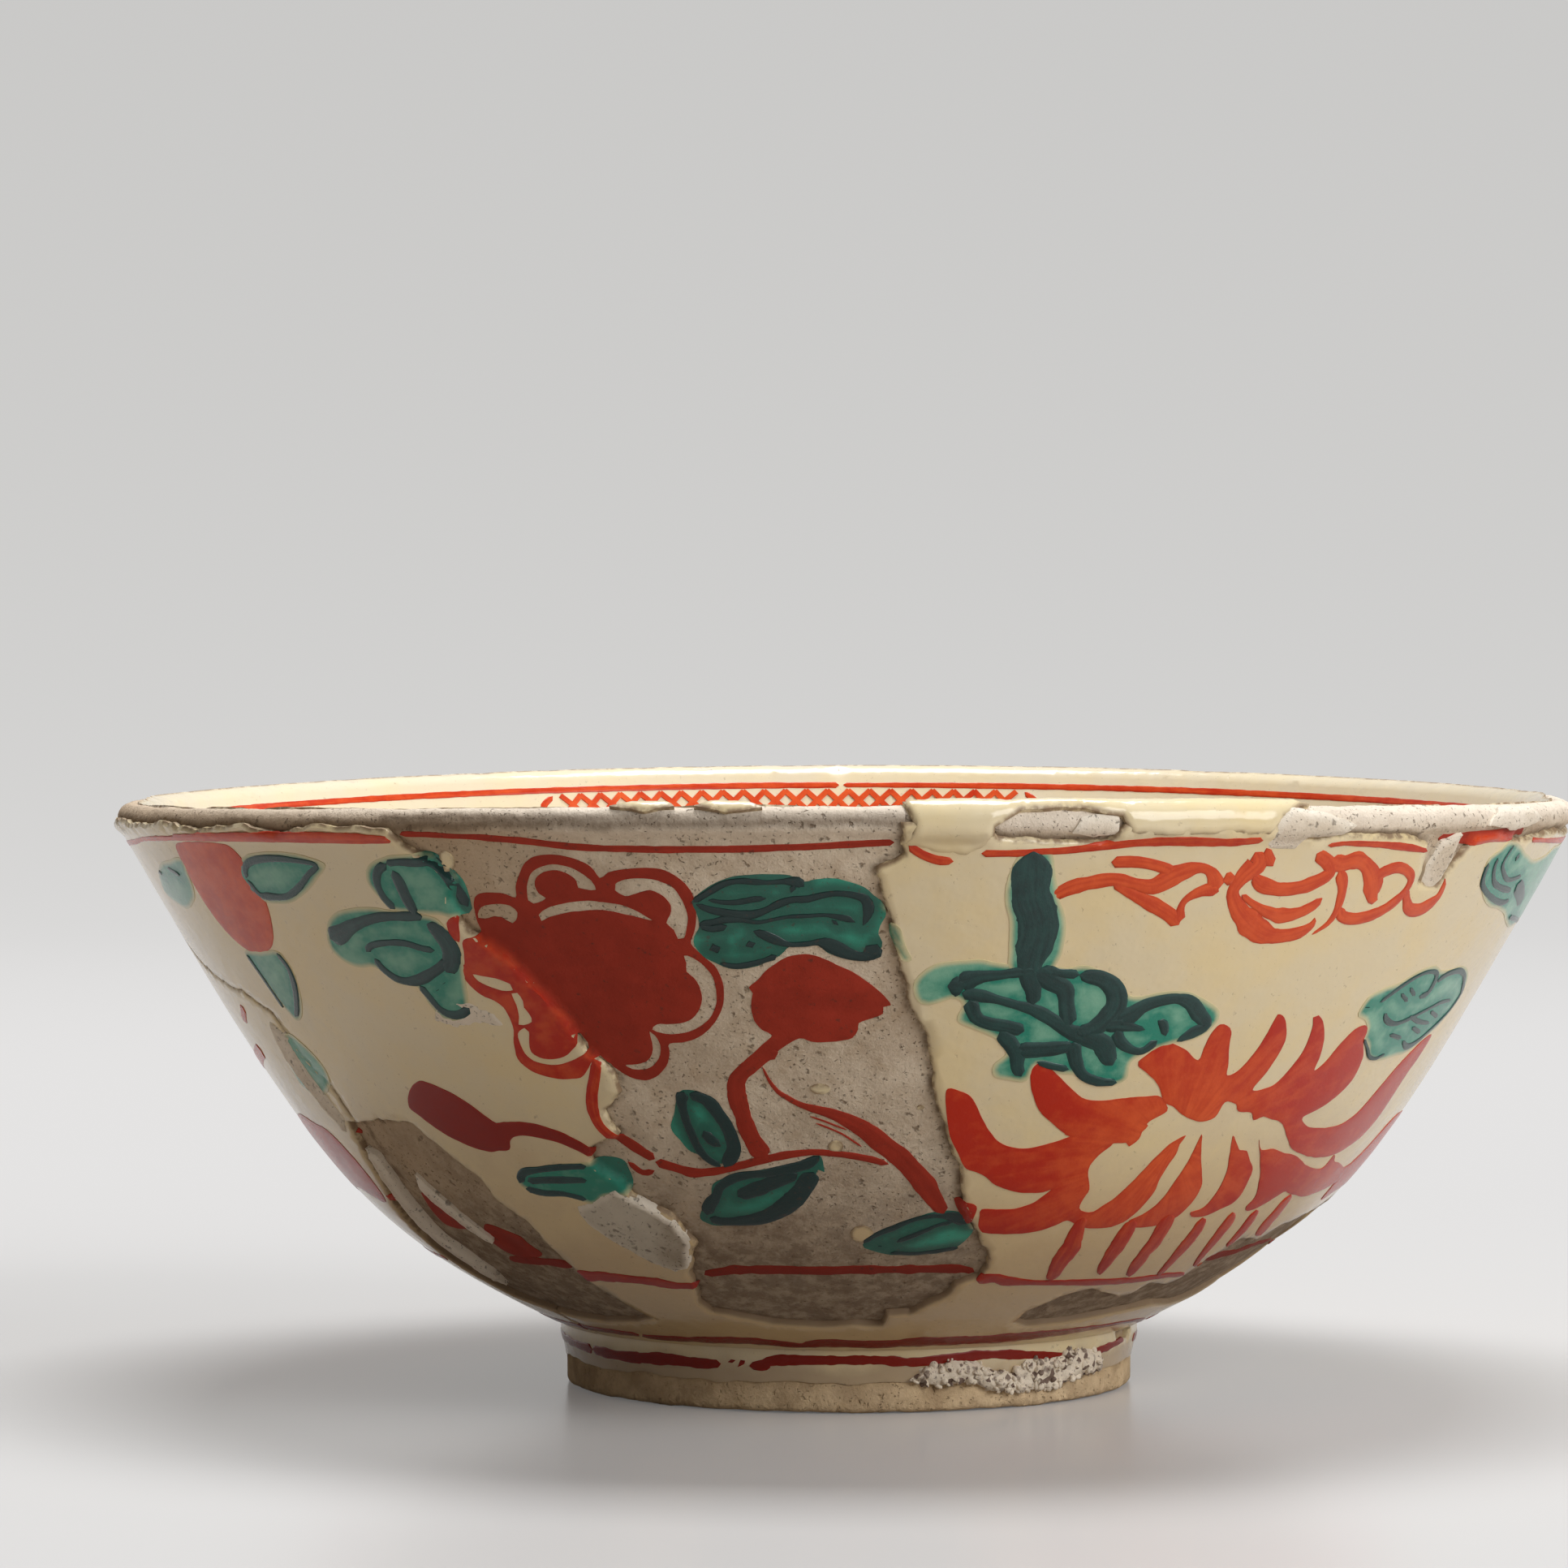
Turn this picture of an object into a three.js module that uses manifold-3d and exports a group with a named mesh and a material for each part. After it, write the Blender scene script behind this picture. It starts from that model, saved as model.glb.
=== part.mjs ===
// A thrown and turned porcelain bowl, whose thick glaze broke away in places before it was enamelled.
// Lengths are in millimetres and angles in degrees. +Z is up and the foot stands on z = 0.
// Angles go round the bowl from its front, at -Y, towards +X. Places on the wall are given as such an
// angle and as a percentage of the way from the foot, at 0, over the wall to the crest of the lip, at 100.

import * as THREE from 'three';
import { mergeVertices } from 'three/addons/utils/BufferGeometryUtils.js';
import Module from 'manifold-3d';

const manifold = await Module();
manifold.setup();

// Foot ring and base
const FOOT_RADIUS = 39;
const FOOT_HEIGHT = 9;
const FOOT_WIDTH = 4.8;
const FOOT_EDGE = 0.8;
const RECESS_HEIGHT = 7.2;
const RECESS_CROWN = 0.9;
const RECESS_CORNER = 2;
const BASE_THICKNESS = 4.9;

// Outside of the wall, drawn as one curve from the foot to just under the lip
const WALL_TOP_RADIUS = 98.3;
const WALL_TOP_HEIGHT = 77;
const WALL_START_RISE = 25.6;
const WALL_START_PULL = 30.5;
const WALL_TOP_FLARE = 28.9;
const WALL_TOP_PULL = 55;

// Rounded lip, a little swollen against the wall below it
const LIP_THICKNESS = 3.8;
const LIP_SET_IN = 0.2;
const LIP_RISE = 2.5;
const LIP_START = -35;
const LIP_END = 151;

// Inside of the wall
const INSIDE_TOP_PULL = 52;
const INSIDE_FLOOR_RADIUS = 27;
const INSIDE_FLOOR_RISE = 10;
const INSIDE_FLOOR_PULL = 30;
const FLOOR_DISH = 0.8;

// Glaze, and the clearances round it
const SEAT = 0.3;
const WALL_GLAZE = 0.6;
const INSIDE_GLAZE = 0.6;
const FOOT_GLAZE = 0.55;
const LEDGE_RUN = 1.8;
const CRACK = 0.4;
const FOOT_GLAZE_BOTTOM = 3.8;
const FOOT_GLAZE_TOP_GAP = 0.7;
const BASE_GLAZE_MARGIN = 1;
const SPALL_THICKNESS = 0.95;
const CHIP_THICKNESS = 0.55;
const INSIDE_GLAZE_START = 120;
const LIP_GLAZE = 0.75;
const LIP_GLAZE_LAP = 0.05;

// Kiln grit fused to the right of the foot's front
const GRIT_FROM = 11;
const GRIT_TO = 58;
const GRIT_BOTTOM = 2.4;
const GRIT_TOP_GAP = 2.2;
const GRIT_CRUST = 0.6;
const GRIT_EDGE_WAVE = 0.25;
const GRIT_EDGE_WAVE_DEGREES = 9;
const GRAIN_RADIUS = 0.95;
const GRAIN_SPREAD = 0.45;
const GRAIN_STEP = 3.4;
const GRAIN_SCATTER = 1.4;

// How the wall sagged in the kiln: the lip rises at the front and back, leans and tilts
const WARP_SADDLE = 1;
const WARP_LEAN = -0.6;
const WARP_TILT = 0.3;
const WARP_GROWTH = 1.3;

// Fineness of the facets
const SECTORS = 48;
const WALL_STEPS = 8;
const LIP_STEPS = 6;
const INSIDE_STEPS = 7;
const FLOOR_STEPS = 2;

// Angles that each wall sheet is laid over before it is cut back to its cracks
const FRONT_SHEET = { from: -105, to: 158 };
const BACK_SHEET = { from: 143, to: 308 };
const PAST_END = 8;

// How far a cutter reaches inwards and outwards of the bare wall, and over the top of a sheet
const CUT_REACH = [-1, 60];
const CUT_OVER = 1.2;
const BLOCK_SEGMENTS = 4;
const BELOW_WALL = -6;

// Front window, where the clay shows from the lip band down to the ledge over the foot.
// It goes down the left side, along the bottom and up the right side.
const FRONT_WINDOW = [
  [-36, 98], [-34.8, 94], [-33, 92.5], [-31.2, 89], [-32.4, 85.5], [-31.5, 81.5], [-28.6, 77.5], [-25.6, 70],
  [-24.6, 67], [-23.8, 63], [-21.6, 60], [-21.4, 56.5], [-23.8, 53.5], [-23, 50], [-26.3, 48], [-26.6, 44.5],
  [-24.5, 42.8], [-23, 38.8], [-20, 36], [-18, 30.5], [-20.2, 24.4], [-21.6, 16], [-21, 13.6], [-17.6, 12.4],
  [-12.5, 10.2], [-5, 9.4], [0, 10.2], [4.6, 9.8], [5, 13.2], [8.4, 13.6], [10.6, 16.6], [12.6, 18.6],
  [13.2, 21.4], [16, 23.4], [16.4, 27.6], [14.2, 32.2], [11.6, 38.6], [10.4, 45], [8.8, 50.4], [7.2, 58],
  [6.2, 66], [4.4, 71.6], [3.6, 79], [2.6, 85], [1.8, 90.6], [3.8, 92.4], [3.2, 98],
];

// Lower left window, which runs back from the front window under the left sheet
const LEFT_WINDOW = [
  [-60, 49.4], [-57, 49.6], [-53, 50.8], [-48, 50], [-45.2, 46], [-42.6, 41.6], [-41.6, 37.6], [-39.2, 33],
  [-38.6, 28.4], [-38, 23.6], [-36, 17.8], [-34.4, 12.4], [-33, 10.4], [-38, 8.6], [-46, 7.4], [-55, 8],
  [-66, 12], [-69, 21], [-67, 31], [-63, 38], [-61.6, 44],
];

// Lower right window
const RIGHT_WINDOW = [
  [27, 13.4], [30, 17], [34, 18.8], [38, 17.4], [41, 15.8], [43.4, 16.2], [45, 19.2], [49, 18], [51, 19.6],
  [52, 24.6], [55, 28.4], [60, 27.4], [63, 30], [70, 31.4], [78, 34], [86, 30.6], [90, 22], [86, 14],
  [76, 10.4], [64, 10], [55, 11.4], [46, 10], [38, 8.4], [30, 8], [27, 9.6],
];

// Cracks that part the wall glaze into a front and a back sheet: left, then right and behind
const LEFT_CRACK = [
  [-92, 92], [-90, 86], [-82, 77], [-74, 72], [-66.5, 70], [-62.4, 67], [-61.4, 61],
  [-58.6, 55], [-58, 46], [-59, 30], [-57, 14], [-58, BELOW_WALL],
];
const BACK_CRACK = [
  [149, 90], [147, 70], [151, 52], [146, 36], [149, 20], [147, BELOW_WALL],
];

// Where the wall glaze ends under the bare lip, on the front sheet and on the back one
const FRONT_LIP_EDGE = [
  [-118, 97], [-104, 95.6], [-92, 96.8], [-84, 96.2], [-76, 97.2], [-70, 96.6], [-64, 97.4], [-58, 96.2],
  [-52, 97.2], [-47, 96], [-42, 97], [-35, 96.6], [-24, 97], [-12, 97], [3, 97], [17, 97.3], [31.6, 97.3],
  [32.8, 93.4], [36, 92.4], [40, 94.4], [46, 92.8], [48.6, 91.2], [49.4, 87.6], [52.6, 87], [54, 89.8],
  [58, 91.6], [64, 93.6], [72, 95.2], [80, 94], [92, 95.4], [104, 94], [118, 95.6], [132, 94.6], [162, 95.6],
];
const BACK_LIP_EDGE = [
  [138, 95.2], [150, 96.4], [164, 95], [176, 96.8], [188, 95.4], [202, 96.8], [216, 95.6], [230, 97],
  [244, 95.6], [256, 96.6], [270, 95.8], [310, 96.8],
];

// Glaze left over the lip, and the chips of it further left
const LIP_PATCH = [
  [3.2, 94], [4.4, 98], [4, 99.6], [8, 100.5], [10.6, 100.2], [16, 100.6], [22, 100.3], [29, 100.6],
  [33.6, 100.2], [35.6, 99], [32.4, 97], [31.4, 93.6], [24, 91.4], [16, 92], [9.8, 91.6],
];
const LEFT_CHIP = [[-17.6, 99], [-16, 100.5], [-13.4, 100.4], [-12.8, 99], [-15, 98.2]];
const RIGHT_CHIP = [[-11.4, 99], [-10, 100.5], [-7.6, 100.3], [-6.4, 98.8], [-9, 98]];

// Spalled flake, lifted along its right edge, and the scar that it sits in
const SPALL = [
  [-30.8, 37.6], [-28.6, 38.6], [-25, 41.2], [-22.4, 38.4], [-19.6, 35.4], [-18.6, 31], [-20.4, 25.4],
  [-22.4, 24.6], [-25.6, 27], [-29, 31.2], [-30.8, 34.6],
];

// Broken places along the top of the foot's glaze, as angles and heights above the top of the foot
const FOOT_CHIPS = [
  [[-30, 0.5], [-27, -2], [-21, -1.4], [-16, -2.2], [-9, -1.2], [-7, 0.5]],
  [[64, 0.5], [66, -1.6], [73, -2], [76, 0.5]],
];

const COLOURS = { clay: 0x9c9286, glaze: 0xd8cdae, spall: 0xb3a898, grit: 0xb9b2a6 };

// Points of the circle that the lip is turned to
function lipCentre() {
  return new THREE.Vector2(WALL_TOP_RADIUS - LIP_SET_IN, WALL_TOP_HEIGHT + LIP_RISE);
}

function lipPoint(angle) {
  const turn = THREE.MathUtils.degToRad(angle);
  return lipCentre().add(new THREE.Vector2(Math.cos(turn), Math.sin(turn)).multiplyScalar(LIP_THICKNESS / 2));
}

// A step of the given length along a direction given as an angle above the horizontal
function step(point, angle, length) {
  const turn = THREE.MathUtils.degToRad(angle);
  return point.clone().add(new THREE.Vector2(Math.cos(turn), Math.sin(turn)).multiplyScalar(length));
}

// The outline of the clay from the foot over the lip to the middle of the floor, as one path
function drawSkin() {
  const foot = new THREE.Vector2(FOOT_RADIUS, FOOT_HEIGHT);
  const top = new THREE.Vector2(WALL_TOP_RADIUS, WALL_TOP_HEIGHT);
  const lipStart = lipPoint(LIP_START);
  const lipEnd = lipPoint(LIP_END);
  const upright = 90 - WALL_TOP_FLARE;
  const floorHeight = RECESS_HEIGHT + RECESS_CROWN + BASE_THICKNESS;
  const floorEdge = new THREE.Vector2(INSIDE_FLOOR_RADIUS, floorHeight + FLOOR_DISH);
  const centre = lipCentre();
  const skin = new THREE.CurvePath();
  skin.add(new THREE.CubicBezierCurve(
    foot, step(foot, WALL_START_RISE, WALL_START_PULL), step(top, upright, -WALL_TOP_PULL), top));
  skin.add(new THREE.QuadraticBezierCurve(top, step(top, upright, LIP_RISE / 3), lipStart));
  skin.add(new THREE.EllipseCurve(
    centre.x, centre.y, LIP_THICKNESS / 2, LIP_THICKNESS / 2,
    THREE.MathUtils.degToRad(LIP_START), THREE.MathUtils.degToRad(LIP_END), false, 0));
  skin.add(new THREE.CubicBezierCurve(
    lipEnd, step(lipEnd, upright, -INSIDE_TOP_PULL), step(floorEdge, INSIDE_FLOOR_RISE, INSIDE_FLOOR_PULL),
    floorEdge));
  skin.add(new THREE.QuadraticBezierCurve(
    floorEdge, new THREE.Vector2(INSIDE_FLOOR_RADIUS / 2, floorHeight), new THREE.Vector2(0, floorHeight)));
  return skin;
}

const SKIN = drawSkin();
const SKIN_RUNS = SKIN.getCurveLengths();
const WALL_RUN = SKIN_RUNS[1];
const LIP_RUN = SKIN_RUNS[2];
const INSIDE_RUN = SKIN_RUNS[3];
const SKIN_RUN = SKIN_RUNS[4];
const CREST_RUN = WALL_RUN + (LIP_RUN - WALL_RUN) * (90 - LIP_START) / (LIP_END - LIP_START);

// A point so far along the skin, lifted off the clay by so much
function skinPoint(run, lift) {
  const share = THREE.MathUtils.clamp(run / SKIN_RUN, 0, 1);
  const point = SKIN.getPoint(share);
  const along = SKIN.getTangent(share);
  return new THREE.Vector2(point.x + along.y * lift, point.y - along.x * lift);
}

// Evenly spaced values from one to another, without the first
function spread(from, to, count) {
  return Array.from({ length: count }, (_, i) => from + (to - from) * (i + 1) / count);
}

// The rows of facets along the skin. Clay and glaze share them, so that the gap between them is even.
const WALL_STATIONS = [0, LEDGE_RUN, ...spread(LEDGE_RUN, WALL_RUN, WALL_STEPS)];
const LIP_STATIONS = spread(WALL_RUN, LIP_RUN, LIP_STEPS);
const INSIDE_STATIONS = spread(LIP_RUN, INSIDE_RUN, INSIDE_STEPS);
const FLOOR_STATIONS = spread(INSIDE_RUN, SKIN_RUN, FLOOR_STEPS);
const STATIONS = [...WALL_STATIONS, ...LIP_STATIONS, ...INSIDE_STATIONS, ...FLOOR_STATIONS];

function onRing(angle, radius, height) {
  const turn = THREE.MathUtils.degToRad(angle);
  return new THREE.Vector3(radius * Math.sin(turn), -radius * Math.cos(turn), height);
}

function onWall(angle, percent, lift) {
  const point = skinPoint(percent / 100 * CREST_RUN, lift);
  return onRing(angle, point.x, point.y);
}

function onFoot(angle, above, lift) {
  return onRing(angle, FOOT_RADIUS + lift, FOOT_HEIGHT + above);
}

// A copy of a geometry with each vertex moved, its doubles merged and its flat triangles dropped
function remade(geometry, move) {
  const bare = new THREE.BufferGeometry();
  bare.setAttribute('position', geometry.getAttribute('position').clone());
  if (geometry.index) bare.setIndex(geometry.index.clone());
  const position = bare.getAttribute('position');
  const vertex = new THREE.Vector3();
  for (let i = 0; i < position.count; i += 1) {
    vertex.fromBufferAttribute(position, i);
    const moved = move(vertex);
    position.setXYZ(i, moved.x, moved.y, moved.z);
  }
  const merged = mergeVertices(bare, 1e-4);
  const corners = merged.index.array;
  const kept = [];
  for (let i = 0; i < corners.length; i += 3) {
    const [a, b, c] = [corners[i], corners[i + 1], corners[i + 2]];
    if (a !== b && b !== c && c !== a) kept.push(a, b, c);
  }
  merged.setIndex(kept);
  return merged;
}

function solidOf(geometry) {
  return new manifold.Manifold(new manifold.Mesh({
    numProp: 3,
    vertProperties: new Float32Array(geometry.getAttribute('position').array),
    triVerts: new Uint32Array(geometry.index.array),
  }));
}

function geometryOf(solid) {
  const mesh = solid.getMesh();
  const geometry = new THREE.BufferGeometry();
  geometry.setAttribute('position', new THREE.BufferAttribute(new Float32Array(mesh.vertProperties), 3));
  geometry.setIndex(new THREE.BufferAttribute(new Uint32Array(mesh.triVerts), 1));
  return geometry;
}

// A closed profile, given anticlockwise with the radius across and the height up, turned on the wheel
function turned(profile) {
  const lathe = new THREE.LatheGeometry(profile, SECTORS);
  return remade(lathe, (v) => new THREE.Vector3(v.x, -v.z, v.y));
}

// An outline extruded through the glaze and wrapped on a surface
function wrapped(outline, surface, [low, high]) {
  const shape = new THREE.Shape(outline.map(([across, up]) => new THREE.Vector2(across, up)));
  const block = new THREE.ExtrudeGeometry(shape, { depth: 1, bevelEnabled: false });
  return solidOf(remade(block, (v) => surface(v.x, v.y, v.z < 0.5 ? low : high)));
}

// A slab of glaze over whole sectors and stations, between two lifts off the clay
function slab([firstSector, lastSector], [firstStation, lastStation], [low, high]) {
  const across = lastSector - firstSector;
  const up = lastStation - firstStation;
  const box = new THREE.BoxGeometry(across, up, 1, across, up, 1);
  box.translate(firstSector + across / 2, firstStation + up / 2, 0);
  return solidOf(remade(box, (v) => {
    const point = skinPoint(STATIONS[Math.round(v.y)], v.z < 0 ? low : high);
    return onRing(v.x * 360 / SECTORS, point.x, point.y);
  }));
}

// Where the cuts in a wall sheet end above it, as a percentage
function cutTop() {
  return LIP_STATIONS[0] / CREST_RUN * 100 + CUT_OVER;
}

// Takes off whatever of a sheet lies above a ragged line, in blocks that share a stretch of the line
function trimAbove(sheet, line) {
  let rest = sheet;
  for (let start = 0; start < line.length - 2; start += BLOCK_SEGMENTS - 1) {
    const edge = line.slice(start, start + BLOCK_SEGMENTS + 1);
    const [first, last] = [edge[0], edge[edge.length - 1]];
    rest = rest.subtract(wrapped([...edge, [last[0], cutTop()], [first[0], cutTop()]], onWall, CUT_REACH));
  }
  return rest;
}

// Takes off whatever of a sheet lies between a crack and an angle past the sheet's end,
// and half of the crack's width more
function trimBeside(sheet, crack, endAngle) {
  const clear = THREE.MathUtils.radToDeg(CRACK / 2 / FOOT_RADIUS) * Math.sign(crack[0][0] - endAngle);
  const edge = crack.map(([angle, percent]) => [angle + clear, percent]);
  const [top, bottom] = [cutTop(), edge[edge.length - 1][1]];
  const cut = [[edge[0][0], top], ...edge, [endAngle, bottom], [endAngle, top]];
  return sheet.subtract(wrapped(cut, onWall, CUT_REACH));
}

// An outline moved outwards from its own middle by about so many millimetres
function grown(outline, distance) {
  const middle = [0, 1].map((i) => outline.reduce((sum, point) => sum + point[i] / outline.length, 0));
  const perDegree = THREE.MathUtils.degToRad(1) * onWall(0, middle[1], 0).length();
  const perPercent = CREST_RUN / 100;
  return outline.map(([angle, percent]) => {
    const [x, y] = [(angle - middle[0]) * perDegree, (percent - middle[1]) * perPercent];
    const scale = 1 + distance / Math.hypot(x, y);
    return [middle[0] + x * scale / perDegree, middle[1] + y * scale / perPercent];
  });
}

const WALL_LIFTS = [SEAT, SEAT + WALL_GLAZE];
const sectorAt = (angle) => Math.round(angle * SECTORS / 360);
const stationAt = (run) => STATIONS.findIndex((station) => station >= run - 1e-6);

// The part of a layer, of the given lifts, that lies inside an outline on the wall
function layerInside(outline, lifts) {
  const angles = outline.map(([angle]) => angle * SECTORS / 360);
  const runs = outline.map(([, percent]) => percent / 100 * CREST_RUN);
  const sectors = [Math.floor(Math.min(...angles)), Math.ceil(Math.max(...angles))];
  const stations = [stationAt(Math.min(...runs)) - 1, stationAt(Math.max(...runs))];
  return slab(sectors, stations, lifts).intersect(wrapped(outline, onWall, CUT_REACH));
}

// The underside of the base, from its middle to the corner of the foot ring
function underside() {
  const reach = FOOT_RADIUS - FOOT_WIDTH - RECESS_CORNER;
  return [[0, RECESS_CROWN], [reach / 2, RECESS_CROWN * 0.75], [reach, 0]].map(
    ([radius, crown]) => new THREE.Vector2(radius, RECESS_HEIGHT + crown));
}

function biscuitBody() {
  const ringInside = FOOT_RADIUS - FOOT_WIDTH;
  const cornerCut = RECESS_CORNER * (1 - Math.SQRT1_2);
  const outline = [
    ...underside(),
    new THREE.Vector2(ringInside - cornerCut, RECESS_HEIGHT - cornerCut),
    new THREE.Vector2(ringInside, RECESS_HEIGHT - RECESS_CORNER),
    new THREE.Vector2(ringInside, FOOT_EDGE),
    new THREE.Vector2(ringInside + FOOT_EDGE, 0),
    new THREE.Vector2(FOOT_RADIUS - FOOT_EDGE, 0),
    new THREE.Vector2(FOOT_RADIUS, FOOT_EDGE),
    ...STATIONS.slice(0, -1).map((run) => skinPoint(run, 0)),
    new THREE.Vector2(0, skinPoint(SKIN_RUN, 0).y),
  ];
  return turned(outline);
}

function wallSheetFront() {
  const { from, to } = FRONT_SHEET;
  const sheet = slab([sectorAt(from), sectorAt(to)], [1, stationAt(LIP_STATIONS[0])], WALL_LIFTS);
  const cracked = trimBeside(trimBeside(sheet, LEFT_CRACK, from - PAST_END), BACK_CRACK, to + PAST_END);
  const windows = [FRONT_WINDOW, LEFT_WINDOW, RIGHT_WINDOW].map((w) => wrapped(w, onWall, CUT_REACH));
  const open = windows.reduce((rest, window) => rest.subtract(window), cracked);
  const scar = wrapped(grown(SPALL, CRACK), onWall, CUT_REACH);
  return geometryOf(trimAbove(open.subtract(scar), FRONT_LIP_EDGE).add(lipPatch()));
}

function wallSheetBack() {
  const { from, to } = BACK_SHEET;
  const sheet = slab([sectorAt(from), sectorAt(to)], [1, stationAt(LIP_STATIONS[0])], WALL_LIFTS);
  const [leftCrack, leftWindow] = [LEFT_CRACK, LEFT_WINDOW].map(
    (outline) => outline.map(([angle, percent]) => [angle + 360, percent]));
  const cracked = trimBeside(trimBeside(sheet, leftCrack, to + PAST_END), BACK_CRACK, from - PAST_END);
  const open = cracked.subtract(wrapped(leftWindow, onWall, CUT_REACH));
  return geometryOf(trimAbove(open, BACK_LIP_EDGE));
}

// The glaze that still covers the lip, right of the front window, and laps the sheet below
function lipPatch() {
  return layerInside(LIP_PATCH, [SEAT - LIP_GLAZE_LAP, SEAT + LIP_GLAZE]);
}

function lipChip(outline) {
  return geometryOf(layerInside(outline, [SEAT, SEAT + CHIP_THICKNESS]));
}

function spallFlake() {
  return geometryOf(layerInside(SPALL, [SEAT, SEAT + SPALL_THICKNESS]));
}

function insideGlaze() {
  const start = THREE.MathUtils.mapLinear(INSIDE_GLAZE_START, LIP_START, LIP_END, WALL_RUN, LIP_RUN);
  const runs = STATIONS.slice(stationAt(start), -1);
  const clayTop = skinPoint(SKIN_RUN, 0).y;
  const under = [...runs].reverse().map((run) => skinPoint(run, SEAT));
  const over = runs.map((run) => skinPoint(run, SEAT + INSIDE_GLAZE));
  const [low, high] = [SEAT, SEAT + INSIDE_GLAZE].map((lift) => new THREE.Vector2(0, clayTop + lift));
  return turned([low, ...under, ...over, high]);
}

function footGlaze() {
  const inner = FOOT_RADIUS + SEAT;
  const outer = inner + FOOT_GLAZE;
  const top = FOOT_HEIGHT - FOOT_GLAZE_TOP_GAP;
  const ring = solidOf(turned([
    new THREE.Vector2(inner, FOOT_GLAZE_BOTTOM), new THREE.Vector2(outer, FOOT_GLAZE_BOTTOM + FOOT_GLAZE / 2),
    new THREE.Vector2(outer, top), new THREE.Vector2(inner, top), new THREE.Vector2(inner, FOOT_GLAZE_BOTTOM),
  ]));
  const chips = FOOT_CHIPS.map((chip) => wrapped(chip, onFoot, [0, 2 * FOOT_WIDTH]));
  return geometryOf(chips.reduce((rest, chip) => rest.subtract(chip), ring));
}

function baseGlaze() {
  const [middle, shoulder, corner] = underside();
  const edge = shoulder.clone().lerp(corner, 1 - BASE_GLAZE_MARGIN / (corner.x - shoulder.x));
  const hung = (point, depth) => new THREE.Vector2(point.x, point.y - SEAT - depth);
  const inner = new THREE.Vector2(edge.x - FOOT_GLAZE, edge.y);
  return turned([
    hung(middle, FOOT_GLAZE), hung(shoulder, FOOT_GLAZE), hung(inner, FOOT_GLAZE),
    hung(edge, 0), hung(shoulder, 0), hung(middle, 0),
  ]);
}

// A crust of grit with grains fused into it, bedded on the glaze of the foot
function kilnGrit() {
  const seat = FOOT_RADIUS + SEAT + FOOT_GLAZE + SEAT;
  const [width, height] = [GRIT_TO - GRIT_FROM, FOOT_HEIGHT - GRIT_TOP_GAP - GRIT_BOTTOM];
  const [middleAngle, middleHeight] = [GRIT_FROM + width / 2, GRIT_BOTTOM + height / 2];
  const box = new THREE.BoxGeometry(width, height, GRIT_CRUST, Math.ceil(width * SECTORS / 360), 2, 1);
  let crust = solidOf(remade(box, (v) => {
    const wave = 1 - GRIT_EDGE_WAVE * (1 - Math.cos(2 * Math.PI * v.x / GRIT_EDGE_WAVE_DEGREES)) / 2;
    return onRing(middleAngle + v.x, seat + GRIT_CRUST / 2 + v.z, middleHeight + v.y * wave);
  }));
  for (let angle = GRIT_FROM + GRAIN_STEP; angle < GRIT_TO - GRAIN_STEP / 2; angle += GRAIN_STEP) {
    const radius = GRAIN_RADIUS + GRAIN_SPREAD * Math.sin(angle * 1.3);
    const grain = new THREE.IcosahedronGeometry(radius, 0);
    grain.rotateZ(angle);
    const place = onRing(angle, seat + GRIT_CRUST, middleHeight + GRAIN_SCATTER * Math.sin(angle * 0.7));
    crust = crust.add(solidOf(remade(grain, (v) => v.clone().add(place))));
  }
  const bed = solidOf(turned([
    new THREE.Vector2(0, -FOOT_HEIGHT), new THREE.Vector2(seat, -FOOT_HEIGHT),
    new THREE.Vector2(seat, 2 * FOOT_HEIGHT), new THREE.Vector2(0, 2 * FOOT_HEIGHT),
  ]));
  return geometryOf(crust.subtract(bed));
}

// The sag of the kiln, which grows from nothing at the foot to its full amount at the lip
function warped(geometry) {
  const rise = WALL_TOP_HEIGHT + LIP_RISE + LIP_THICKNESS / 2 - FOOT_HEIGHT;
  return remade(geometry, (v) => {
    const share = Math.max(0, (v.z - FOOT_HEIGHT) / rise) ** WARP_GROWTH;
    const turn = Math.atan2(v.x, -v.y);
    const lift = WARP_SADDLE * Math.cos(2 * turn) + WARP_TILT * Math.sin(turn);
    return new THREE.Vector3(v.x + WARP_LEAN * share, v.y, v.z + share * lift);
  });
}

function piece(name, geometry, color, roughness) {
  const shaped = warped(geometry);
  shaped.computeVertexNormals();
  const mesh = new THREE.Mesh(shaped, new THREE.MeshStandardMaterial({ color, roughness, metalness: 0 }));
  mesh.name = name;
  return mesh;
}

const bowl = new THREE.Group();
bowl.name = 'porcelain_bowl';
bowl.add(
  piece('biscuit_body', biscuitBody(), COLOURS.clay, 0.85),
  piece('glaze_wall_front', wallSheetFront(), COLOURS.glaze, 0.15),
  piece('glaze_wall_back', wallSheetBack(), COLOURS.glaze, 0.15),
  piece('glaze_inside', insideGlaze(), COLOURS.glaze, 0.15),
  piece('glaze_foot', footGlaze(), COLOURS.glaze, 0.2),
  piece('glaze_base', baseGlaze(), COLOURS.glaze, 0.2),
  piece('lip_chip_left', lipChip(LEFT_CHIP), COLOURS.glaze, 0.2),
  piece('lip_chip_right', lipChip(RIGHT_CHIP), COLOURS.glaze, 0.2),
  piece('spall_flake', spallFlake(), COLOURS.spall, 0.8),
  piece('kiln_grit', kilnGrit(), COLOURS.grit, 0.7),
);

export default bowl;
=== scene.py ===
"""A broad porcelain bowl with painted enamels, scarred glaze and kiln grit on its foot.

Places on the bowl are given as turns, in degrees from the front and growing to the right, and runs, in
millimetres along the skin: nothing at the corner of foot and wall, growing up the wall, over the lip and down
the inside, and negative down the side of the foot and under it.
"""
import itertools
import logging
import math
from dataclasses import dataclass, field
from enum import Enum
from typing import Callable, Sequence

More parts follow.
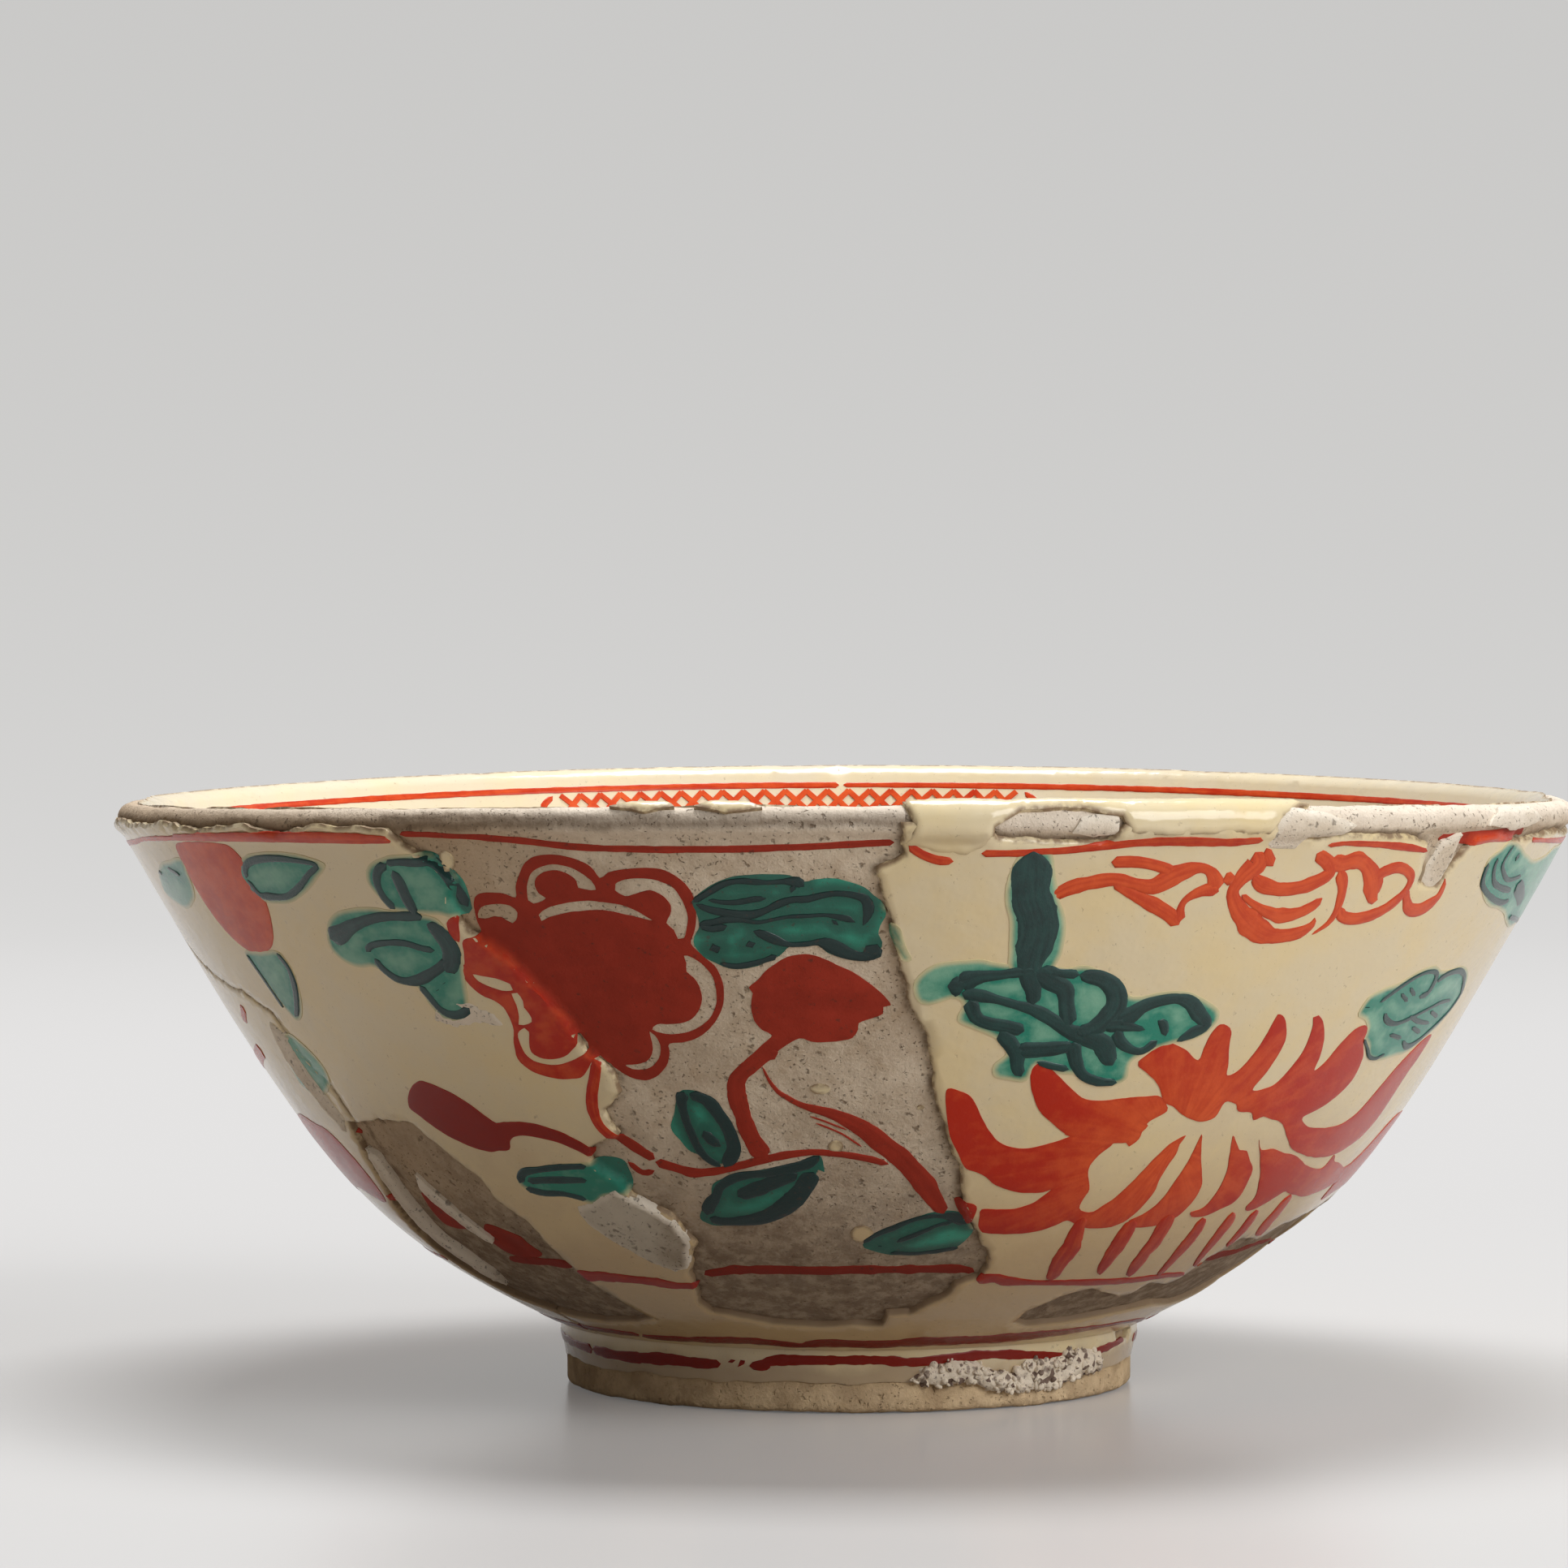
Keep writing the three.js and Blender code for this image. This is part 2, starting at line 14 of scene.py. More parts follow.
import bmesh
import bpy
import numpy as np
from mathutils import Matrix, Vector
from mathutils.geometry import delaunay_2d_cdt


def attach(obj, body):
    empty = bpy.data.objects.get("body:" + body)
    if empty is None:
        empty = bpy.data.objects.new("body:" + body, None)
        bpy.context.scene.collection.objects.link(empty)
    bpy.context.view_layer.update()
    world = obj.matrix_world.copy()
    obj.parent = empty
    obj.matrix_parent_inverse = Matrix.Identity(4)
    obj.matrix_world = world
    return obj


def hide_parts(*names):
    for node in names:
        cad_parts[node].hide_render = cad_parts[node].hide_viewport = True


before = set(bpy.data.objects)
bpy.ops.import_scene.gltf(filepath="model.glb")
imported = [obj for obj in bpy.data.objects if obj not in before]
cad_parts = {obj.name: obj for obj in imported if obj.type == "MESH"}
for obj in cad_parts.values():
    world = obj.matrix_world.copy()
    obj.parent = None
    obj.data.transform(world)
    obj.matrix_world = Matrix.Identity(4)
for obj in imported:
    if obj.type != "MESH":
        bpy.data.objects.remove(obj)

LOG = logging.getLogger("bowl")
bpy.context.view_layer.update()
MM = 0.001
SEED_PRIME = 374761393
AXIS_PRIMES = (2654435761, 805459861, 3674653429)
MIXING = ((15, 2246822519), (13, 3266489917))
WORD = 0xFFFFFFFF
HALF_WORD = 2147483647.5
BREAK_LUMPS = ((0.55, 4.0), (0.45, 1.6), (0.25, 0.7))
BREAK_STRETCH = (1.5, 1.0)
CALM_RUNS = (12, 20)
CALM_LEAST = 0.25
ROW_STEP = 0.87
LATTICE_PUSH = 0.18
EDGE_SPACING = 0.2
SEAM_TURN = 180.0
FULL_TURN = 360.0
Outline = Sequence[tuple[float, float]]
Stroke = Sequence[tuple[float, float, float]]
Curve = Callable[[np.ndarray], np.ndarray]
Colour = tuple[float, float, float]


class Slot(Enum):
    """The finishes that the pieces are made of."""

    BISCUIT = "biscuit"
    GLAZE = "glaze"
    GRIT = "kiln_grit"
    RED = "red_enamel"
    GREEN = "green_enamel"
    DARK = "dark_enamel"


def smoothstep(values: np.ndarray, low: float, high: float) -> np.ndarray:
    """Values eased from 0 at low to 1 at high."""
    share = np.clip((values - low) / (high - low), 0, 1)
    return share * share * (3 - 2 * share)


def lumps(points: np.ndarray, size: float, seed: int) -> np.ndarray:
    """Smooth random values over space.

    Args:
        points: Places, one row of two or three numbers each.
        size: How far apart the lumps are, in the same unit.
        seed: Which of the random patterns to use.

    Returns:
        One value from -1 to 1 for each place.
    """
    scaled = points / size
    cell = np.floor(scaled).astype(np.int64)
    share = scaled - cell
    share = share * share * (3 - 2 * share)
    total = np.zeros(len(points))
    for corner in itertools.product((0, 1), repeat=points.shape[1]):
        mixed = np.full(len(points), seed * SEED_PRIME, np.uint64)
        weight = np.ones(len(points))
        for axis, (side, prime) in enumerate(zip(corner, AXIS_PRIMES)):
            mixed ^= (cell[:, axis] + side).astype(np.uint64) * np.uint64(prime)
            weight *= share[:, axis] if side else 1 - share[:, axis]
        for shift, prime in MIXING:
            mixed = (mixed ^ (mixed >> np.uint64(shift))) * np.uint64(prime) & np.uint64(WORD)
        total += weight * ((mixed ^ (mixed >> np.uint64(16))) / HALF_WORD - 1)
    return total


def relief(points: np.ndarray, seed: int, *layers: tuple[float, float], base: float = 0.0) -> np.ndarray:
    """Lumps of several sizes on top of each other.

    Args:
        points: Places, one row each.
        seed: The random pattern of the first layer; each further layer uses the next one.
        layers: How high the lumps of each layer are, and how far apart.
        base: What the layers are added to.

    Returns:
        One height for each place.
    """
    return sum((height * lumps(points, size, seed + k) for k, (height, size) in enumerate(layers)), base)


def pairs(first: np.ndarray | float, second: np.ndarray | float) -> np.ndarray:
    """Two rows of numbers, or a number and a row, side by side."""
    return np.stack(np.broadcast_arrays(first, second), -1)


def circle(turns: np.ndarray, radius: float) -> np.ndarray:
    """Places round a circle, where random patterns are read so that they close."""
    return pairs(np.sin(np.radians(turns)), np.cos(np.radians(turns))) * radius


def bezier(*points: tuple[float, float]) -> Curve:
    """A Bezier curve of any order, as a function of the share run along it."""
    order = len(points) - 1

    def curve(share: np.ndarray) -> np.ndarray:
        """Points at these shares of the curve."""
        weights = [math.comb(order, i) * share ** i * (1 - share) ** (order - i) for i in range(order + 1)]
        return sum(np.outer(w, p) for w, p in zip(weights, points))

    return curve


def arc(centre: tuple[float, float], radius: float, start: float, end: float) -> Curve:
    """An arc between two angles in degrees, as a function of the share run along it."""

    def curve(share: np.ndarray) -> np.ndarray:
        """Points at these shares of the arc."""
        angle = np.radians(start + (end - start) * share)
        return np.array(centre) + radius * pairs(np.cos(angle), np.sin(angle))

    return curve


def step(point: tuple[float, float], angle: float, length: float) -> tuple[float, float]:
    """A point moved by a length along an angle in degrees."""
    turn = math.radians(angle)
    return point[0] + length * math.cos(turn), point[1] + length * math.sin(turn)


@dataclass
class Skin:
    """The bare clay's outside, from the middle of the underside round the foot, wall, lip and inside.

    Sizes are in millimetres and degrees, the same as the solid model's.
    """

    foot_radius: float = 39.0
    foot_height: float = 9.0
    foot_width: float = 4.8
    foot_edge: float = 0.8
    recess_height: float = 7.2
    recess_crown: float = 0.9
    recess_corner: float = 2.0
    base_thickness: float = 4.9
    wall_top: tuple[float, float] = (98.3, 77.0)
    wall_start_rise: float = 25.6
    wall_start_pull: float = 30.5
    wall_top_flare: float = 28.9
    wall_top_pull: float = 55.0
    lip_thickness: float = 3.8
    lip_set_in: float = 0.2
    lip_rise: float = 2.5
    lip_start: float = -35.0
    lip_end: float = 151.0
    inside_top_pull: float = 52.0
    floor_radius: float = 27.0
    floor_rise: float = 10.0
    floor_pull: float = 30.0
    floor_dish: float = 0.8
    saddle: float = 1.0
    lean: float = -0.6
    tilt: float = 0.3
    warp_growth: float = 1.3
    sample: float = 0.12
    least_radius: float = 0.5
    runs: np.ndarray = field(init=False)
    section: np.ndarray = field(init=False)
    normals: np.ndarray = field(init=False)
    marks: dict[str, float] = field(init=False)

    def __post_init__(self) -> None:
        """Draws the section and measures the run along it."""
        points, normals, corners = [], [], {}
        total = 0.0
        for name, curve in self.curves().items():
            rough = curve(np.linspace(0, 1, 400))
            count = max(int(np.hypot(*np.diff(rough, axis=0).T).sum() / self.sample), 4)
            line = curve(np.linspace(0, 1, count + 1))
            along = np.gradient(line, axis=0)
            along /= np.linalg.norm(along, axis=1)[:, None]
            corners[name] = total
            total += np.hypot(*np.diff(line, axis=0).T).sum()
            points.append(line)
            normals.append(pairs(along[:, 1], -along[:, 0]))
        self.section = np.vstack(points)
        self.normals = np.vstack(normals)
        lengths = np.hypot(*np.diff(self.section, axis=0).T)
        self.runs = np.concatenate(([0], np.cumsum(np.maximum(lengths, 1e-7)))) - corners["wall"]
        self.marks = {name: start - corners["wall"] for name, start in corners.items()}
        self.marks["end"] = self.runs[-1]
        crest = (90 - self.lip_start) / (self.lip_end - self.lip_start)
        self.marks["crest"] = self.marks["lip"] + crest * (self.marks["inside"] - self.marks["lip"])

    def curves(self) -> dict[str, Curve]:
        """The parts of the section, in order from the middle of the underside."""
        ring = self.foot_radius - self.foot_width
        reach = ring - self.recess_corner
        edge, recess, corner = self.foot_edge, self.recess_height, self.recess_corner
        crown = recess + self.recess_crown
        centre = (self.wall_top[0] - self.lip_set_in, self.wall_top[1] + self.lip_rise)
        lip = self.lip_thickness / 2
        lip_start, lip_end = step(centre, self.lip_start, lip), step(centre, self.lip_end, lip)
        foot = (self.foot_radius, self.foot_height)
        upright = 90 - self.wall_top_flare
        floor = crown + self.base_thickness
        floor_edge = (self.floor_radius, floor + self.floor_dish)
        return {
            "recess": bezier((0, crown), (reach / 2, crown), (reach, recess)),
            "recess_corner": arc((reach, recess - corner), corner, 90, 0),
            "foot_inside": bezier((ring, recess - corner), (ring, edge)),
            "foot_inner_edge": arc((ring + edge, edge), edge, 180, 270),
            "foot_bottom": bezier((ring + edge, 0), (self.foot_radius - edge, 0)),
            "foot_outer_edge": arc((self.foot_radius - edge, edge), edge, 270, 360),
            "foot_side": bezier((self.foot_radius, edge), foot),
            "wall": bezier(foot, step(foot, self.wall_start_rise, self.wall_start_pull),
                           step(self.wall_top, upright, -self.wall_top_pull), self.wall_top),
            "neck": bezier(self.wall_top, step(self.wall_top, upright, self.lip_rise / 3), lip_start),
            "lip": arc(centre, lip, self.lip_start, self.lip_end),
            "inside": bezier(lip_end, step(lip_end, upright, -self.inside_top_pull),
                             step(floor_edge, self.floor_rise, self.floor_pull), floor_edge),
            "floor": bezier(floor_edge, (self.floor_radius / 2, floor), (0, floor)),
        }

    def at(self, runs: np.ndarray, lifts: np.ndarray | float = 0.0) -> tuple[np.ndarray, np.ndarray]:
        """Radius and height at these runs, lifted off the clay."""
        tables = (*self.section.T, *self.normals.T)
        radius, height, out, up = (np.interp(runs, self.runs, table) for table in tables)
        return np.maximum(radius + out * lifts, 0), height + up * lifts

    def per_degree(self, runs: np.ndarray) -> np.ndarray:
        """Millimetres in one degree of turn at these runs."""
        return np.maximum(self.at(runs)[0], self.least_radius) * math.pi / 180

    def scale_at(self, run: float) -> float:
        """Millimetres in one degree of turn at one run."""
        return float(self.per_degree(np.array([run]))[0])

    def place(self, turns: np.ndarray, runs: np.ndarray, lifts: np.ndarray | float = 0.0) -> np.ndarray:
        """Points in metres on the kiln-warped bowl.

        Args:
            turns: Degrees from the front.
            runs: Millimetres along the skin.
            lifts: Millimetres off the clay.

        Returns:
            One row of x, y and z for each place.
        """
        radius, height = self.at(runs, lifts)
        angle = np.radians(turns)
        rise = self.wall_top[1] + self.lip_rise + self.lip_thickness / 2 - self.foot_height
        share = np.clip((height - self.foot_height) / rise, 0, None) ** self.warp_growth
        sag = share * (self.saddle * np.cos(2 * angle) + self.tilt * np.sin(angle))
        across = radius * np.sin(angle) + self.lean * share
        return MM * np.stack((across, -radius * np.cos(angle), height + sag), -1)

    def solid_place(self, turns: np.ndarray, runs: np.ndarray) -> np.ndarray:
        """Places in millimetres on the bare clay, where random patterns are read."""
        return self.place(turns, runs) / MM


SKIN = Skin()
PERCENT = SKIN.marks["crest"] / 100


def on_wall(outline: Outline) -> np.ndarray:
    """An outline in degrees and percent of the wall, as turns and runs."""
    return np.array(outline, float) * (1, PERCENT)


def dense(outline: np.ndarray, spacing: float, closed: bool = True) -> np.ndarray:
    """Points close together along straight lines between corners.

    Args:
        outline: Turns and runs of the corners.
        spacing: Millimetres between the new points.
        closed: Whether the last corner joins the first.

    Returns:
        Turns and runs of the points.
    """
    ends = np.roll(outline, -1, axis=0) if closed else outline[1:]
    line = []
    for start, end in zip(outline, ends):
        scale = SKIN.scale_at((start[1] + end[1]) / 2)
        count = max(int(math.hypot((end[0] - start[0]) * scale, end[1] - start[1]) / spacing), 1)
        line.append(start + (end - start) * (np.arange(count) / count)[:, None])
    if not closed:
        line.append(outline[-1:])
    return np.vstack(line)


def ragged(outline: np.ndarray, amount: float, seed: int, spacing: float = 0.5, closed: bool = True) -> np.ndarray:
    """A broken edge that follows an outline, calmer near the foot.

    Args:
        outline: Turns and runs of the corners.
        amount: How far the edge strays, in millimetres.
        seed: Which of the random patterns to use.
        spacing: Millimetres between the new points.
        closed: Whether the last corner joins the first.

    Returns:
        Turns and runs of the points of the edge.
    """
    line = dense(outline, spacing, closed)
    flat = line * BREAK_STRETCH
    across, up = (relief(flat, seed + 7 * axis, *BREAK_LUMPS) for axis in (0, 1))
    calm = amount * (CALM_LEAST + (1 - CALM_LEAST) * smoothstep(line[:, 1], *CALM_RUNS))
    return line + calm[:, None] * pairs(across / SKIN.per_degree(line[:, 1]), up)


class Map:
    """A picture of the skin laid flat, which gives the distance to edges and what lies inside them."""

    turn_step = 0.2
    run_step = 0.25
    reach = 2.6

    def __init__(self, low: float, high: float) -> None:
        """Starts with nothing inside and every edge far away.

        Args:
            low: The lowest run of the map.
            high: The highest run of the map.
        """
        self.low = low
        self.columns = round(FULL_TURN / self.turn_step)
        self.rows = int((high - low) / self.run_step) + 2
        self.inside = np.zeros((self.rows, self.columns), bool)
        self.distance = np.full(self.rows * self.columns, self.reach)

    def fill(self, outline: np.ndarray, value: bool) -> None:
        """Marks everything inside an outline."""
        turns, runs = outline.T
        for row in range(self.rows):
            level = self.low + row * self.run_step
            above = runs > level
            ends = np.nonzero(above != np.roll(above, -1))[0]
            after = (ends + 1) % len(outline)
            share = (level - runs[ends]) / (runs[after] - runs[ends])
            cross = np.sort(turns[ends] + share * (turns[after] - turns[ends]))
            for start, end in zip(*[iter(cross)] * 2):
                columns = np.arange(math.ceil(start / self.turn_step), math.floor(end / self.turn_step) + 1)
                self.inside[row, columns % self.columns] = value

    def edge(self, line: np.ndarray) -> None:
        """Takes a line of closely spaced points as an edge."""
        turns, runs = line.T
        scale = SKIN.per_degree(runs)
        column, row = np.round(turns / self.turn_step), np.round((runs - self.low) / self.run_step)
        widest = int(self.reach / (scale.min() * self.turn_step)) + 1
        tallest = int(self.reach / self.run_step) + 1
        for across, up in itertools.product(range(-widest, widest + 1), range(-tallest, tallest + 1)):
            cell_row = row + up
            good = (cell_row >= 0) & (cell_row < self.rows)
            wide = ((column + across) * self.turn_step - turns) * scale
            high = self.low + cell_row * self.run_step - runs
            index = cell_row * self.columns + (column + across) % self.columns
            np.minimum.at(self.distance, index[good].astype(int), np.hypot(wide, high)[good])

    def read(self, turns: np.ndarray, runs: np.ndarray) -> np.ndarray:
        """Millimetres to the nearest edge, negative where nothing is inside."""
        signed = np.where(self.inside, 1, -1) * self.distance.reshape(self.rows, self.columns)
        across = np.asarray(turns, float) / self.turn_step
        up = np.clip((np.asarray(runs, float) - self.low) / self.run_step, 0, self.rows - 1.001)
        left, below = np.floor(across).astype(int), np.floor(up).astype(int)
        x, y = across - left, up - below
        total = np.zeros(len(across))
        for i, j in itertools.product((0, 1), (0, 1)):
            weight = (x if i else 1 - x) * (y if j else 1 - y)
            total += weight * signed[below + j, (left + i) % self.columns]
        return total


@dataclass
class Flat:
    """A region of the skin cut into triangles: turns and runs, and three corners a row."""

    points: np.ndarray
    triangles: np.ndarray

    def rim(self) -> np.ndarray:
        """The edges that only one triangle has, in its direction."""
        edges = np.vstack([self.triangles[:, pair] for pair in ((0, 1), (1, 2), (2, 0))])
        key = np.sort(edges, axis=1)
        _, first, count = np.unique(key, axis=0, return_index=True, return_counts=True)
        return edges[first[count == 1]]


def anticlockwise(loop: np.ndarray) -> np.ndarray:
    """The same outline, run the way that keeps its inside on the left."""
    x, y = loop.T
    return loop if np.sum(x * np.roll(y, -1) - np.roll(x, -1) * y) > 0 else loop[::-1]


def cut_region(keep: Sequence[np.ndarray], cut: Sequence[np.ndarray], loose: np.ndarray, scale: float) -> Flat:
    """Cuts the area inside some outlines, and outside others, into triangles.

    Args:
        keep: Outlines around what stays.
        cut: Outlines around what goes.
        loose: Further points to use.
        scale: Millimetres in a degree, for triangles of an even shape.

    Returns:
        The region.
    """
    stretch = np.array((scale, 1.0))
    loops = [anticlockwise(loop) for loop in (*keep, *cut)]
    starts = np.cumsum([0, *map(len, loops)])
    faces = [list(range(a, b)) for a, b in zip(starts, starts[1:])]
    corners = [Vector(p) for p in np.vstack([*loops, loose]) * stretch]
    points, _, triangles, _, _, origins = delaunay_2d_cdt(corners, [], faces, 0, 1e-5, True)
    kept = len(keep)
    wanted = np.array([t for t, o in zip(triangles, origins) if o and max(o) < kept])
    used, renumbered = np.unique(wanted, return_inverse=True)
    flat = np.array([tuple(p) for p in points])[used] / stretch
    triangles = renumbered.reshape(-1, 3)
    a, b, c = (flat[triangles[:, i]] for i in range(3))
    turned = (b[:, 0] - a[:, 0]) * (c[:, 1] - a[:, 1]) < (b[:, 1] - a[:, 1]) * (c[:, 0] - a[:, 0])
    triangles[turned] = triangles[turned][:, ::-1]
    return Flat(flat, triangles)


def lattice(turns: tuple[float, float], runs: tuple[float, float], spacing: float, seed: int) -> np.ndarray:
    """Points spread over a patch of the skin, in rows, each pushed a little at random."""
    rng = np.random.default_rng(seed)
    rows = []
    for k, run in enumerate(np.arange(runs[0], runs[1], spacing * ROW_STEP)):
        across = spacing / SKIN.scale_at(run)
        rows.append(pairs(np.arange(turns[0] + (k % 2) * across / 2, turns[1], across), run))
    points = np.vstack(rows)
    push = rng.uniform(-LATTICE_PUSH, LATTICE_PUSH, points.shape) * spacing
    return points + push / pairs(SKIN.per_degree(points[:, 1]), 1.0)


def nearest(points: np.ndarray, loops: Sequence[np.ndarray], closed: bool = True) -> np.ndarray:
    """Millimetres from each point of the skin to the nearest of some outlines or open lines."""
    line = np.vstack([dense(loop, EDGE_SPACING, closed) for loop in loops])
    scale = SKIN.per_degree(points[:, 1])[:, None]
    parts = len(points) // 500 + 1
    shares = zip(np.array_split(points, parts), np.array_split(scale, parts))
    return np.concatenate([
        np.sqrt((((p[:, :1] - line[:, 0]) * m) ** 2 + (p[:, 1:] - line[:, 1]) ** 2).min(1)) for p, m in shares])


def within(points: np.ndarray, loop: np.ndarray) -> np.ndarray:
    """Which points lie inside an outline."""
    ahead = np.roll(loop, -1, axis=0)
    x, y = points[:, :1], points[:, 1:]
    spans = (loop[:, 1] > y) != (ahead[:, 1] > y)
    with np.errstate(divide="ignore", invalid="ignore"):
        cross = loop[:, 0] + (y - loop[:, 1]) / (ahead[:, 1] - loop[:, 1]) * (ahead[:, 0] - loop[:, 0])
    return (spans & (cross > x)).sum(1) % 2 == 1


def patch(loops: Sequence[np.ndarray], spacing: float, seed: int, margin: float,
          scale: float) -> tuple[Flat, np.ndarray]:
    """A small area of the skin, cut into triangles.

    Args:
        loops: Its edge, and then the edges of its holes.
        spacing: Millimetres between the points inside.
        seed: Which of the random patterns pushes them about.
        margin: How far they stay away from the edges, in millimetres.
        scale: Millimetres in a degree there.

    Returns:
        The area, and the distance from each of its points to the nearest edge.
    """
    low, high = loops[0].min(0), loops[0].max(0)
    loose = lattice((low[0], high[0]), (low[1], high[1]), spacing, seed)
    loose = loose[within(loose, loops[0])]
    loose = loose[nearest(loose, loops) > margin]
    flat = cut_region(loops[:1], loops[1:], loose, scale)
    return flat, nearest(flat.points, loops)


@dataclass
class Shape:
    """Corners, faces and named values of a mesh while it is being made."""

    corners: np.ndarray
    faces: list[tuple[int, ...]]
    values: dict[str, np.ndarray] = field(default_factory=dict)

    @staticmethod
    def together(shapes: Sequence["Shape"]) -> "Shape":
        """Several shapes as one."""
        starts = np.cumsum([0, *(len(shape.corners) for shape in shapes)]).tolist()
        faces = [tuple(i + start for i in face) for shape, start in zip(shapes, starts) for face in shape.faces]
        values = {name: np.concatenate([shape.values[name] for shape in shapes]) for name in shapes[0].values}
        return Shape(np.vstack([shape.corners for shape in shapes]), faces, values)


def layer(flat: Flat, top: np.ndarray, bottom: np.ndarray | float, values: dict[str, np.ndarray]) -> Shape:
    """A closed layer on the skin.

    Args:
        flat: The region that it covers.
        top: How far each point of its upper side is off the clay.
        bottom: How far its lower side is off the clay, at each point or everywhere.
        values: What else is known at each point.

    Returns:
        The layer's shape.
    """
    count = len(flat.points)
    turns, runs = flat.points.T
    corners = np.vstack((SKIN.place(turns, runs, top), SKIN.place(turns, runs, bottom)))
    faces = [tuple(t) for t in flat.triangles] + [tuple(t) for t in flat.triangles[:, ::-1] + count]
    seam = np.abs(np.abs(turns) - SEAM_TURN) < 1e-6
    pole = SKIN.at(runs)[0] < 1e-4
    for a, b in flat.rim():
        if not (seam[a] and seam[b]) and not (pole[a] and pole[b]):
            faces.append((b, a, a + count, b + count))
    return Shape(corners, faces, {name: np.concatenate((v, v)) for name, v in values.items()})


def link(name: str, data: bpy.types.ID) -> bpy.types.Object:
    """A new object in the scene, at the origin."""
    piece = bpy.data.objects.new(name, data)
    bpy.context.scene.collection.objects.link(piece)
    return piece


def make_object(name: str, shape: Shape, material: bpy.types.Material, sharp: float = 50.0) -> bpy.types.Object:
    """Turns a shape into a finished object at the origin.

    Args:
        name: The object's name.
        shape: Its corners, faces and values.
        material: Its finish.
        sharp: Edges that turn by more degrees than this stay crisp.

    Returns:
        The object.
    """
    mesh = bpy.data.meshes.new(name)
    mesh.from_pydata(shape.corners.tolist(), [], shape.faces)
    for key, values in shape.values.items():
        kind, part = ("FLOAT", "value") if values.ndim == 1 else ("FLOAT_VECTOR", "vector")
        named = mesh.attributes.new(key, kind, "POINT")
        named.data.foreach_set(part, values.astype(np.float32).ravel())
    work = bmesh.new()
    work.from_mesh(mesh)
    bmesh.ops.remove_doubles(work, verts=work.verts, dist=2e-6)
    bmesh.ops.dissolve_degenerate(work, dist=1e-7, edges=work.edges)
    work.to_mesh(mesh)
    work.free()
    mesh.polygons.foreach_set("use_smooth", [True] * len(mesh.polygons))
    mesh.set_sharp_from_angle(angle=math.radians(sharp))
    mesh.materials.append(material)
    return link(name, mesh)


def settle(piece: bpy.types.Object, slot: Slot, *nodes: str) -> bpy.types.Object:
    """Fixes a piece to the bowl and hides the solids that it stands for."""
    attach(piece, "root")
    if nodes:
        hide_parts(*nodes)
    LOG.info("%s: %d faces", piece.name, len(piece.data.polygons))
    return piece


Out = bpy.types.NodeSocket
Socket = Out | float | tuple


@dataclass(frozen=True)
class Fade:
    """How one value follows another: start below low, end above high, and eased between them."""

    low: float
    high: float
    start: float = 0.0
    end: float = 1.0


@dataclass(frozen=True)
class Clouds:
    """Cloudy patches: their lumps in a millimetre, their detail and roughness, and how they fade in."""

    per_mm: float
    detail: float = 3.0
    rough: float = 0.55
    fade: Fade = Fade(0.0, 1.0)


class Nodes:
    """Adds nodes to a tree and joins them up."""

    def __init__(self, tree: bpy.types.NodeTree) -> None:
        """Works on this tree."""
        self.tree = tree

    def add(self, kind: str, inputs: dict[str | int, Socket] | None = None, **options: object) -> bpy.types.Node:
        """A new node.

        Args:
            kind: The node's type, without the words that all shader nodes start with.
            inputs: A value or an output for each named input.
            options: The node's own settings.

        Returns:
            The node.
        """
        whole = kind.startswith(("Geometry", "Function", "NodeGroup"))
        node = self.tree.nodes.new(kind if whole else "ShaderNode" + kind)
        for name, value in options.items():
            setattr(node, name, value)
        for name, value in (inputs or {}).items():
            self.feed(node.inputs[name], value)
        return node

    def feed(self, socket: Out, value: Socket) -> None:
        """Joins an output to a socket, or sets the socket's own value."""
        if isinstance(value, Out):
            self.tree.links.new(value, socket)
        elif isinstance(value, tuple) and len(value) == 3 and socket.type == "RGBA":
            socket.default_value = (*value, 1)
        else:
            socket.default_value = value

    def math(self, operation: str, *values: Socket, clamp: bool = False) -> Out:
        """The result of a sum."""
        return self.add("Math", dict(enumerate(values)), operation=operation, use_clamp=clamp).outputs[0]

    def times(self, first: Socket, second: Socket) -> Out:
        """Two values multiplied."""
        return self.math("MULTIPLY", first, second)

    def fade(self, value: Socket, fade: Fade, unit: float = 1.0) -> Out:
        """A value that follows another.

        Args:
            value: The other value.
            fade: How it follows.
            unit: What low and high are counted in, such as millimetres.

        Returns:
            The new value.
        """
        inputs = {"Value": value, "From Min": fade.low * unit, "From Max": fade.high * unit,
                  "To Min": fade.start, "To Max": fade.end}
        return self.add("MapRange", inputs, interpolation_type="SMOOTHSTEP").outputs[0]

    def blend(self, share: Socket, first: Socket, second: Socket, how: str = "MIX") -> Out:
        """Two colours mixed."""
        node = self.add("Mix", data_type="RGBA", blend_type=how)
        for index, value in ((0, share), (6, first), (7, second)):
            self.feed(node.inputs[index], value)
        return node.outputs[2]

    def noise(self, place: Socket, clouds: Clouds) -> Out:
        """Cloudy values round a half, before they are faded."""
        inputs = {"Vector": place, "Scale": clouds.per_mm / MM, "Detail": clouds.detail, "Roughness": clouds.rough}
        return self.add("TexNoise", inputs).outputs[0]

    def clouds(self, place: Socket, clouds: Clouds) -> Out:
        """Cloudy patches, faded in."""
        return self.fade(self.noise(place, clouds), clouds.fade)

    def axis(self, place: Socket, name: str) -> Out:
        """One coordinate of a place."""
        return self.add("SeparateXYZ", {"Vector": place}).outputs[name]

    def value(self, name: str, kind: str = "Fac") -> Out:
        """A named value of the mesh."""
        return self.add("Attribute", attribute_name=name).outputs[kind]


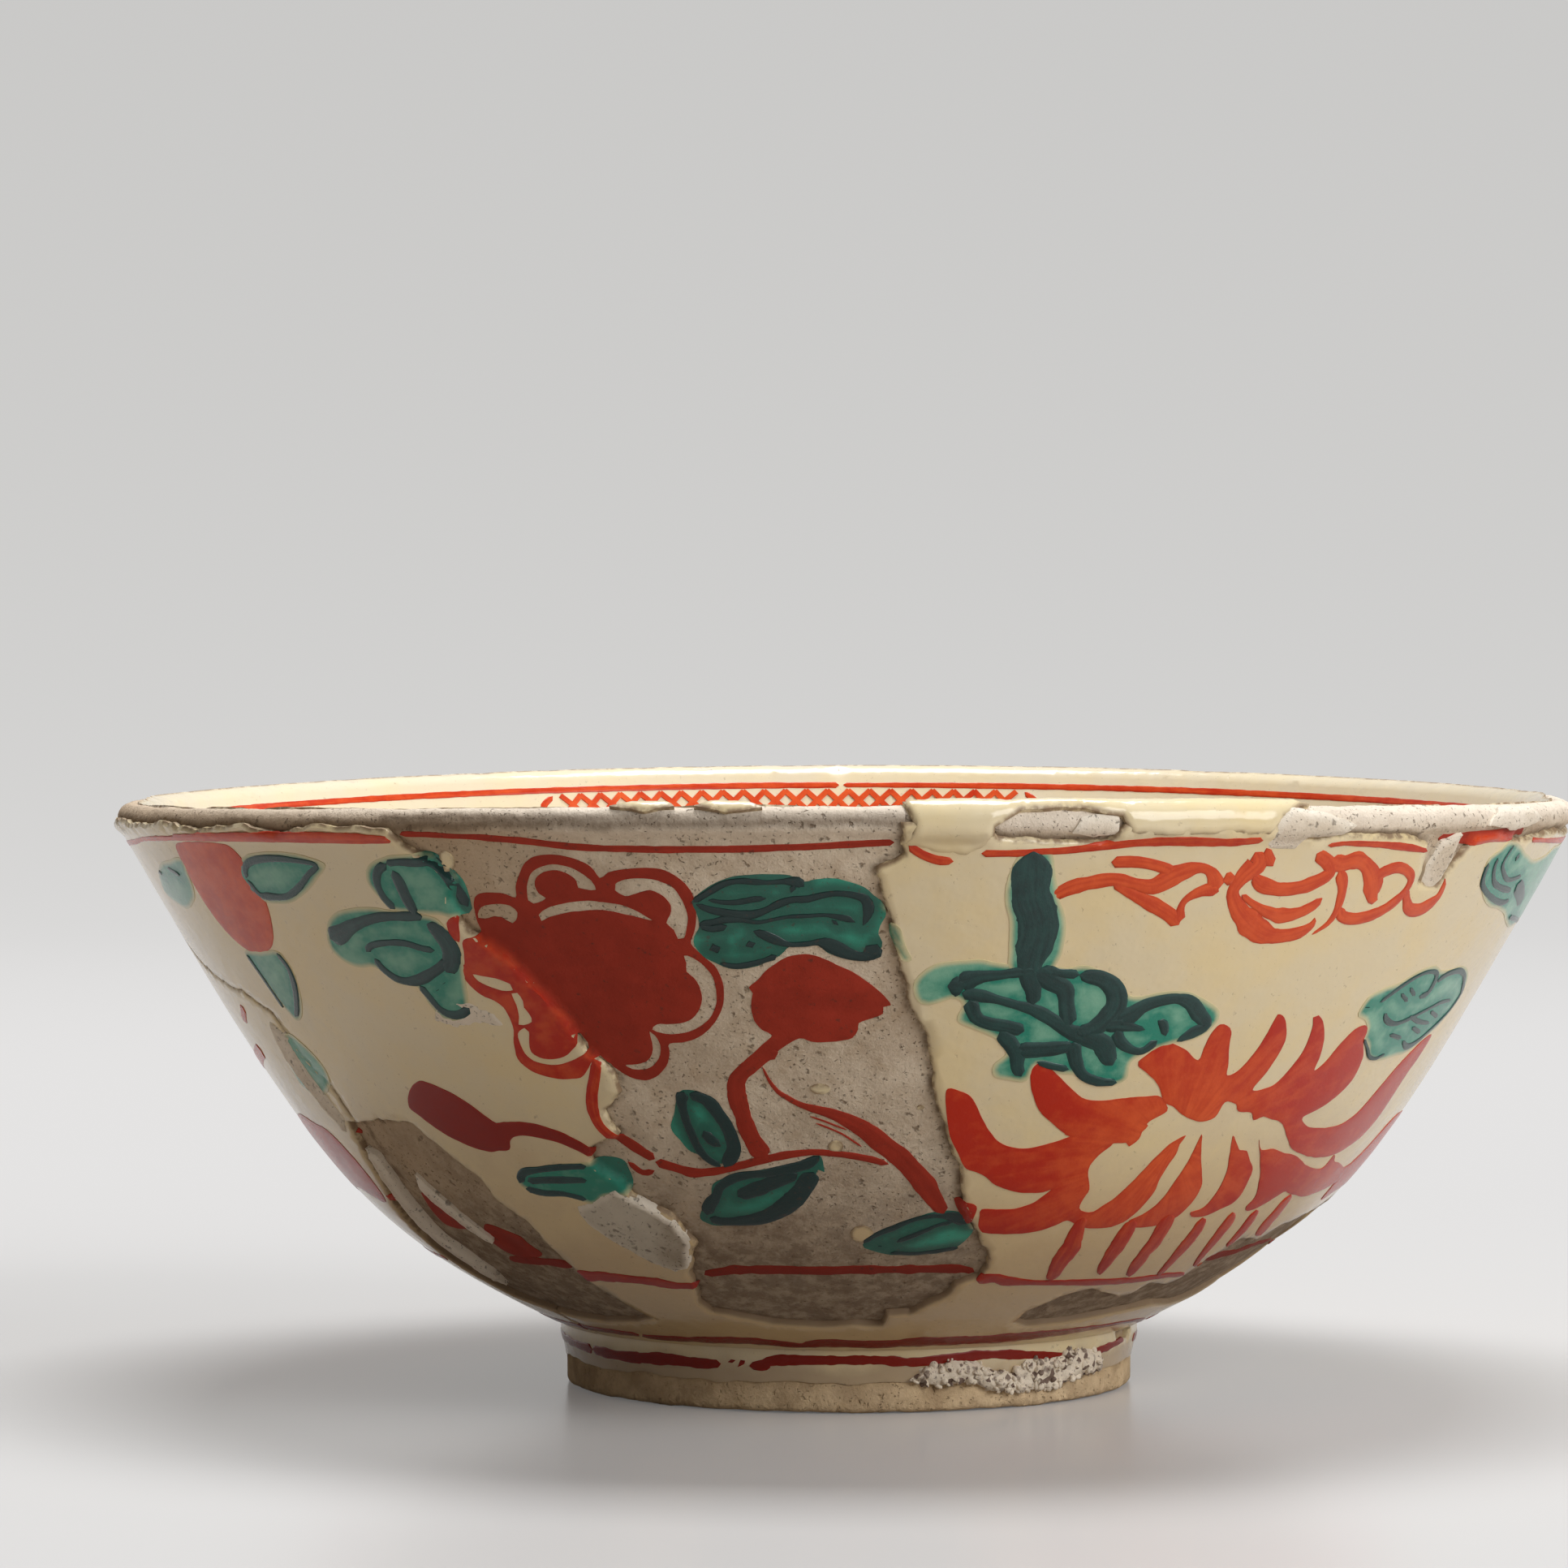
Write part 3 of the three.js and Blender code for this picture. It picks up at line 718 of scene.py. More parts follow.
@dataclass
class Growth:
    """A Geometry Nodes tree with named sizes, which repeats a shape over a mesh."""

    name: str
    sizes: dict[str, float | int]

    def grow(self, mesh: bpy.types.Mesh, repeat: Callable[[Nodes, bpy.types.Node], Out],
             material: bpy.types.Material) -> bpy.types.Mesh:
        """Builds the tree and runs it on a mesh.

        Args:
            mesh: What goes into the tree.
            repeat: Adds the nodes between the tree's inputs and the instances, and gives the instances.
            material: What the result is made of.

        Returns:
            The result as a plain mesh.
        """
        tree = bpy.data.node_groups.new(self.name, "GeometryNodeTree")
        kinds = {name: "Int" if isinstance(size, int) else "Float" for name, size in self.sizes.items()}
        for name, kind in {"Geometry": "Geometry", **kinds}.items():
            tree.interface.new_socket(name, in_out="INPUT", socket_type="NodeSocket" + kind)
        tree.interface.new_socket("Geometry", in_out="OUTPUT", socket_type="NodeSocketGeometry")
        nodes = Nodes(tree)
        start, end = nodes.add("NodeGroupInput"), nodes.add("NodeGroupOutput")
        real = nodes.add("GeometryNodeRealizeInstances", {"Geometry": repeat(nodes, start)})
        dressed = nodes.add("GeometryNodeSetMaterial", {"Geometry": real.outputs[0], "Material": material})
        nodes.feed(end.inputs["Geometry"], dressed.outputs[0])
        holder = link(self.name, mesh)
        modifier = holder.modifiers.new(self.name, "NODES")
        modifier.node_group = tree
        for item in tree.interface.items_tree:
            if item.in_out == "INPUT" and item.name in self.sizes:
                modifier[item.identifier] = self.sizes[item.name]
        ready = holder.evaluated_get(bpy.context.evaluated_depsgraph_get())
        grown = bpy.data.meshes.new_from_object(ready)
        bpy.data.objects.remove(holder)
        return grown


def grain_group() -> bpy.types.NodeTree:
    """A group for the pits, grains and clouds of fired clay, which several finishes use."""
    tree = bpy.data.node_groups.new("fired_grain", "ShaderNodeTree")
    for way, sockets in (("INPUT", {"Place": "Vector", "Pits": "Float"}),
                         ("OUTPUT", {"Cloud": "Float", "Grain": "Float", "Pit": "Float"})):
        for socket, kind in sockets.items():
            tree.interface.new_socket(socket, in_out=way, socket_type="NodeSocket" + kind)
    nodes = Nodes(tree)
    start, end = nodes.add("NodeGroupInput"), nodes.add("NodeGroupOutput")
    place = start.outputs["Place"]
    stir = nodes.add("TexNoise", {"Vector": place, "Scale": 1.3 / MM, "Detail": 3.0}).outputs["Color"]
    stirred = {0: stir, 1: (1.6 * MM,) * 3, 2: place}
    uneven = nodes.add("VectorMath", stirred, operation="MULTIPLY_ADD").outputs[0]
    pits = []
    for per_mm, share in ((0.5, 1.0), (1.5, 1.15)):
        cells = nodes.add("TexVoronoi", {"Vector": uneven, "Scale": per_mm / MM, "Randomness": 1.0})
        size = nodes.times(nodes.noise(place, Clouds(0.2 * per_mm, 2)), start.outputs["Pits"])
        gap = nodes.math("SUBTRACT", cells.outputs["Distance"], nodes.times(size, share))
        pits.append(nodes.fade(gap, Fade(-0.08, 0.08, 1.0, 0.0)))
    nodes.feed(end.inputs["Pit"], nodes.math("MAXIMUM", *pits))
    nodes.feed(end.inputs["Grain"], nodes.noise(place, Clouds(2.4, 4, 0.7)))
    nodes.feed(end.inputs["Cloud"], nodes.noise(place, Clouds(0.09, 5, 0.6)))
    return tree


class Finish:
    """What all finishes share: a material with a Principled shader, fired clay's grain, and stain and painted shade low
    down.
    """

    grain: bpy.types.NodeTree | None = None
    # Stain and painted shade low on the bowl: how far a noise strays it, where it fades out going up, and where it
    # starts above the foot.
    low_stain_and_shade_stray = 30.0
    low_stain_and_shade_fall = Fade(33.0, 60.0, 0.85, 0.0)
    low_stain_and_shade_start = Fade(7.5, 10.0)

    def begin(self, name: str) -> tuple[bpy.types.Material, Nodes, bpy.types.Node, Out]:
        """A new material.

        Args:
            name: The material's name.

        Returns:
            The material, its nodes, its shader and the place of each point.
        """
        material = bpy.data.materials.new(name)
        material.use_nodes = True
        nodes = Nodes(material.node_tree)
        shader = material.node_tree.nodes["Principled BSDF"]
        return material, nodes, shader, nodes.add("TexCoord").outputs["Object"]

    def fired(self, nodes: Nodes, place: Out, pits: float) -> list[Out]:
        """The clouds, grain and pits of the shared group, placed in a material."""
        if Finish.grain is None:
            Finish.grain = grain_group()
        return list(nodes.add("Group", {"Place": place, "Pits": pits}, node_tree=Finish.grain).outputs)

    def low_stain_and_shade(self, nodes: Nodes, place: Out, stray: Out) -> Out:
        """Rises from 0 to its most towards the foot, strayed by a noise, and ends on the foot's side: stain, and
        painted shade.
        """
        height = nodes.math("MULTIPLY_ADD", stray, self.low_stain_and_shade_stray * MM, nodes.axis(place, "Z"))
        start = nodes.fade(nodes.axis(place, "Z"), self.low_stain_and_shade_start, MM)
        return nodes.times(nodes.fade(height, self.low_stain_and_shade_fall, MM), start)

    def bump(self, nodes: Nodes, height: Out, strength: float, depth_mm: float) -> Out:
        """A normal from a height."""
        inputs = {"Height": height, "Strength": strength, "Distance": depth_mm * MM}
        return nodes.add("Bump", inputs).outputs[0]


@dataclass(frozen=True)
class BiscuitFinish(Finish):
    """Bare fired clay: grey-buff, pitted, browned by the kiln, and darkened towards the foot by soot and by painted
    shade.

    The mesh says how far each point is from the glaze's edge, along which the clay is darkened by dirt and by painted
    shade in the crevice.
    """

    pale: Colour = (0.76, 0.65, 0.51)
    deep: Colour = (0.54, 0.43, 0.315)
    grains: Colour = (0.78, 0.71, 0.60)
    crevice_dirt_and_shade: Colour = (0.14, 0.09, 0.05)
    # Kiln browning of the clay, also used for the painted shade on the left side.
    smoke_and_shade: Colour = (0.48, 0.345, 0.22)
    lip: Colour = (0.86, 0.77, 0.66)
    soot_and_shade: Colour = (0.19, 0.13, 0.085)
    ash_and_shade: Colour = (0.41, 0.32, 0.23)
    rust: Colour = (0.44, 0.30, 0.16)
    buff: Colour = (0.68, 0.50, 0.29)
    pits: float = 0.25
    pit_share: float = 0.65
    dirt_and_shade_share: float = 0.8
    roughness: float = 0.85
    gloss: float = 0.25
    cloudy: Fade = Fade(0.32, 0.66)
    grainy: Fade = Fade(0.35, 0.7, 0.0, 0.35)
    browned: Clouds = Clouds(0.3, 5, 0.7, Fade(0.5, 0.72, 0.0, 0.5))
    left_side_shade: Fade = Fade(-30.0, -52.0, 0.0, 0.75)
    left_shade_under_crest: Fade = Fade(82.4, 79.5)
    on_lip: Fade = Fade(77.0, 80.5, 0.0, 0.6)
    dirt_and_shade_clouds: Clouds = Clouds(0.5, 3, 0.55, Fade(0.35, 0.6))
    dirt_and_shade_near_lip: Fade = Fade(75.0, 78.0, 0.0, 0.9)
    clean_crest: Fade = Fade(80.5, 82.3, 1.0, 0.2)
    dirt_and_shade_reach: Fade = Fade(0.0, 1.3, 1.0, 0.0)
    soot_and_shade_clouds: Clouds = Clouds(0.45, 5, 0.7, Fade(0.4, 0.64))
    soot_and_shade_stray: Clouds = Clouds(0.15, 4)
    rusted: Clouds = Clouds(0.25, 4, 0.55, Fade(0.35, 0.65))
    on_foot: Fade = Fade(7.0, 9.0, 0.85, 0.0)
    swell: Clouds = Clouds(0.9, 4, 0.6)
    grain_height: float = 0.6
    bumps: tuple[float, float] = (0.9, 0.25)

    def material(self) -> bpy.types.Material:
        """Makes the material."""
        material, nodes, shader, place = self.begin("bare_biscuit")
        cloud, grain, pit = self.fired(nodes, place, self.pits)
        left, high = nodes.axis(place, "X"), nodes.axis(place, "Z")
        base = nodes.blend(nodes.fade(cloud, self.cloudy), self.deep, self.pale)
        base = nodes.blend(nodes.fade(grain, self.grainy), base, self.grains)
        base = nodes.blend(nodes.clouds(place, self.browned), base, self.smoke_and_shade)
        # Paler on the lip: worn clay, and also painted light where its top faces the overhead lamp.
        base = nodes.blend(nodes.fade(high, self.on_lip, MM), base, self.lip)
        # The left side below the crest is made browner: a stain under the lip, and painted shade for the side turned
        # from the key light.
        left_shade = nodes.times(nodes.fade(left, self.left_side_shade, MM), nodes.fade(high, self.left_shade_under_crest, MM))
        base = nodes.blend(left_shade, base, self.smoke_and_shade)
        # Dirt, and painted shade, just beside the glaze's edges and near the lip, where the raised glaze and the lip
        # leave a crevice.
        dirt_and_shade = nodes.math("MAXIMUM", nodes.clouds(place, self.dirt_and_shade_clouds), nodes.fade(high, self.dirt_and_shade_near_lip, MM))
        dirt_and_shade = nodes.times(dirt_and_shade, nodes.fade(nodes.value("edge"), self.dirt_and_shade_reach))
        dirt_and_shade = nodes.times(dirt_and_shade, nodes.fade(high, self.clean_crest, MM))
        base = nodes.blend(nodes.times(dirt_and_shade, self.dirt_and_shade_share), base, self.crevice_dirt_and_shade)
        base = nodes.blend(nodes.times(pit, self.pit_share), base, self.crevice_dirt_and_shade)
        # Soot towards the foot, which also paints the shade on the lower wall that faces the floor.
        soot_and_shade = nodes.blend(nodes.clouds(place, self.soot_and_shade_clouds), self.soot_and_shade, self.ash_and_shade)
        base = nodes.blend(self.low_stain_and_shade(nodes, place, nodes.noise(place, self.soot_and_shade_stray)), base, soot_and_shade)
        foot = nodes.blend(nodes.clouds(place, self.rusted), self.rust, self.buff)
        base = nodes.blend(nodes.fade(high, self.on_foot, MM), base, foot)
        nodes.feed(shader.inputs["Base Color"], base)
        shader.inputs["Roughness"].default_value = self.roughness
        shader.inputs["Specular IOR Level"].default_value = self.gloss
        height = nodes.math("SUBTRACT", nodes.times(grain, self.grain_height), pit)
        height = nodes.math("ADD", height, nodes.noise(place, self.swell))
        nodes.feed(shader.inputs["Normal"], self.bump(nodes, height, *self.bumps))
        return material


@dataclass(frozen=True)
class GlazeFinish(Finish):
    """Ivory glaze, cloudy and specked, browner towards the foot and brown where it is broken, both partly painted
    shade.
    """

    name: str = "ivory_glaze"
    ivory: Colour = (0.80, 0.655, 0.375)
    grey: Colour = (0.77, 0.66, 0.44)
    toasted_and_shaded: Colour = (0.62, 0.44, 0.22)
    broken: Colour = (0.28, 0.19, 0.11)
    worn: Colour = (0.44, 0.32, 0.20)
    pits: float = 0.12
    pit_share: float = 0.5
    roughness: float = 0.13
    broken_roughness: float = 0.5
    grain_roughness: float = 0.05
    cloudy: Fade = Fade(0.35, 0.7)
    wear_lumps: Clouds = Clouds(0.14, 4)
    wear_stray: float = -5.0
    worn_foot: Fade = Fade(2.4, 5.6, 0.85, 0.0)
    brown_reach: Fade = Fade(0.02, 0.55, 1.0, 0.0)
    brown: Clouds = Clouds(0.7, 3, 0.55, Fade(0.3, 0.6))
    all_brown: Fade = Fade(26.0, 20.0)
    waves: Clouds = Clouds(0.35, 2)
    pit_height: float = -0.3
    bumps: tuple[float, float] = (0.35, 0.25)

    def material(self) -> bpy.types.Material:
        """Makes the material."""
        material, nodes, shader, place = self.begin(self.name)
        cloud, grain, pit = self.fired(nodes, place, self.pits)
        high = nodes.axis(place, "Z")
        base = nodes.blend(nodes.fade(cloud, self.cloudy), self.grey, self.ivory)
        # Toasted towards the foot, which also paints the shade on the lower wall.
        base = nodes.blend(self.low_stain_and_shade(nodes, place, cloud), base, self.toasted_and_shaded)
        wear = nodes.math("MULTIPLY_ADD", nodes.noise(place, self.wear_lumps), self.wear_stray * MM, high)
        base = nodes.blend(nodes.fade(wear, self.worn_foot, MM), base, self.worn)
        base = nodes.blend(nodes.times(pit, self.pit_share), base, self.broken)
        # Brown along the broken edges, and on every edge low down: dirt in the cracks, and also painted shade at the
        # foot of each edge.
        brown = nodes.math("MAXIMUM", nodes.clouds(place, self.brown), nodes.fade(high, self.all_brown, MM))
        edge = nodes.times(nodes.fade(nodes.value("edge"), self.brown_reach), brown)
        nodes.feed(shader.inputs["Base Color"], nodes.blend(edge, base, self.broken))
        rough = nodes.math("MULTIPLY_ADD", edge, self.broken_roughness, self.roughness)
        rough = nodes.math("MULTIPLY_ADD", grain, self.grain_roughness, rough)
        nodes.feed(shader.inputs["Roughness"], rough)
        wave = nodes.math("ADD", nodes.noise(place, self.waves), nodes.times(pit, self.pit_height))
        nodes.feed(shader.inputs["Normal"], self.bump(nodes, wave, *self.bumps))
        return material


@dataclass(frozen=True)
class FlakeFinish(Finish):
    """The chalky face of a flake that has come off the glaze, pale along its edge."""

    name: str = "chalky_flake"
    pale: Colour = (0.62, 0.56, 0.46)
    deep: Colour = (0.36, 0.29, 0.21)
    lip: Colour = (0.86, 0.78, 0.66)
    pitted: Colour = (0.1, 0.07, 0.045)
    pits: float = 0.3
    pit_share: float = 0.6
    roughness: float = 0.7
    cloudy: Fade = Fade(0.35, 0.65)
    lip_reach: Fade = Fade(0.3, 1.3, 0.8, 0.0)
    bumps: tuple[float, float] = (0.7, 0.25)

    def material(self) -> bpy.types.Material:
        """Makes the material."""
        material, nodes, shader, place = self.begin(self.name)
        cloud, grain, pit = self.fired(nodes, place, self.pits)
        base = nodes.blend(nodes.fade(cloud, self.cloudy), self.deep, self.pale)
        base = nodes.blend(nodes.fade(nodes.value("edge"), self.lip_reach), base, self.lip)
        base = nodes.blend(nodes.times(pit, self.pit_share), base, self.pitted)
        nodes.feed(shader.inputs["Base Color"], base)
        shader.inputs["Roughness"].default_value = self.roughness
        height = nodes.math("SUBTRACT", grain, pit)
        nodes.feed(shader.inputs["Normal"], self.bump(nodes, height, *self.bumps))
        return material


@dataclass(frozen=True)
class GritFinish(Finish):
    """Kiln grit: white, grey and black sand melted together."""

    light: Colour = (0.80, 0.70, 0.56)
    dark: Colour = (0.17, 0.11, 0.08)
    grains_per_mm: float = 1.3
    speckled: Fade = Fade(0.1, 0.24)
    pits: float = 0.4
    pit_share: float = 0.7
    roughness: float = 0.55
    bumps: tuple[float, float] = (0.6, 0.3)

    def material(self) -> bpy.types.Material:
        """Makes the material."""
        material, nodes, shader, place = self.begin("kiln_grit")
        _, grain, pit = self.fired(nodes, place, self.pits)
        cells = nodes.add("TexVoronoi", {"Vector": place, "Scale": self.grains_per_mm / MM})
        shade = nodes.add("SeparateColor", {"Color": cells.outputs["Color"]}).outputs[0]
        base = nodes.blend(nodes.fade(shade, self.speckled), self.dark, self.light)
        base = nodes.blend(nodes.times(pit, self.pit_share), base, self.dark)
        nodes.feed(shader.inputs["Base Color"], base)
        shader.inputs["Roughness"].default_value = self.roughness
        nodes.feed(shader.inputs["Normal"], self.bump(nodes, grain, *self.bumps))
        return material


@dataclass
class Glazing:
    """Where the glaze still covers the clay, and how thick it lies.

    Outlines are in degrees and percent of the wall, the foot's in degrees and millimetres.
    """

    seat: float = 0.3
    thickness: float = 0.6
    edge_share: float = 0.62
    edge_round: float = 0.4
    paint_lift: float = 0.09
    paint_reach: float = 0.45
    ledge_run: float = 0.45
    ledge_stray: float = 0.12
    crack_gap: float = 0.12
    front_window: Outline = (
        (-36, 98), (-34.8, 94), (-33, 92.5), (-31.2, 89), (-32.4, 85.5), (-31.5, 81.5), (-28.6, 77.5),
        (-25.6, 70), (-24.6, 67), (-23.8, 63), (-21.6, 60), (-21.4, 56.5), (-23.8, 53.5), (-23, 50),
        (-26.3, 48), (-26.6, 44.5), (-24.5, 42.8), (-23, 38.8), (-20, 36), (-18, 30.5), (-20.2, 24.4),
        (-21.6, 16), (-21, 13.6), (-17.6, 12.4), (-12.5, 10.2), (-5, 9.4), (0, 10.2), (4.6, 9.8), (5, 13.2),
        (8.4, 13.6), (10.6, 16.6), (12.6, 18.6), (13.2, 21.4), (16, 23.4), (16.4, 27.6), (14.2, 32.2),
        (11.6, 38.6), (10.4, 45), (8.8, 50.4), (7.2, 58), (6.2, 66), (4.4, 71.6), (3.6, 79), (2.6, 85),
        (1.8, 90.6), (3.8, 92.4), (3.2, 98))
    left_window: Outline = (
        (-60, 49.4), (-57, 49.6), (-53, 50.8), (-48, 50), (-45.2, 46), (-42.6, 41.6), (-41.6, 37.6),
        (-39.2, 33), (-38.6, 28.4), (-38, 23.6), (-36, 17.8), (-34.4, 12.4), (-33, 10.4), (-38, 8.6),
        (-46, 7.4), (-55, 8), (-66, 12), (-69, 21), (-67, 31), (-63, 38), (-61.6, 44))
    right_window: Outline = (
        (27, 13.4), (30, 17), (34, 18.8), (38, 17.4), (41, 15.8), (43.4, 16.2), (45, 19.2), (49, 18),
        (51, 19.6), (52, 24.6), (55, 28.4), (60, 27.4), (63, 30), (70, 31.4), (78, 34), (86, 30.6),
        (90, 22), (86, 14), (76, 10.4), (64, 10), (55, 11.4), (46, 10), (38, 8.4), (30, 8), (27, 9.6))
    left_crack: Outline = (
        (-92, 92), (-90, 86), (-82, 77), (-74, 72), (-66.5, 70), (-62.4, 67), (-61.4, 61), (-58.6, 55),
        (-58, 46), (-59, 30), (-57, 14), (-58, -6))
    back_crack: Outline = ((149, 90), (147, 70), (151, 52), (146, 36), (149, 20), (147, -6))
    front_lip: Outline = (
        (-92, 96.8), (-84, 96.2), (-76, 97.2), (-70, 96.6), (-64, 97.4), (-58, 96.2), (-52, 97.2),
        (-47, 96), (-42, 97), (-35, 96.6), (-24, 97), (-12, 97), (3, 97), (9.4, 96.8), (10.4, 94.8),
        (14, 94.3), (18.6, 94.5), (19.6, 97), (25, 97.3), (31.6, 97.3), (32.8, 95.2), (36, 94.8),
        (40, 95.4), (46, 94.6), (48.8, 93.6), (49.6, 88), (52.6, 87), (53.6, 90.4), (55, 94.4), (58, 95),
        (64, 93.6), (72, 95.2), (80, 94), (92, 95.4), (104, 94), (118, 95.6), (132, 94.6), (149, 95.2))
    back_lip: Outline = (
        (149, 95.2), (164, 95), (176, 96.8), (188, 95.4), (202, 96.8), (216, 95.6), (230, 97), (244, 95.6),
        (256, 96.6), (268, 95.8))
    scar: Outline = (
        (-30.8, 37.6), (-28.6, 38.6), (-25, 41.2), (-22.4, 38.4), (-19.6, 35.4), (-18.6, 31), (-20.4, 25.4),
        (-22.4, 24.6), (-25.6, 27), (-29, 31.2), (-30.8, 34.6))
    foot_bottom: float = -5.0
    foot_top: float = -0.25
    foot_thinning: float = 3.6
    foot_thinnest: float = 0.3
    foot_chips: tuple[Outline, ...] = (((64, 0.5), (66, -1.6), (73, -2), (76, 0.5)),)
    inside_lift: float = 0.6
    front: np.ndarray = field(init=False)
    back: np.ndarray = field(init=False)
    windows: list[np.ndarray] = field(init=False)
    foot_band: np.ndarray = field(init=False)
    chips: list[np.ndarray] = field(init=False)
    wall_map: Map = field(init=False)

    def __post_init__(self) -> None:
        """Breaks the edges and draws the map of the glazed wall."""
        lines = (self.left_crack, self.back_crack)
        left, right = (ragged(on_wall(line), 0.5, 11 + i, closed=False) for i, line in enumerate(lines))
        left, right = (line[line[:, 1] > self.ledge_run] for line in (left, right))
        lines = (self.front_lip, self.back_lip)
        tops = [ragged(on_wall(line), 0.45, 13 + i, closed=False) for i, line in enumerate(lines)]
        gap, shift = np.array((self.crack_gap, 0)), np.array((FULL_TURN, 0))
        self.front = np.vstack((left[::-1] + gap, tops[0], right - gap, self.ledge(right[-1, 0], left[-1, 0])))
        self.back = np.vstack((right[::-1] + gap, tops[1], left + shift - gap,
                               self.ledge(left[-1, 0] + FULL_TURN, right[-1, 0])))
        windows = (self.front_window, self.left_window, self.right_window)
        self.windows = [ragged(on_wall(outline), 0.55, 20 + i) for i, outline in enumerate(windows)]
        turns = np.linspace(-SEAM_TURN, SEAM_TURN, 541)
        ring = circle(turns, SKIN.foot_radius)
        low = pairs(turns, relief(ring, 71, (0.5, 8.0), (0.25, 2.5), base=self.foot_bottom))
        high = pairs(turns, relief(ring, 73, (0.12, 5.0), base=self.foot_top))
        side = pairs(SEAM_TURN, np.linspace(low[-1, 1], high[-1, 1], 7)[1:-1])
        self.foot_band = np.vstack((low, side, high[::-1], side[::-1] * (-1, 1)))
        self.chips = [ragged(np.array(chip, float), 0.25, 74 + i, 0.4) for i, chip in enumerate(self.foot_chips)]
        self.wall_map = Map(SKIN.marks["foot_side"], SKIN.marks["inside"])
        broken = (*self.windows, *self.chips)
        for outline in (self.front, self.back, self.foot_band):
            self.wall_map.fill(outline, True)
        for outline in broken:
            self.wall_map.fill(outline, False)
        for line in (self.front, self.back, *broken):
            self.wall_map.edge(dense(line, EDGE_SPACING))
        for line in (low, high):
            self.wall_map.edge(dense(line, EDGE_SPACING, False))

    def ledge(self, start: float, end: float) -> np.ndarray:
        """The glaze's lower edge from one turn to another, where it ran and stopped above the foot."""
        turns = np.linspace(start, end, int(abs(end - start) / 0.8))[1:-1]
        wave = relief(pairs(turns, 0.0), 5, (1.0, 6.0), (0.5, 2.0))
        return pairs(turns, self.ledge_run + self.ledge_stray * wave)

    def glazed(self, turns: np.ndarray, runs: np.ndarray) -> np.ndarray:
        """Signed distance to the glaze's edge, in millimetres, where the run is on the wall."""
        return self.wall_map.read(turns, runs)

    def clay_lift(self, turns: np.ndarray, runs: np.ndarray) -> np.ndarray:
        """How far the clay's broken surface strays, in millimetres."""
        return relief(SKIN.solid_place(turns, runs), 31, (0.1, 5.0), (0.07, 1.9), (0.04, 0.8))

    def glaze_lift(self, turns: np.ndarray, runs: np.ndarray, edge: np.ndarray) -> np.ndarray:
        """How far the glaze's face is off the clay: full inside, lower at its edge and down the foot."""
        sway = relief(SKIN.solid_place(turns, runs), 41, (0.06, 14.0), (0.025, 4.0))
        rounded = self.edge_share + (1 - self.edge_share) * smoothstep(edge, 0.0, self.edge_round)
        lift = (self.seat + self.thickness) * rounded + sway * smoothstep(edge, 0, 1.5)
        down = smoothstep(runs, self.foot_bottom, self.foot_bottom + self.foot_thinning)
        thinning = self.foot_thinnest + (1 - self.foot_thinnest) * down
        return np.where(runs < 0, lift * thinning, lift)

    def face(self, turns: np.ndarray, runs: np.ndarray) -> tuple[np.ndarray, np.ndarray]:
        """The outermost surface, on which the paint lies.

        Args:
            turns: Degrees from the front.
            runs: Millimetres up the wall.

        Returns:
            How far it is off the clay, and how much of it is glaze, from 0 to 1.
        """
        edge = self.glazed(turns, runs)
        share = smoothstep(edge, -0.4, -0.08)
        lift = share * self.glaze_lift(turns, runs, edge) + (1 - share) * self.clay_lift(turns, runs)
        lift = lift + self.paint_lift * np.exp(-(edge / self.paint_reach) ** 2)
        inside = runs > SKIN.marks["inside"]
        return np.where(inside, self.inside_face(turns, runs), lift), np.where(inside, 1.0, share)

    def inside_face(self, turns: np.ndarray, runs: np.ndarray) -> np.ndarray:
        """How far the inside's glaze is off the clay, in millimetres, even at the seam and the middle."""
        sway = relief(SKIN.solid_place(turns, runs), 64, (0.05, 16.0), (0.02, 5.0))
        calm = smoothstep(SEAM_TURN - np.abs(turns), 0, 3)
        return self.inside_lift + sway * calm * smoothstep(SKIN.at(runs)[0], 2, 10)


GLAZING = Glazing()


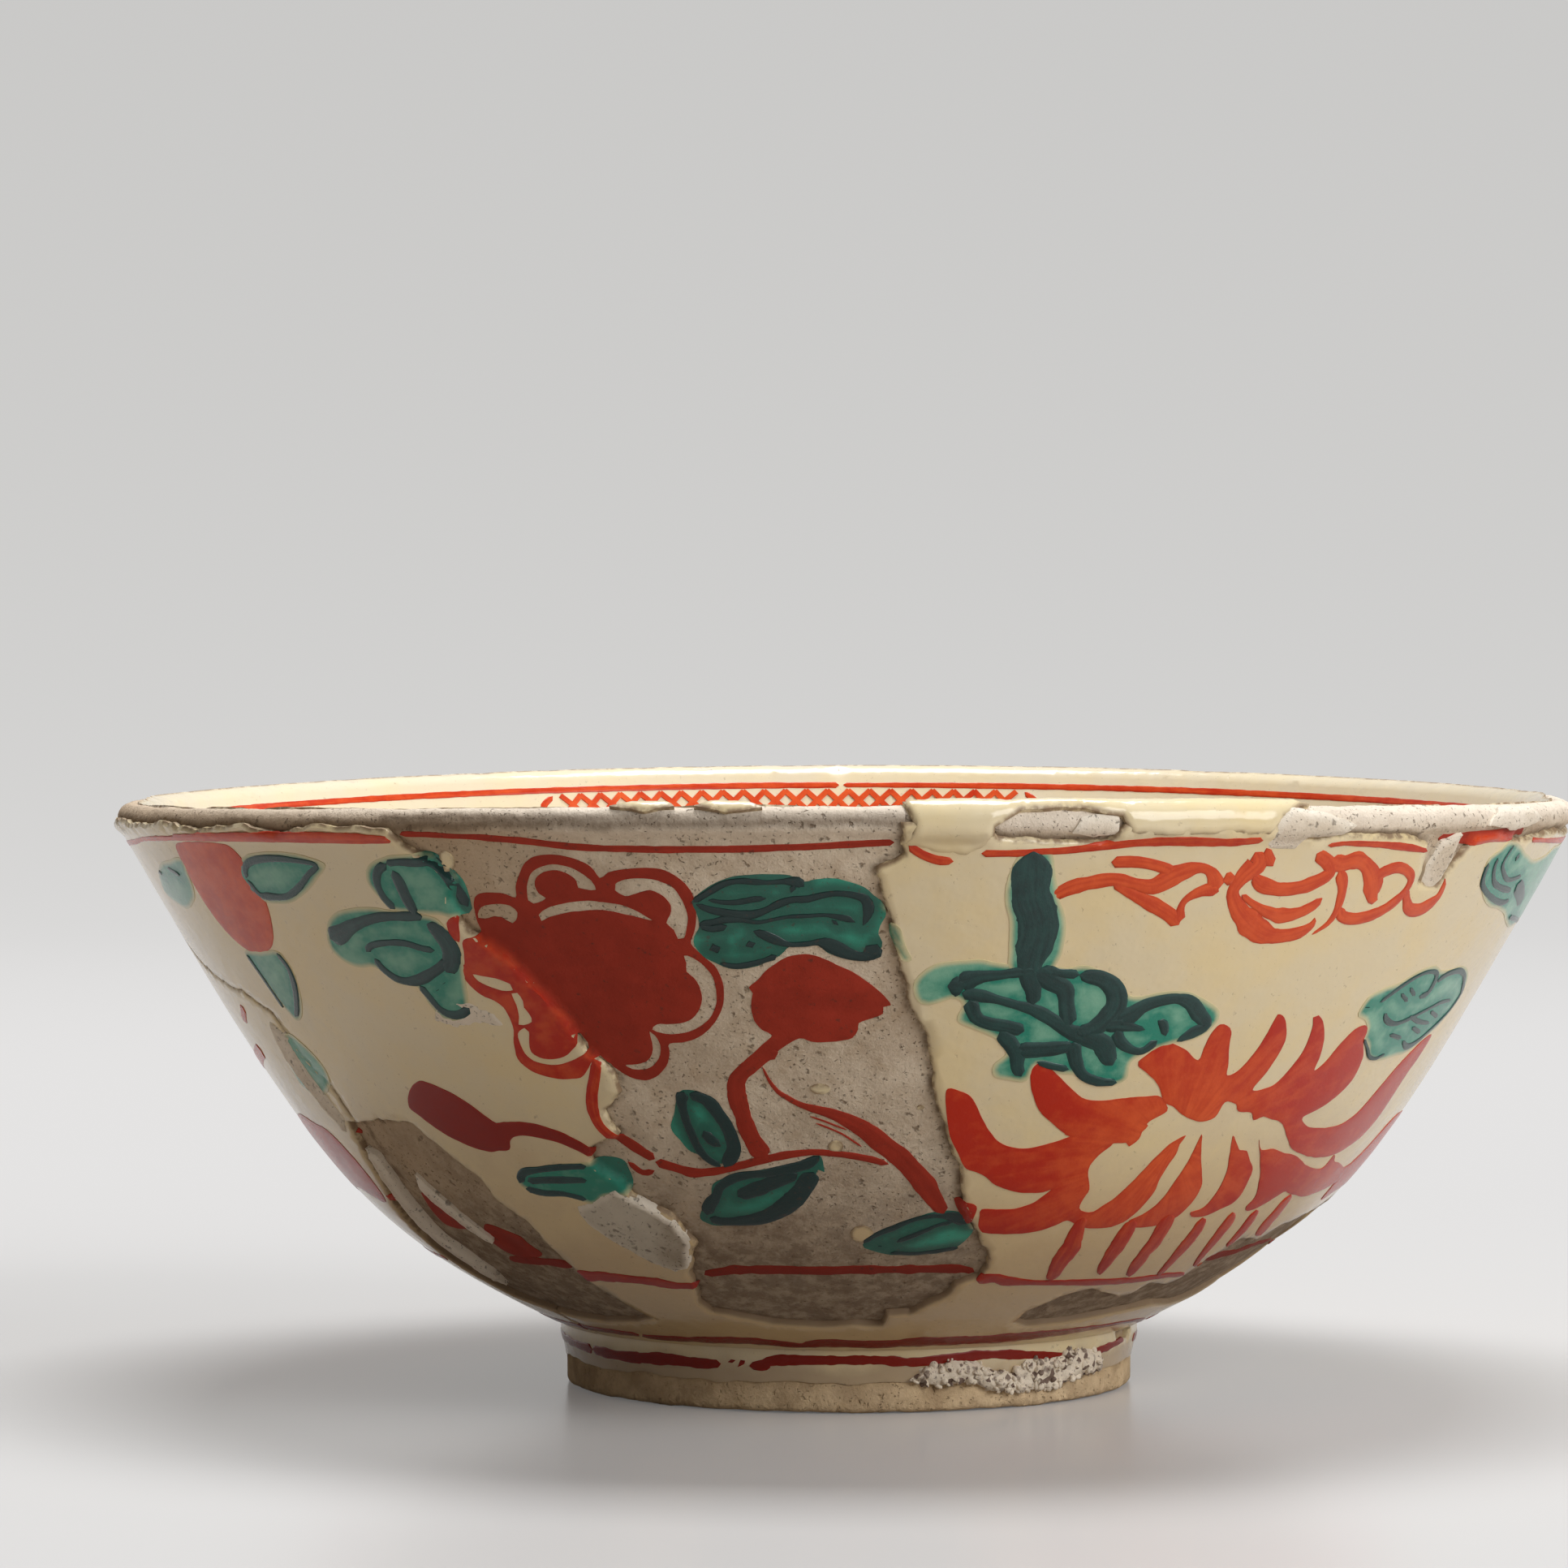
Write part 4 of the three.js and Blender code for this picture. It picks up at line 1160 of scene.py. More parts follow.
@dataclass
class ClayBody:
    """The fired body of the bowl, in one closed skin."""

    bare_spacing: float = 0.6
    covered_spacing: float = 3.4
    lip_and_foot_spacing: float = 1.3
    foot_spacing: float = 0.9
    bare_reach: float = 0.7
    mm_per_degree: float = 1.3
    row_spacings: tuple[float, ...] = (3.5, 0.5, 1.2, 0.25, 0.8, 0.25, 1.0, 2.4, 0.8, 0.45, 3.4, 3.0)
    finish: BiscuitFinish = BiscuitFinish()

    def rows(self) -> np.ndarray:
        """The runs at which the skin has whole rings of points."""
        marks = SKIN.marks
        names = [*list(marks)[:len(self.row_spacings)], "end"]
        rows = []
        for (start, end), spacing in zip(zip(names, names[1:]), self.row_spacings):
            low, high = marks[start], marks[end]
            rows.append(np.linspace(low, high, max(int((high - low) / spacing), 1), endpoint=False))
        return np.append(np.concatenate(rows), marks["end"])

    def build(self) -> bpy.types.Object:
        """Makes the body and settles it."""
        marks, rows = SKIN.marks, self.rows()
        loose = []
        for run in rows[1:-1]:
            shown = run < 0 or marks["neck"] < run < marks["inside"]
            spacing = self.lip_and_foot_spacing if shown else self.covered_spacing
            count = max(int(2 * math.pi * SKIN.at(np.array([run]))[0][0] / spacing), 12)
            loose.append(pairs(np.linspace(-SEAM_TURN, SEAM_TURN, count, endpoint=False)[1:], run))
        side = pairs(-SEAM_TURN, rows)
        bare = lattice((-179, 179), (0.4, marks["inside"]), self.bare_spacing, 3)
        bare = bare[GLAZING.glazed(*bare.T) < self.bare_reach]
        foot = lattice((-179, 179), (marks["foot_outer_edge"] + 1.0, -0.4), self.foot_spacing, 4)
        border = np.vstack((side, side[::-1] * (-1, 1)))
        flat = cut_region([border], [], np.vstack((*loose, bare, foot)), self.mm_per_degree)
        turns, runs = flat.points.T
        mapped = (runs > marks["foot_side"]) & (runs < marks["inside"])
        edge = np.where(mapped, GLAZING.glazed(turns, runs), -Map.reach)
        stray = np.where(edge < 0.8, GLAZING.clay_lift(turns, runs), 0)
        stray *= smoothstep(SKIN.at(runs)[0], 2, 10) * smoothstep(SEAM_TURN - np.abs(turns), 0, 2)
        faces = [tuple(t) for t in flat.triangles]
        shape = Shape(SKIN.place(turns, runs, stray), faces, {"edge": -edge})
        return settle(make_object("biscuit_clay", shape, self.finish.material()), Slot.BISCUIT, "biscuit_body")


@dataclass
class WallGlaze:
    """The two sheets of glaze on the outside of the wall, with the windows broken out of them."""

    spacing: float = 1.25
    inset: float = 0.4
    margin: float = 0.35
    sunk: float = -0.12
    mm_per_degree: float = 1.3

    def build(self, material: bpy.types.Material) -> None:
        """Makes both sheets and settles them."""
        self.sheet("front", GLAZING.front, GLAZING.windows, material)
        self.sheet("back", GLAZING.back, [w + (FULL_TURN, 0) for w in GLAZING.windows[1:2]], material)

    def sheet(self, side: str, outer: np.ndarray, windows: list[np.ndarray], material: bpy.types.Material) -> None:
        """One sheet, from its outline and its windows."""
        low, high = outer.min(0), outer.max(0)
        loose = lattice((low[0], high[0]), (low[1], high[1]), self.spacing, 6)
        loose = loose[GLAZING.glazed(*loose.T) > self.inset + self.margin]
        rings = []
        for loop in (outer, *windows):
            ahead = np.roll(loop, -1, axis=0) - np.roll(loop, 1, axis=0)
            scale = SKIN.per_degree(loop[:, 1])
            across = pairs(-ahead[:, 1], ahead[:, 0] * scale)
            across /= np.linalg.norm(across, axis=1)[:, None] + 1e-9
            rings += [loop + inset * across / pairs(scale, 1.0) for inset in (-self.inset, self.inset)]
        ring = np.vstack(rings)
        ring = ring[GLAZING.glazed(*ring.T) > self.inset * 0.7]
        flat = cut_region([outer], windows, np.vstack((loose, ring)), self.mm_per_degree)
        turns, runs = flat.points.T
        edge = np.maximum(GLAZING.glazed(turns, runs), 0)
        edge[np.unique(flat.rim())] = 0
        edge = np.where(runs < GLAZING.ledge_run + 0.8, np.maximum(edge, self.margin), edge)
        shape = layer(flat, GLAZING.glaze_lift(turns, runs, edge), self.sunk, {"edge": edge})
        settle(make_object("glaze_sheet_" + side, shape, material), Slot.GLAZE, "glaze_wall_" + side)


@dataclass
class Island:
    """A small island of glaze or a flake: its outline in degrees and percent of the wall, and its thickness."""

    name: str
    outline: Outline
    top: float
    stray: float
    seed: int
    node: str = "glaze_wall_front"
    spacing: float = 0.6
    margin: float = 0.25
    sunk: float = -0.12
    mm_per_degree: float = 1.6

    def build(self, material: bpy.types.Material) -> None:
        """Makes the island and settles it."""
        loop = ragged(on_wall(self.outline), self.stray, self.seed, 0.4)
        flat, edge = patch([loop], self.spacing, self.seed, self.margin, self.mm_per_degree)
        rough = relief(SKIN.solid_place(*flat.points.T), self.seed, (0.07, 2.2), (0.04, 0.9))
        lift = self.top * (0.6 + 0.4 * smoothstep(edge, 0, 0.6)) + rough * smoothstep(edge, 0, 0.5)
        shape = layer(flat, lift, self.sunk, {"edge": edge})
        settle(make_object(self.name, shape, material), Slot.GLAZE, self.node)


@dataclass
class LooseGlaze:
    """Islands and drops of glaze, whitish breaks and a grey flake that still hold on to the lip and the wall."""

    patch: Outline = (
        (3.4, 94), (4.4, 97), (3.6, 99.6), (8, 100.5), (10.6, 100.2), (16, 100.6), (22, 100.3), (29, 100.6),
        (33.6, 100.2), (35.6, 99), (32.6, 97.6), (31.6, 95.8), (24, 95.5), (20.2, 95.6), (19.4, 97.6),
        (16, 98.4), (12, 98.2), (10.2, 96.6), (9.6, 93.6), (8, 92.3), (6, 92.6), (4.8, 93.4))
    drops: tuple[tuple[float, float, float, float], ...] = (
        (-3, 56.4, .95, .85), (-1.7, 47.3, .8, 1), (1, 32, 1.3, 1.6), (-31.5, 90, .7, 1.5),
        (6.2, 53.6, .35, .4))
    scars: tuple[tuple[Outline, float], ...] = (
        (((15.8, 95.6), (16.4, 97.6), (19.2, 97.8), (19.4, 95.4), (17.6, 94.8)), 0.5),
        (((31.6, 93), (32, 97), (33.6, 98.6), (37, 97.6), (39.6, 96.6), (38.4, 95.4), (35.4, 94.9),
        (34.6, 92.6)), 1.02),
        (((50.6, 86.6), (50, 90), (50.6, 94), (53, 95), (53.2, 91), (52.8, 87.6), (51.8, 86)), 0.75),
        (((56, 96.2), (58, 98.4), (64, 98.6), (66, 97), (61, 95.8)), 0.8),
        (((-38.5, 67.2), (-37.6, 70.6), (-34, 71), (-31.4, 69.4), (-30.4, 66.4), (-33, 66.8), (-36, 66)),
        0.98),
        (((-66, 60), (-64.6, 66), (-62.2, 64), (-61.6, 57), (-60, 50), (-62, 47), (-64.4, 53)), 1.25),
        (((-63, 30), (-60.4, 45), (-58.6, 44), (-59.4, 36), (-60, 28), (-58, 20), (-60, 16)), 1.3),
        (((-55, 38), (-53.6, 41), (-50.8, 34), (-48.4, 28.6), (-49.6, 27.6), (-52.4, 32)), 0.8))
    left_chip: Outline = ((-17.6, 99), (-16, 100.5), (-13.4, 100.4), (-12.8, 99), (-15, 98.2))
    right_chip: Outline = ((-11.4, 99), (-10, 100.5), (-7.6, 100.3), (-6.4, 98.8), (-9, 98))
    break_finish: FlakeFinish = FlakeFinish("whitish_break", (0.88, 0.79, 0.67), (0.70, 0.60, 0.47))
    flake_finish: FlakeFinish = FlakeFinish()

    def build(self, glaze: bpy.types.Material) -> None:
        """Makes them and settles them."""
        Island("glaze_lip_patch", self.patch, 1.05, 0.35, 51).build(glaze)
        Island("glaze_flake_left", self.left_chip, 0.85, 0.25, 52, "lip_chip_left").build(glaze)
        Island("glaze_flake_right", self.right_chip, 0.85, 0.25, 53, "lip_chip_right").build(glaze)
        brush = Brush(thickness=0.12, seed=640)
        ovals = [brush.filled([(turn + wide * math.cos(k), run + tall * math.sin(k)) for k in np.arange(0, 6.2, 0.7)])
                 for turn, run, wide, tall in self.drops]
        settle(make_object("glaze_drops", Shape.together(ovals), glaze), Slot.GLAZE)
        whitish = self.break_finish.material()
        for index, (outline, top) in enumerate(self.scars):
            Island(f"broken_glaze_{index + 1}", outline, top, 0.3, 120 + index).build(whitish)
        Island("spalled_flake", GLAZING.scar, 1.25, 0.4, 54, "spall_flake").build(self.flake_finish.material())


@dataclass
class InsideGlaze:
    """The glaze of the inside, from just over the lip to the middle of the floor."""

    start_angle: float = 118.0
    rear_reach: float = 1.0
    spacing: float = 2.2
    edge_spacing: float = 0.9
    edge_width: float = 6.0
    edge_share: float = 0.55
    sunk: float = -0.1
    floor_points: int = 12
    mm_per_degree: float = 1.2
    finish: GlazeFinish = GlazeFinish("inside_glaze", ivory=(0.80, 0.69, 0.47), grey=(0.77, 0.68, 0.51))

    def build(self) -> None:
        """Makes the sheet and settles it."""
        marks = SKIN.marks
        share = (self.start_angle - SKIN.lip_start) / (SKIN.lip_end - SKIN.lip_start)
        low = marks["lip"] + share * (marks["inside"] - marks["lip"])
        turns = np.linspace(-SEAM_TURN, SEAM_TURN, 720, endpoint=False)
        wave = relief(circle(turns, 98), 61, (0.5, 9.0), (0.3, 3.0), (0.15, 1.2))
        wave = wave - self.rear_reach * smoothstep(np.abs(turns), 88, 100)
        down = np.arange(low + self.spacing, marks["end"] - 1, self.spacing)
        rows = np.concatenate(([low + wave[0]], down, [marks["end"]]))
        side = pairs(SEAM_TURN, rows)
        start = pairs(turns, low + wave)
        end = pairs(np.linspace(-SEAM_TURN, SEAM_TURN, self.floor_points + 1)[1:-1], rows[-1])
        border = np.vstack((start, side, end[::-1], side[::-1] * (-1, 1)))[:-1]
        near = lattice((-179, 179), (low + self.edge_spacing, low + self.edge_width), self.edge_spacing, 7)
        far = lattice((-179, 179), (low + self.edge_width, rows[-1] - 1), self.spacing, 8)
        flat = cut_region([border], [], np.vstack((near, far)), self.mm_per_degree)
        turns, runs = flat.points.T
        edge = np.clip(runs - low - np.interp(turns, start[:, 0], wave), 0, Map.reach)
        rounded = self.edge_share + (1 - self.edge_share) * smoothstep(edge, 0, 0.6)
        shape = layer(flat, GLAZING.inside_face(turns, runs) * rounded, self.sunk, {"edge": edge})
        settle(make_object("glaze_bowl_inside", shape, self.finish.material()), Slot.GLAZE, "glaze_inside")


@dataclass
class FootGlaze:
    """The band of glaze round the foot, with a chip out of it, and the pool of glaze under the base."""

    spacing: float = 0.75
    margin: float = 0.35
    sunk: float = -0.1
    band_mm_per_degree: float = 0.68
    base_lift: float = 0.75
    base_radius: float = 31.0
    base_spacing: float = 2.4
    base_points: int = 12
    base_mm_per_degree: float = 0.4

    def build(self, material: bpy.types.Material) -> None:
        """Makes both and settles them."""
        self.band(material)
        self.base(material)

    def band(self, material: bpy.types.Material) -> None:
        """The band round the foot."""
        runs = (GLAZING.foot_bottom - 0.6, GLAZING.foot_top)
        loose = lattice((-179.4, 179.4), runs, self.spacing, 9)
        loose = loose[GLAZING.glazed(*loose.T) > self.margin]
        flat = cut_region([GLAZING.foot_band], GLAZING.chips, loose, self.band_mm_per_degree)
        turns, runs = flat.points.T
        edge = np.maximum(GLAZING.glazed(turns, runs), 0)
        rim = np.unique(flat.rim())
        edge[rim[np.abs(turns[rim]) < SEAM_TURN - 0.1]] = 0
        edge = np.where(runs > GLAZING.foot_top - 0.6, np.maximum(edge, self.margin), edge)
        lift = GLAZING.glaze_lift(turns, runs, edge)
        shape = layer(flat, lift, self.sunk, {"edge": np.maximum(edge, 0.4)})
        settle(make_object("glaze_foot_band", shape, material), Slot.GLAZE, "glaze_foot")

    def base(self, material: bpy.types.Material) -> None:
        """The pool of glaze under the base."""
        turns = np.linspace(-SEAM_TURN, SEAM_TURN, 240, endpoint=False)
        centre, corner = SKIN.marks["recess"], SKIN.marks["recess_corner"]
        high = relief(circle(turns, self.base_radius), 81, (0.4, 7.0), (0.2, 2.5), base=corner - 1.1)
        rows = np.append(np.arange(centre, high[0] - 1.2, self.base_spacing), high[0])
        side = pairs(SEAM_TURN, rows)
        start = pairs(np.linspace(-SEAM_TURN, SEAM_TURN, self.base_points + 1)[:-1], centre)
        border = np.vstack((start, side, pairs(turns, high)[::-1], (side[::-1] * (-1, 1))[1:-1]))
        loose = lattice((-179, 179), (centre + 1, corner - 2.2), self.base_spacing, 10)
        flat = cut_region([border], [], loose, self.base_mm_per_degree)
        turn, runs = flat.points.T
        edge = np.clip(np.interp(turn, turns, high) - runs, 0, Map.reach)
        lift = self.base_lift * (0.5 + 0.5 * smoothstep(edge, 0, 1.0))
        shape = layer(flat, lift, self.sunk, {"edge": edge})
        settle(make_object("glaze_base_pool", shape, material), Slot.GLAZE, "glaze_base")


@dataclass
class KilnGrit:
    """A crust of kiln sand on the foot, with grains fused into it."""

    outline: Outline = (
        (11, -4.7), (14, -3.1), (20, -1.8), (25, -2.4), (28, -3.9), (33, -4.3), (37, -2.2), (42, -2.8),
        (48, -1.8), (56, -2.1), (60, -4.1), (57, -5.5), (50, -5.7), (44, -6.6), (35, -6.8), (28, -6.5),
        (24, -5.1), (17, -5.4))
    crust_seat: float = 0.7
    crust: float = 1.0
    spacing: float = 0.4
    margin: float = 0.2
    sunk: float = -0.1
    mm_per_degree: float = 0.68
    grains_per_mm2: float = 0.9
    grain_radius: float = 0.6
    grain_roughness: float = 0.07
    smallest: tuple[float, float, float] = (0.35, 0.35, 0.3)
    largest: tuple[float, float, float] = (1.3, 1.2, 1.0)
    seed: int = 5
    finish: GritFinish = GritFinish()

    def build(self) -> None:
        """Makes the crust and its grains and settles them."""
        material = self.finish.material()
        loop = ragged(np.array(self.outline), 0.45, 91, 0.35)
        flat, edge = patch([loop], self.spacing, 92, self.margin, self.mm_per_degree)
        place = SKIN.solid_place(*flat.points.T)
        rough = relief(place, 93, (0.35, 2.6), (0.25, 1.1), (0.15, 0.6), base=0.5)
        lift = self.crust_seat + self.crust * rough * smoothstep(edge, -0.2, 1.1)
        crust = make_object("kiln_crust", layer(flat, lift, self.sunk, {"edge": edge}), material, 70)
        sizes = {"Density": self.grains_per_mm2 / MM ** 2, "Radius": self.grain_radius * MM, "Seed": self.seed}
        grains = Growth("scatter_grains", sizes).grow(crust.data, self.scatter, material)
        grains.name = "kiln_grains"
        grains.polygons.foreach_set("use_smooth", [True] * len(grains.polygons))
        if not grains.materials:
            grains.materials.append(material)
        settle(link("kiln_grains", grains), Slot.GRIT, "kiln_grit")
        settle(crust, Slot.GRIT, "kiln_grit")

    def scatter(self, nodes: Nodes, start: bpy.types.Node) -> Out:
        """Rough grains of many sizes, turned at random and strewn over the crust."""
        radius = start.outputs["Radius"]
        strewn = {"Mesh": start.outputs["Geometry"], "Density": start.outputs["Density"], "Seed": start.outputs["Seed"]}
        points = nodes.add("GeometryNodeDistributePointsOnFaces", strewn)
        grain = nodes.add("GeometryNodeMeshIcoSphere", {"Radius": radius, "Subdivisions": 2})
        shaken = self.random(nodes, (-1.0,) * 3, (1.0,) * 3)
        push = nodes.add("VectorMath", {0: shaken, "Scale": nodes.times(radius, self.grain_roughness)}, operation="SCALE")
        rough = nodes.add("GeometryNodeSetPosition", {"Geometry": grain.outputs["Mesh"], "Offset": push.outputs[0]})
        return nodes.add("GeometryNodeInstanceOnPoints", {
            "Points": points.outputs["Points"], "Instance": rough.outputs["Geometry"],
            "Rotation": self.random(nodes, (0.0,) * 3, (6.28,) * 3),
            "Scale": self.random(nodes, self.smallest, self.largest)}).outputs[0]

    def random(self, nodes: Nodes, low: tuple[float, ...], high: tuple[float, ...]) -> Out:
        """Random numbers in threes between two ends."""
        return nodes.add("FunctionNodeRandomValue", {0: low, 1: high}, data_type="FLOAT_VECTOR").outputs[0]


@dataclass(frozen=True)
class EnamelFinish(Finish):
    """Enamel over glaze or bare clay: wet and bright on glaze, dull where it soaked into clay.

    The mesh says how much glaze is under each point, how thickly the paint lies, how far its edge is and how
    its streaks run.
    """

    name: str
    thick: Colour
    thin: Colour
    on_clay: Colour
    rim: Colour
    pooled: Colour = (0.22, 0.012, 0.004)
    pitted: Colour = (0.06, 0.03, 0.02)
    # Grey-brown that darkens the paint low down: dirt, and painted shade.
    smoke_and_shade: Colour = (0.52, 0.42, 0.38)
    soft_edge: float = 0.0
    roughness: float = 0.16
    clay_roughness: float = 0.6
    grain_roughness: float = 0.08
    gloss: float = 0.38
    clay_gloss: float = 0.2
    patchy: float = 1.3
    deepest: float = 1.0
    pits: float = 0.22
    pit_share: float = 0.6
    streaks: Clouds = Clouds(MM, 3, 0.6)
    lumps: Clouds = Clouds(0.4, 4, 0.6)
    body_mix: tuple[float, float] = (0.55, 0.45)
    patch_mix: tuple[float, float] = (0.6, 0.4)
    uneven: Fade = Fade(0.36, 0.64, -0.3, 0.3)
    pooling: Fade = Fade(1.0, 1.5)
    rim_reach: Fade = Fade(0.0, 0.35, 0.35, 0.0)
    softness: float = 0.75
    patches: Fade = Fade(0.36, 0.64)
    deepening: Fade = Fade(0.6, 1.0)
    low_dirt_and_shade: Fade = Fade(14.0, 34.0, 0.6, 0.0)
    streak_height: float = 0.3
    bumps: tuple[float, float] = (0.35, 0.12)

    def material(self) -> bpy.types.Material:
        """Makes the material."""
        material, nodes, shader, place = self.begin(self.name)
        edge, depth, glazed = (nodes.value(name) for name in ("edge", "depth", "glazed"))
        streak, cloud = nodes.noise(nodes.value("flow", "Vector"), self.streaks), nodes.noise(place, self.lumps)
        _, grain, pit = self.fired(nodes, place, self.pits)
        over = self.on_glaze(nodes, streak, cloud, depth, edge)
        dull = self.soaked(nodes, streak, cloud, depth, pit)
        # Greyer and darker towards the foot: dirt, and also painted shade on the lower wall.
        low = nodes.fade(nodes.axis(place, "Z"), self.low_dirt_and_shade, MM)
        base = nodes.blend(low, nodes.blend(glazed, dull, over), self.smoke_and_shade, "MULTIPLY")
        nodes.feed(shader.inputs["Base Color"], base)
        rough = nodes.fade(glazed, Fade(0.0, 1.0, self.clay_roughness, self.roughness))
        rough = nodes.math("MULTIPLY_ADD", grain, self.grain_roughness, rough)
        nodes.feed(shader.inputs["Roughness"], rough)
        gloss = nodes.fade(glazed, Fade(0.0, 1.0, self.clay_gloss, self.gloss))
        nodes.feed(shader.inputs["Specular IOR Level"], gloss)
        height = nodes.math("ADD", nodes.times(streak, self.streak_height), grain)
        nodes.feed(shader.inputs["Normal"], self.bump(nodes, height, *self.bumps))
        return material

    def on_glaze(self, nodes: Nodes, streak: Out, cloud: Out, depth: Out, edge: Out) -> Out:
        """The colour on glaze: streaky, darker where it pools, with a rim or a soft edge."""
        body = nodes.math("ADD", nodes.times(streak, self.body_mix[0]), nodes.times(cloud, self.body_mix[1]))
        body = nodes.math("ADD", nodes.fade(body, self.uneven), depth, clamp=True)
        over = nodes.blend(body, self.thin, self.thick)
        over = nodes.blend(nodes.fade(depth, self.pooling), over, self.pooled)
        over = nodes.blend(nodes.fade(edge, self.rim_reach), over, self.rim)
        if self.soft_edge:
            soft = nodes.fade(edge, Fade(0.0, self.soft_edge, self.softness, 0.0))
            over = nodes.blend(soft, over, GlazeFinish.ivory)
        return over

    def soaked(self, nodes: Nodes, streak: Out, cloud: Out, depth: Out, pit: Out) -> Out:
        """The colour on bare clay: patchy, deeper under thick paint, and pitted."""
        bright, dark = (tuple(c * share for c in self.on_clay) for share in (self.patchy, self.deepest))
        mixed = nodes.math("MULTIPLY_ADD", streak, self.patch_mix[0], nodes.times(cloud, self.patch_mix[1]))
        dull = nodes.blend(nodes.fade(mixed, self.patches), self.on_clay, bright)
        dull = nodes.blend(nodes.fade(depth, self.deepening), dull, dark)
        return nodes.blend(nodes.times(pit, self.pit_share), dull, self.pitted)


def smooth_line(points: np.ndarray, closed: bool, spacing: float) -> np.ndarray:
    """Points close together on a smooth line through the given ones."""
    if closed:
        padded = np.vstack((points[-1:], points, points[:2]))
    else:
        padded = np.vstack((2 * points[:1] - points[1:2], points, 2 * points[-1:] - points[-2:-1]))
    line = []
    for before, start, end, after in zip(padded, padded[1:], padded[2:], padded[3:]):
        scale = SKIN.scale_at(start[1])
        count = max(int(math.hypot((end[0] - start[0]) * scale, end[1] - start[1]) / spacing), 1)
        t = (np.arange(count) / count)[:, None]
        line.append(0.5 * (2 * start + (end - before) * t + (2 * before - 5 * start + 4 * end - after) * t ** 2
                           + (3 * start - before - 3 * end + after) * t ** 3))
    return np.vstack(line if closed else [*line, points[-1:]])


@dataclass
class Brush:
    """Lays paint on the bowl, in strokes and in filled shapes. Each of them has a seed of its own."""

    thickness: float = 0.1
    depth: float = 0.6
    spacing: float = 0.5
    heavy: float = 1.0
    sunk: float = 0.08
    wobble: float = 0.1
    finest: float = 0.08
    seed: int = 100
    turn: float = 0.0
    centre: tuple[float, float] | None = None
    reach: tuple[float, float] = (4.0, 26.0)
    along: tuple[Stroke, ...] = ()
    profile: tuple[tuple[float, float], ...] = (
        (-1.0, -1.0), (-0.98, 0.45), (-0.8, 0.9), (-0.4, 1.0), (0.0, 0.92), (0.4, 1.0), (0.8, 0.9),
        (0.98, 0.45), (1.0, -1.0))
    fill_ragged: float = 0.12
    fill_spacing: float = 0.8
    fill_margin: float = 0.3
    stroke_flow: tuple[float, float] = (0.12, 1.6)
    fill_flow: tuple[float, float] = (0.22, 0.3)
    radiant_flow: tuple[float, float] = (7.0, 0.07)
    flow_shift: float = 3.7
    centre_fade: float = 0.75

    def flow(self, turns: np.ndarray, runs: np.ndarray) -> np.ndarray:
        """Where each point lies for the streaks: round a centre if the paint spreads from one."""
        scale = SKIN.per_degree(runs)
        wide = (turns - self.turn) * scale
        if self.centre is None:
            shift = np.full(len(runs), self.seed * self.flow_shift)
            return np.stack((wide * self.fill_flow[0], runs * self.fill_flow[1], shift), -1)
        round_it, outward = self.radiant_flow
        away = pairs(wide - self.centre[0] * scale, runs - self.centre[1])
        angle = np.arctan2(away[:, 1], away[:, 0])
        out = np.linalg.norm(away, axis=1) * outward
        return np.stack((np.cos(angle) * round_it, np.sin(angle) * round_it, out), -1)

    def stroke(self, points: Stroke) -> Shape:
        """One stroke of the brush.

        Args:
            points: Turn, run and half width, in millimetres, along its middle.

        Returns:
            The stroke as a closed shape.
        """
        self.seed += 1
        line = smooth_line(np.array(points, float) + (self.turn, 0, 0), False, self.spacing)
        scale = SKIN.per_degree(line[:, 1])
        ahead = np.gradient(line[:, :2], axis=0) * pairs(scale, 1.0)
        ahead /= np.linalg.norm(ahead, axis=1)[:, None] + 1e-9
        moves = np.diff(line[:, :2], axis=0) * pairs(scale[1:], 1.0)
        along = np.concatenate(([0], np.cumsum(np.linalg.norm(moves, axis=1))))
        half = np.maximum(line[:, 2] * self.heavy, self.finest)
        nearest_end = np.minimum(along, along[-1] - along)
        half = half * np.sqrt(1 - (1 - np.clip(nearest_end / half, 0.002, 1)) ** 2)
        place = pairs(along, float(self.seed))
        half = half * (1 + self.wobble * lumps(place, 1.6, self.seed) + 0.5 * self.wobble * lumps(place, 0.7, 3))
        across, rise = np.array(self.profile).T
        offset = half[:, None] * across
        turns = (line[:, :1] - ahead[:, 1:] * offset / scale[:, None]).ravel()
        runs = (line[:, 1:2] + ahead[:, :1] * offset).ravel()
        face, glazed = GLAZING.face(turns, runs)
        lift = face + np.tile(np.where(rise < 0, -self.sunk, rise * self.thickness), len(line))
        edge = ((1 - np.abs(across)) * half[:, None]).ravel()
        shift = np.full(len(edge), self.seed * self.flow_shift)
        slow, fast = self.stroke_flow
        flow = np.stack((np.repeat(along, len(across)) * slow, offset.ravel() * fast, shift), -1)
        values = {"edge": edge, "glazed": glazed, "depth": np.full(len(edge), self.depth), "flow": flow}
        return Shape(SKIN.place(turns, runs, lift), self.tube(len(line), len(across)), values)

    def tube(self, rows: int, count: int) -> list[tuple[int, ...]]:
        """The faces round a stroke of so many rows, each with so many points, and over its two ends."""
        faces = []
        for row in range(rows - 1):
            first, after = row * count, (row + 1) * count
            for k in range(count - 1):
                faces.append((after + k + 1, after + k, first + k, first + k + 1))
            faces.append((after, after + count - 1, first + count - 1, first))
        last = (rows - 1) * count
        return [*faces, tuple(range(count)), tuple(range(last, last + count))[::-1]]

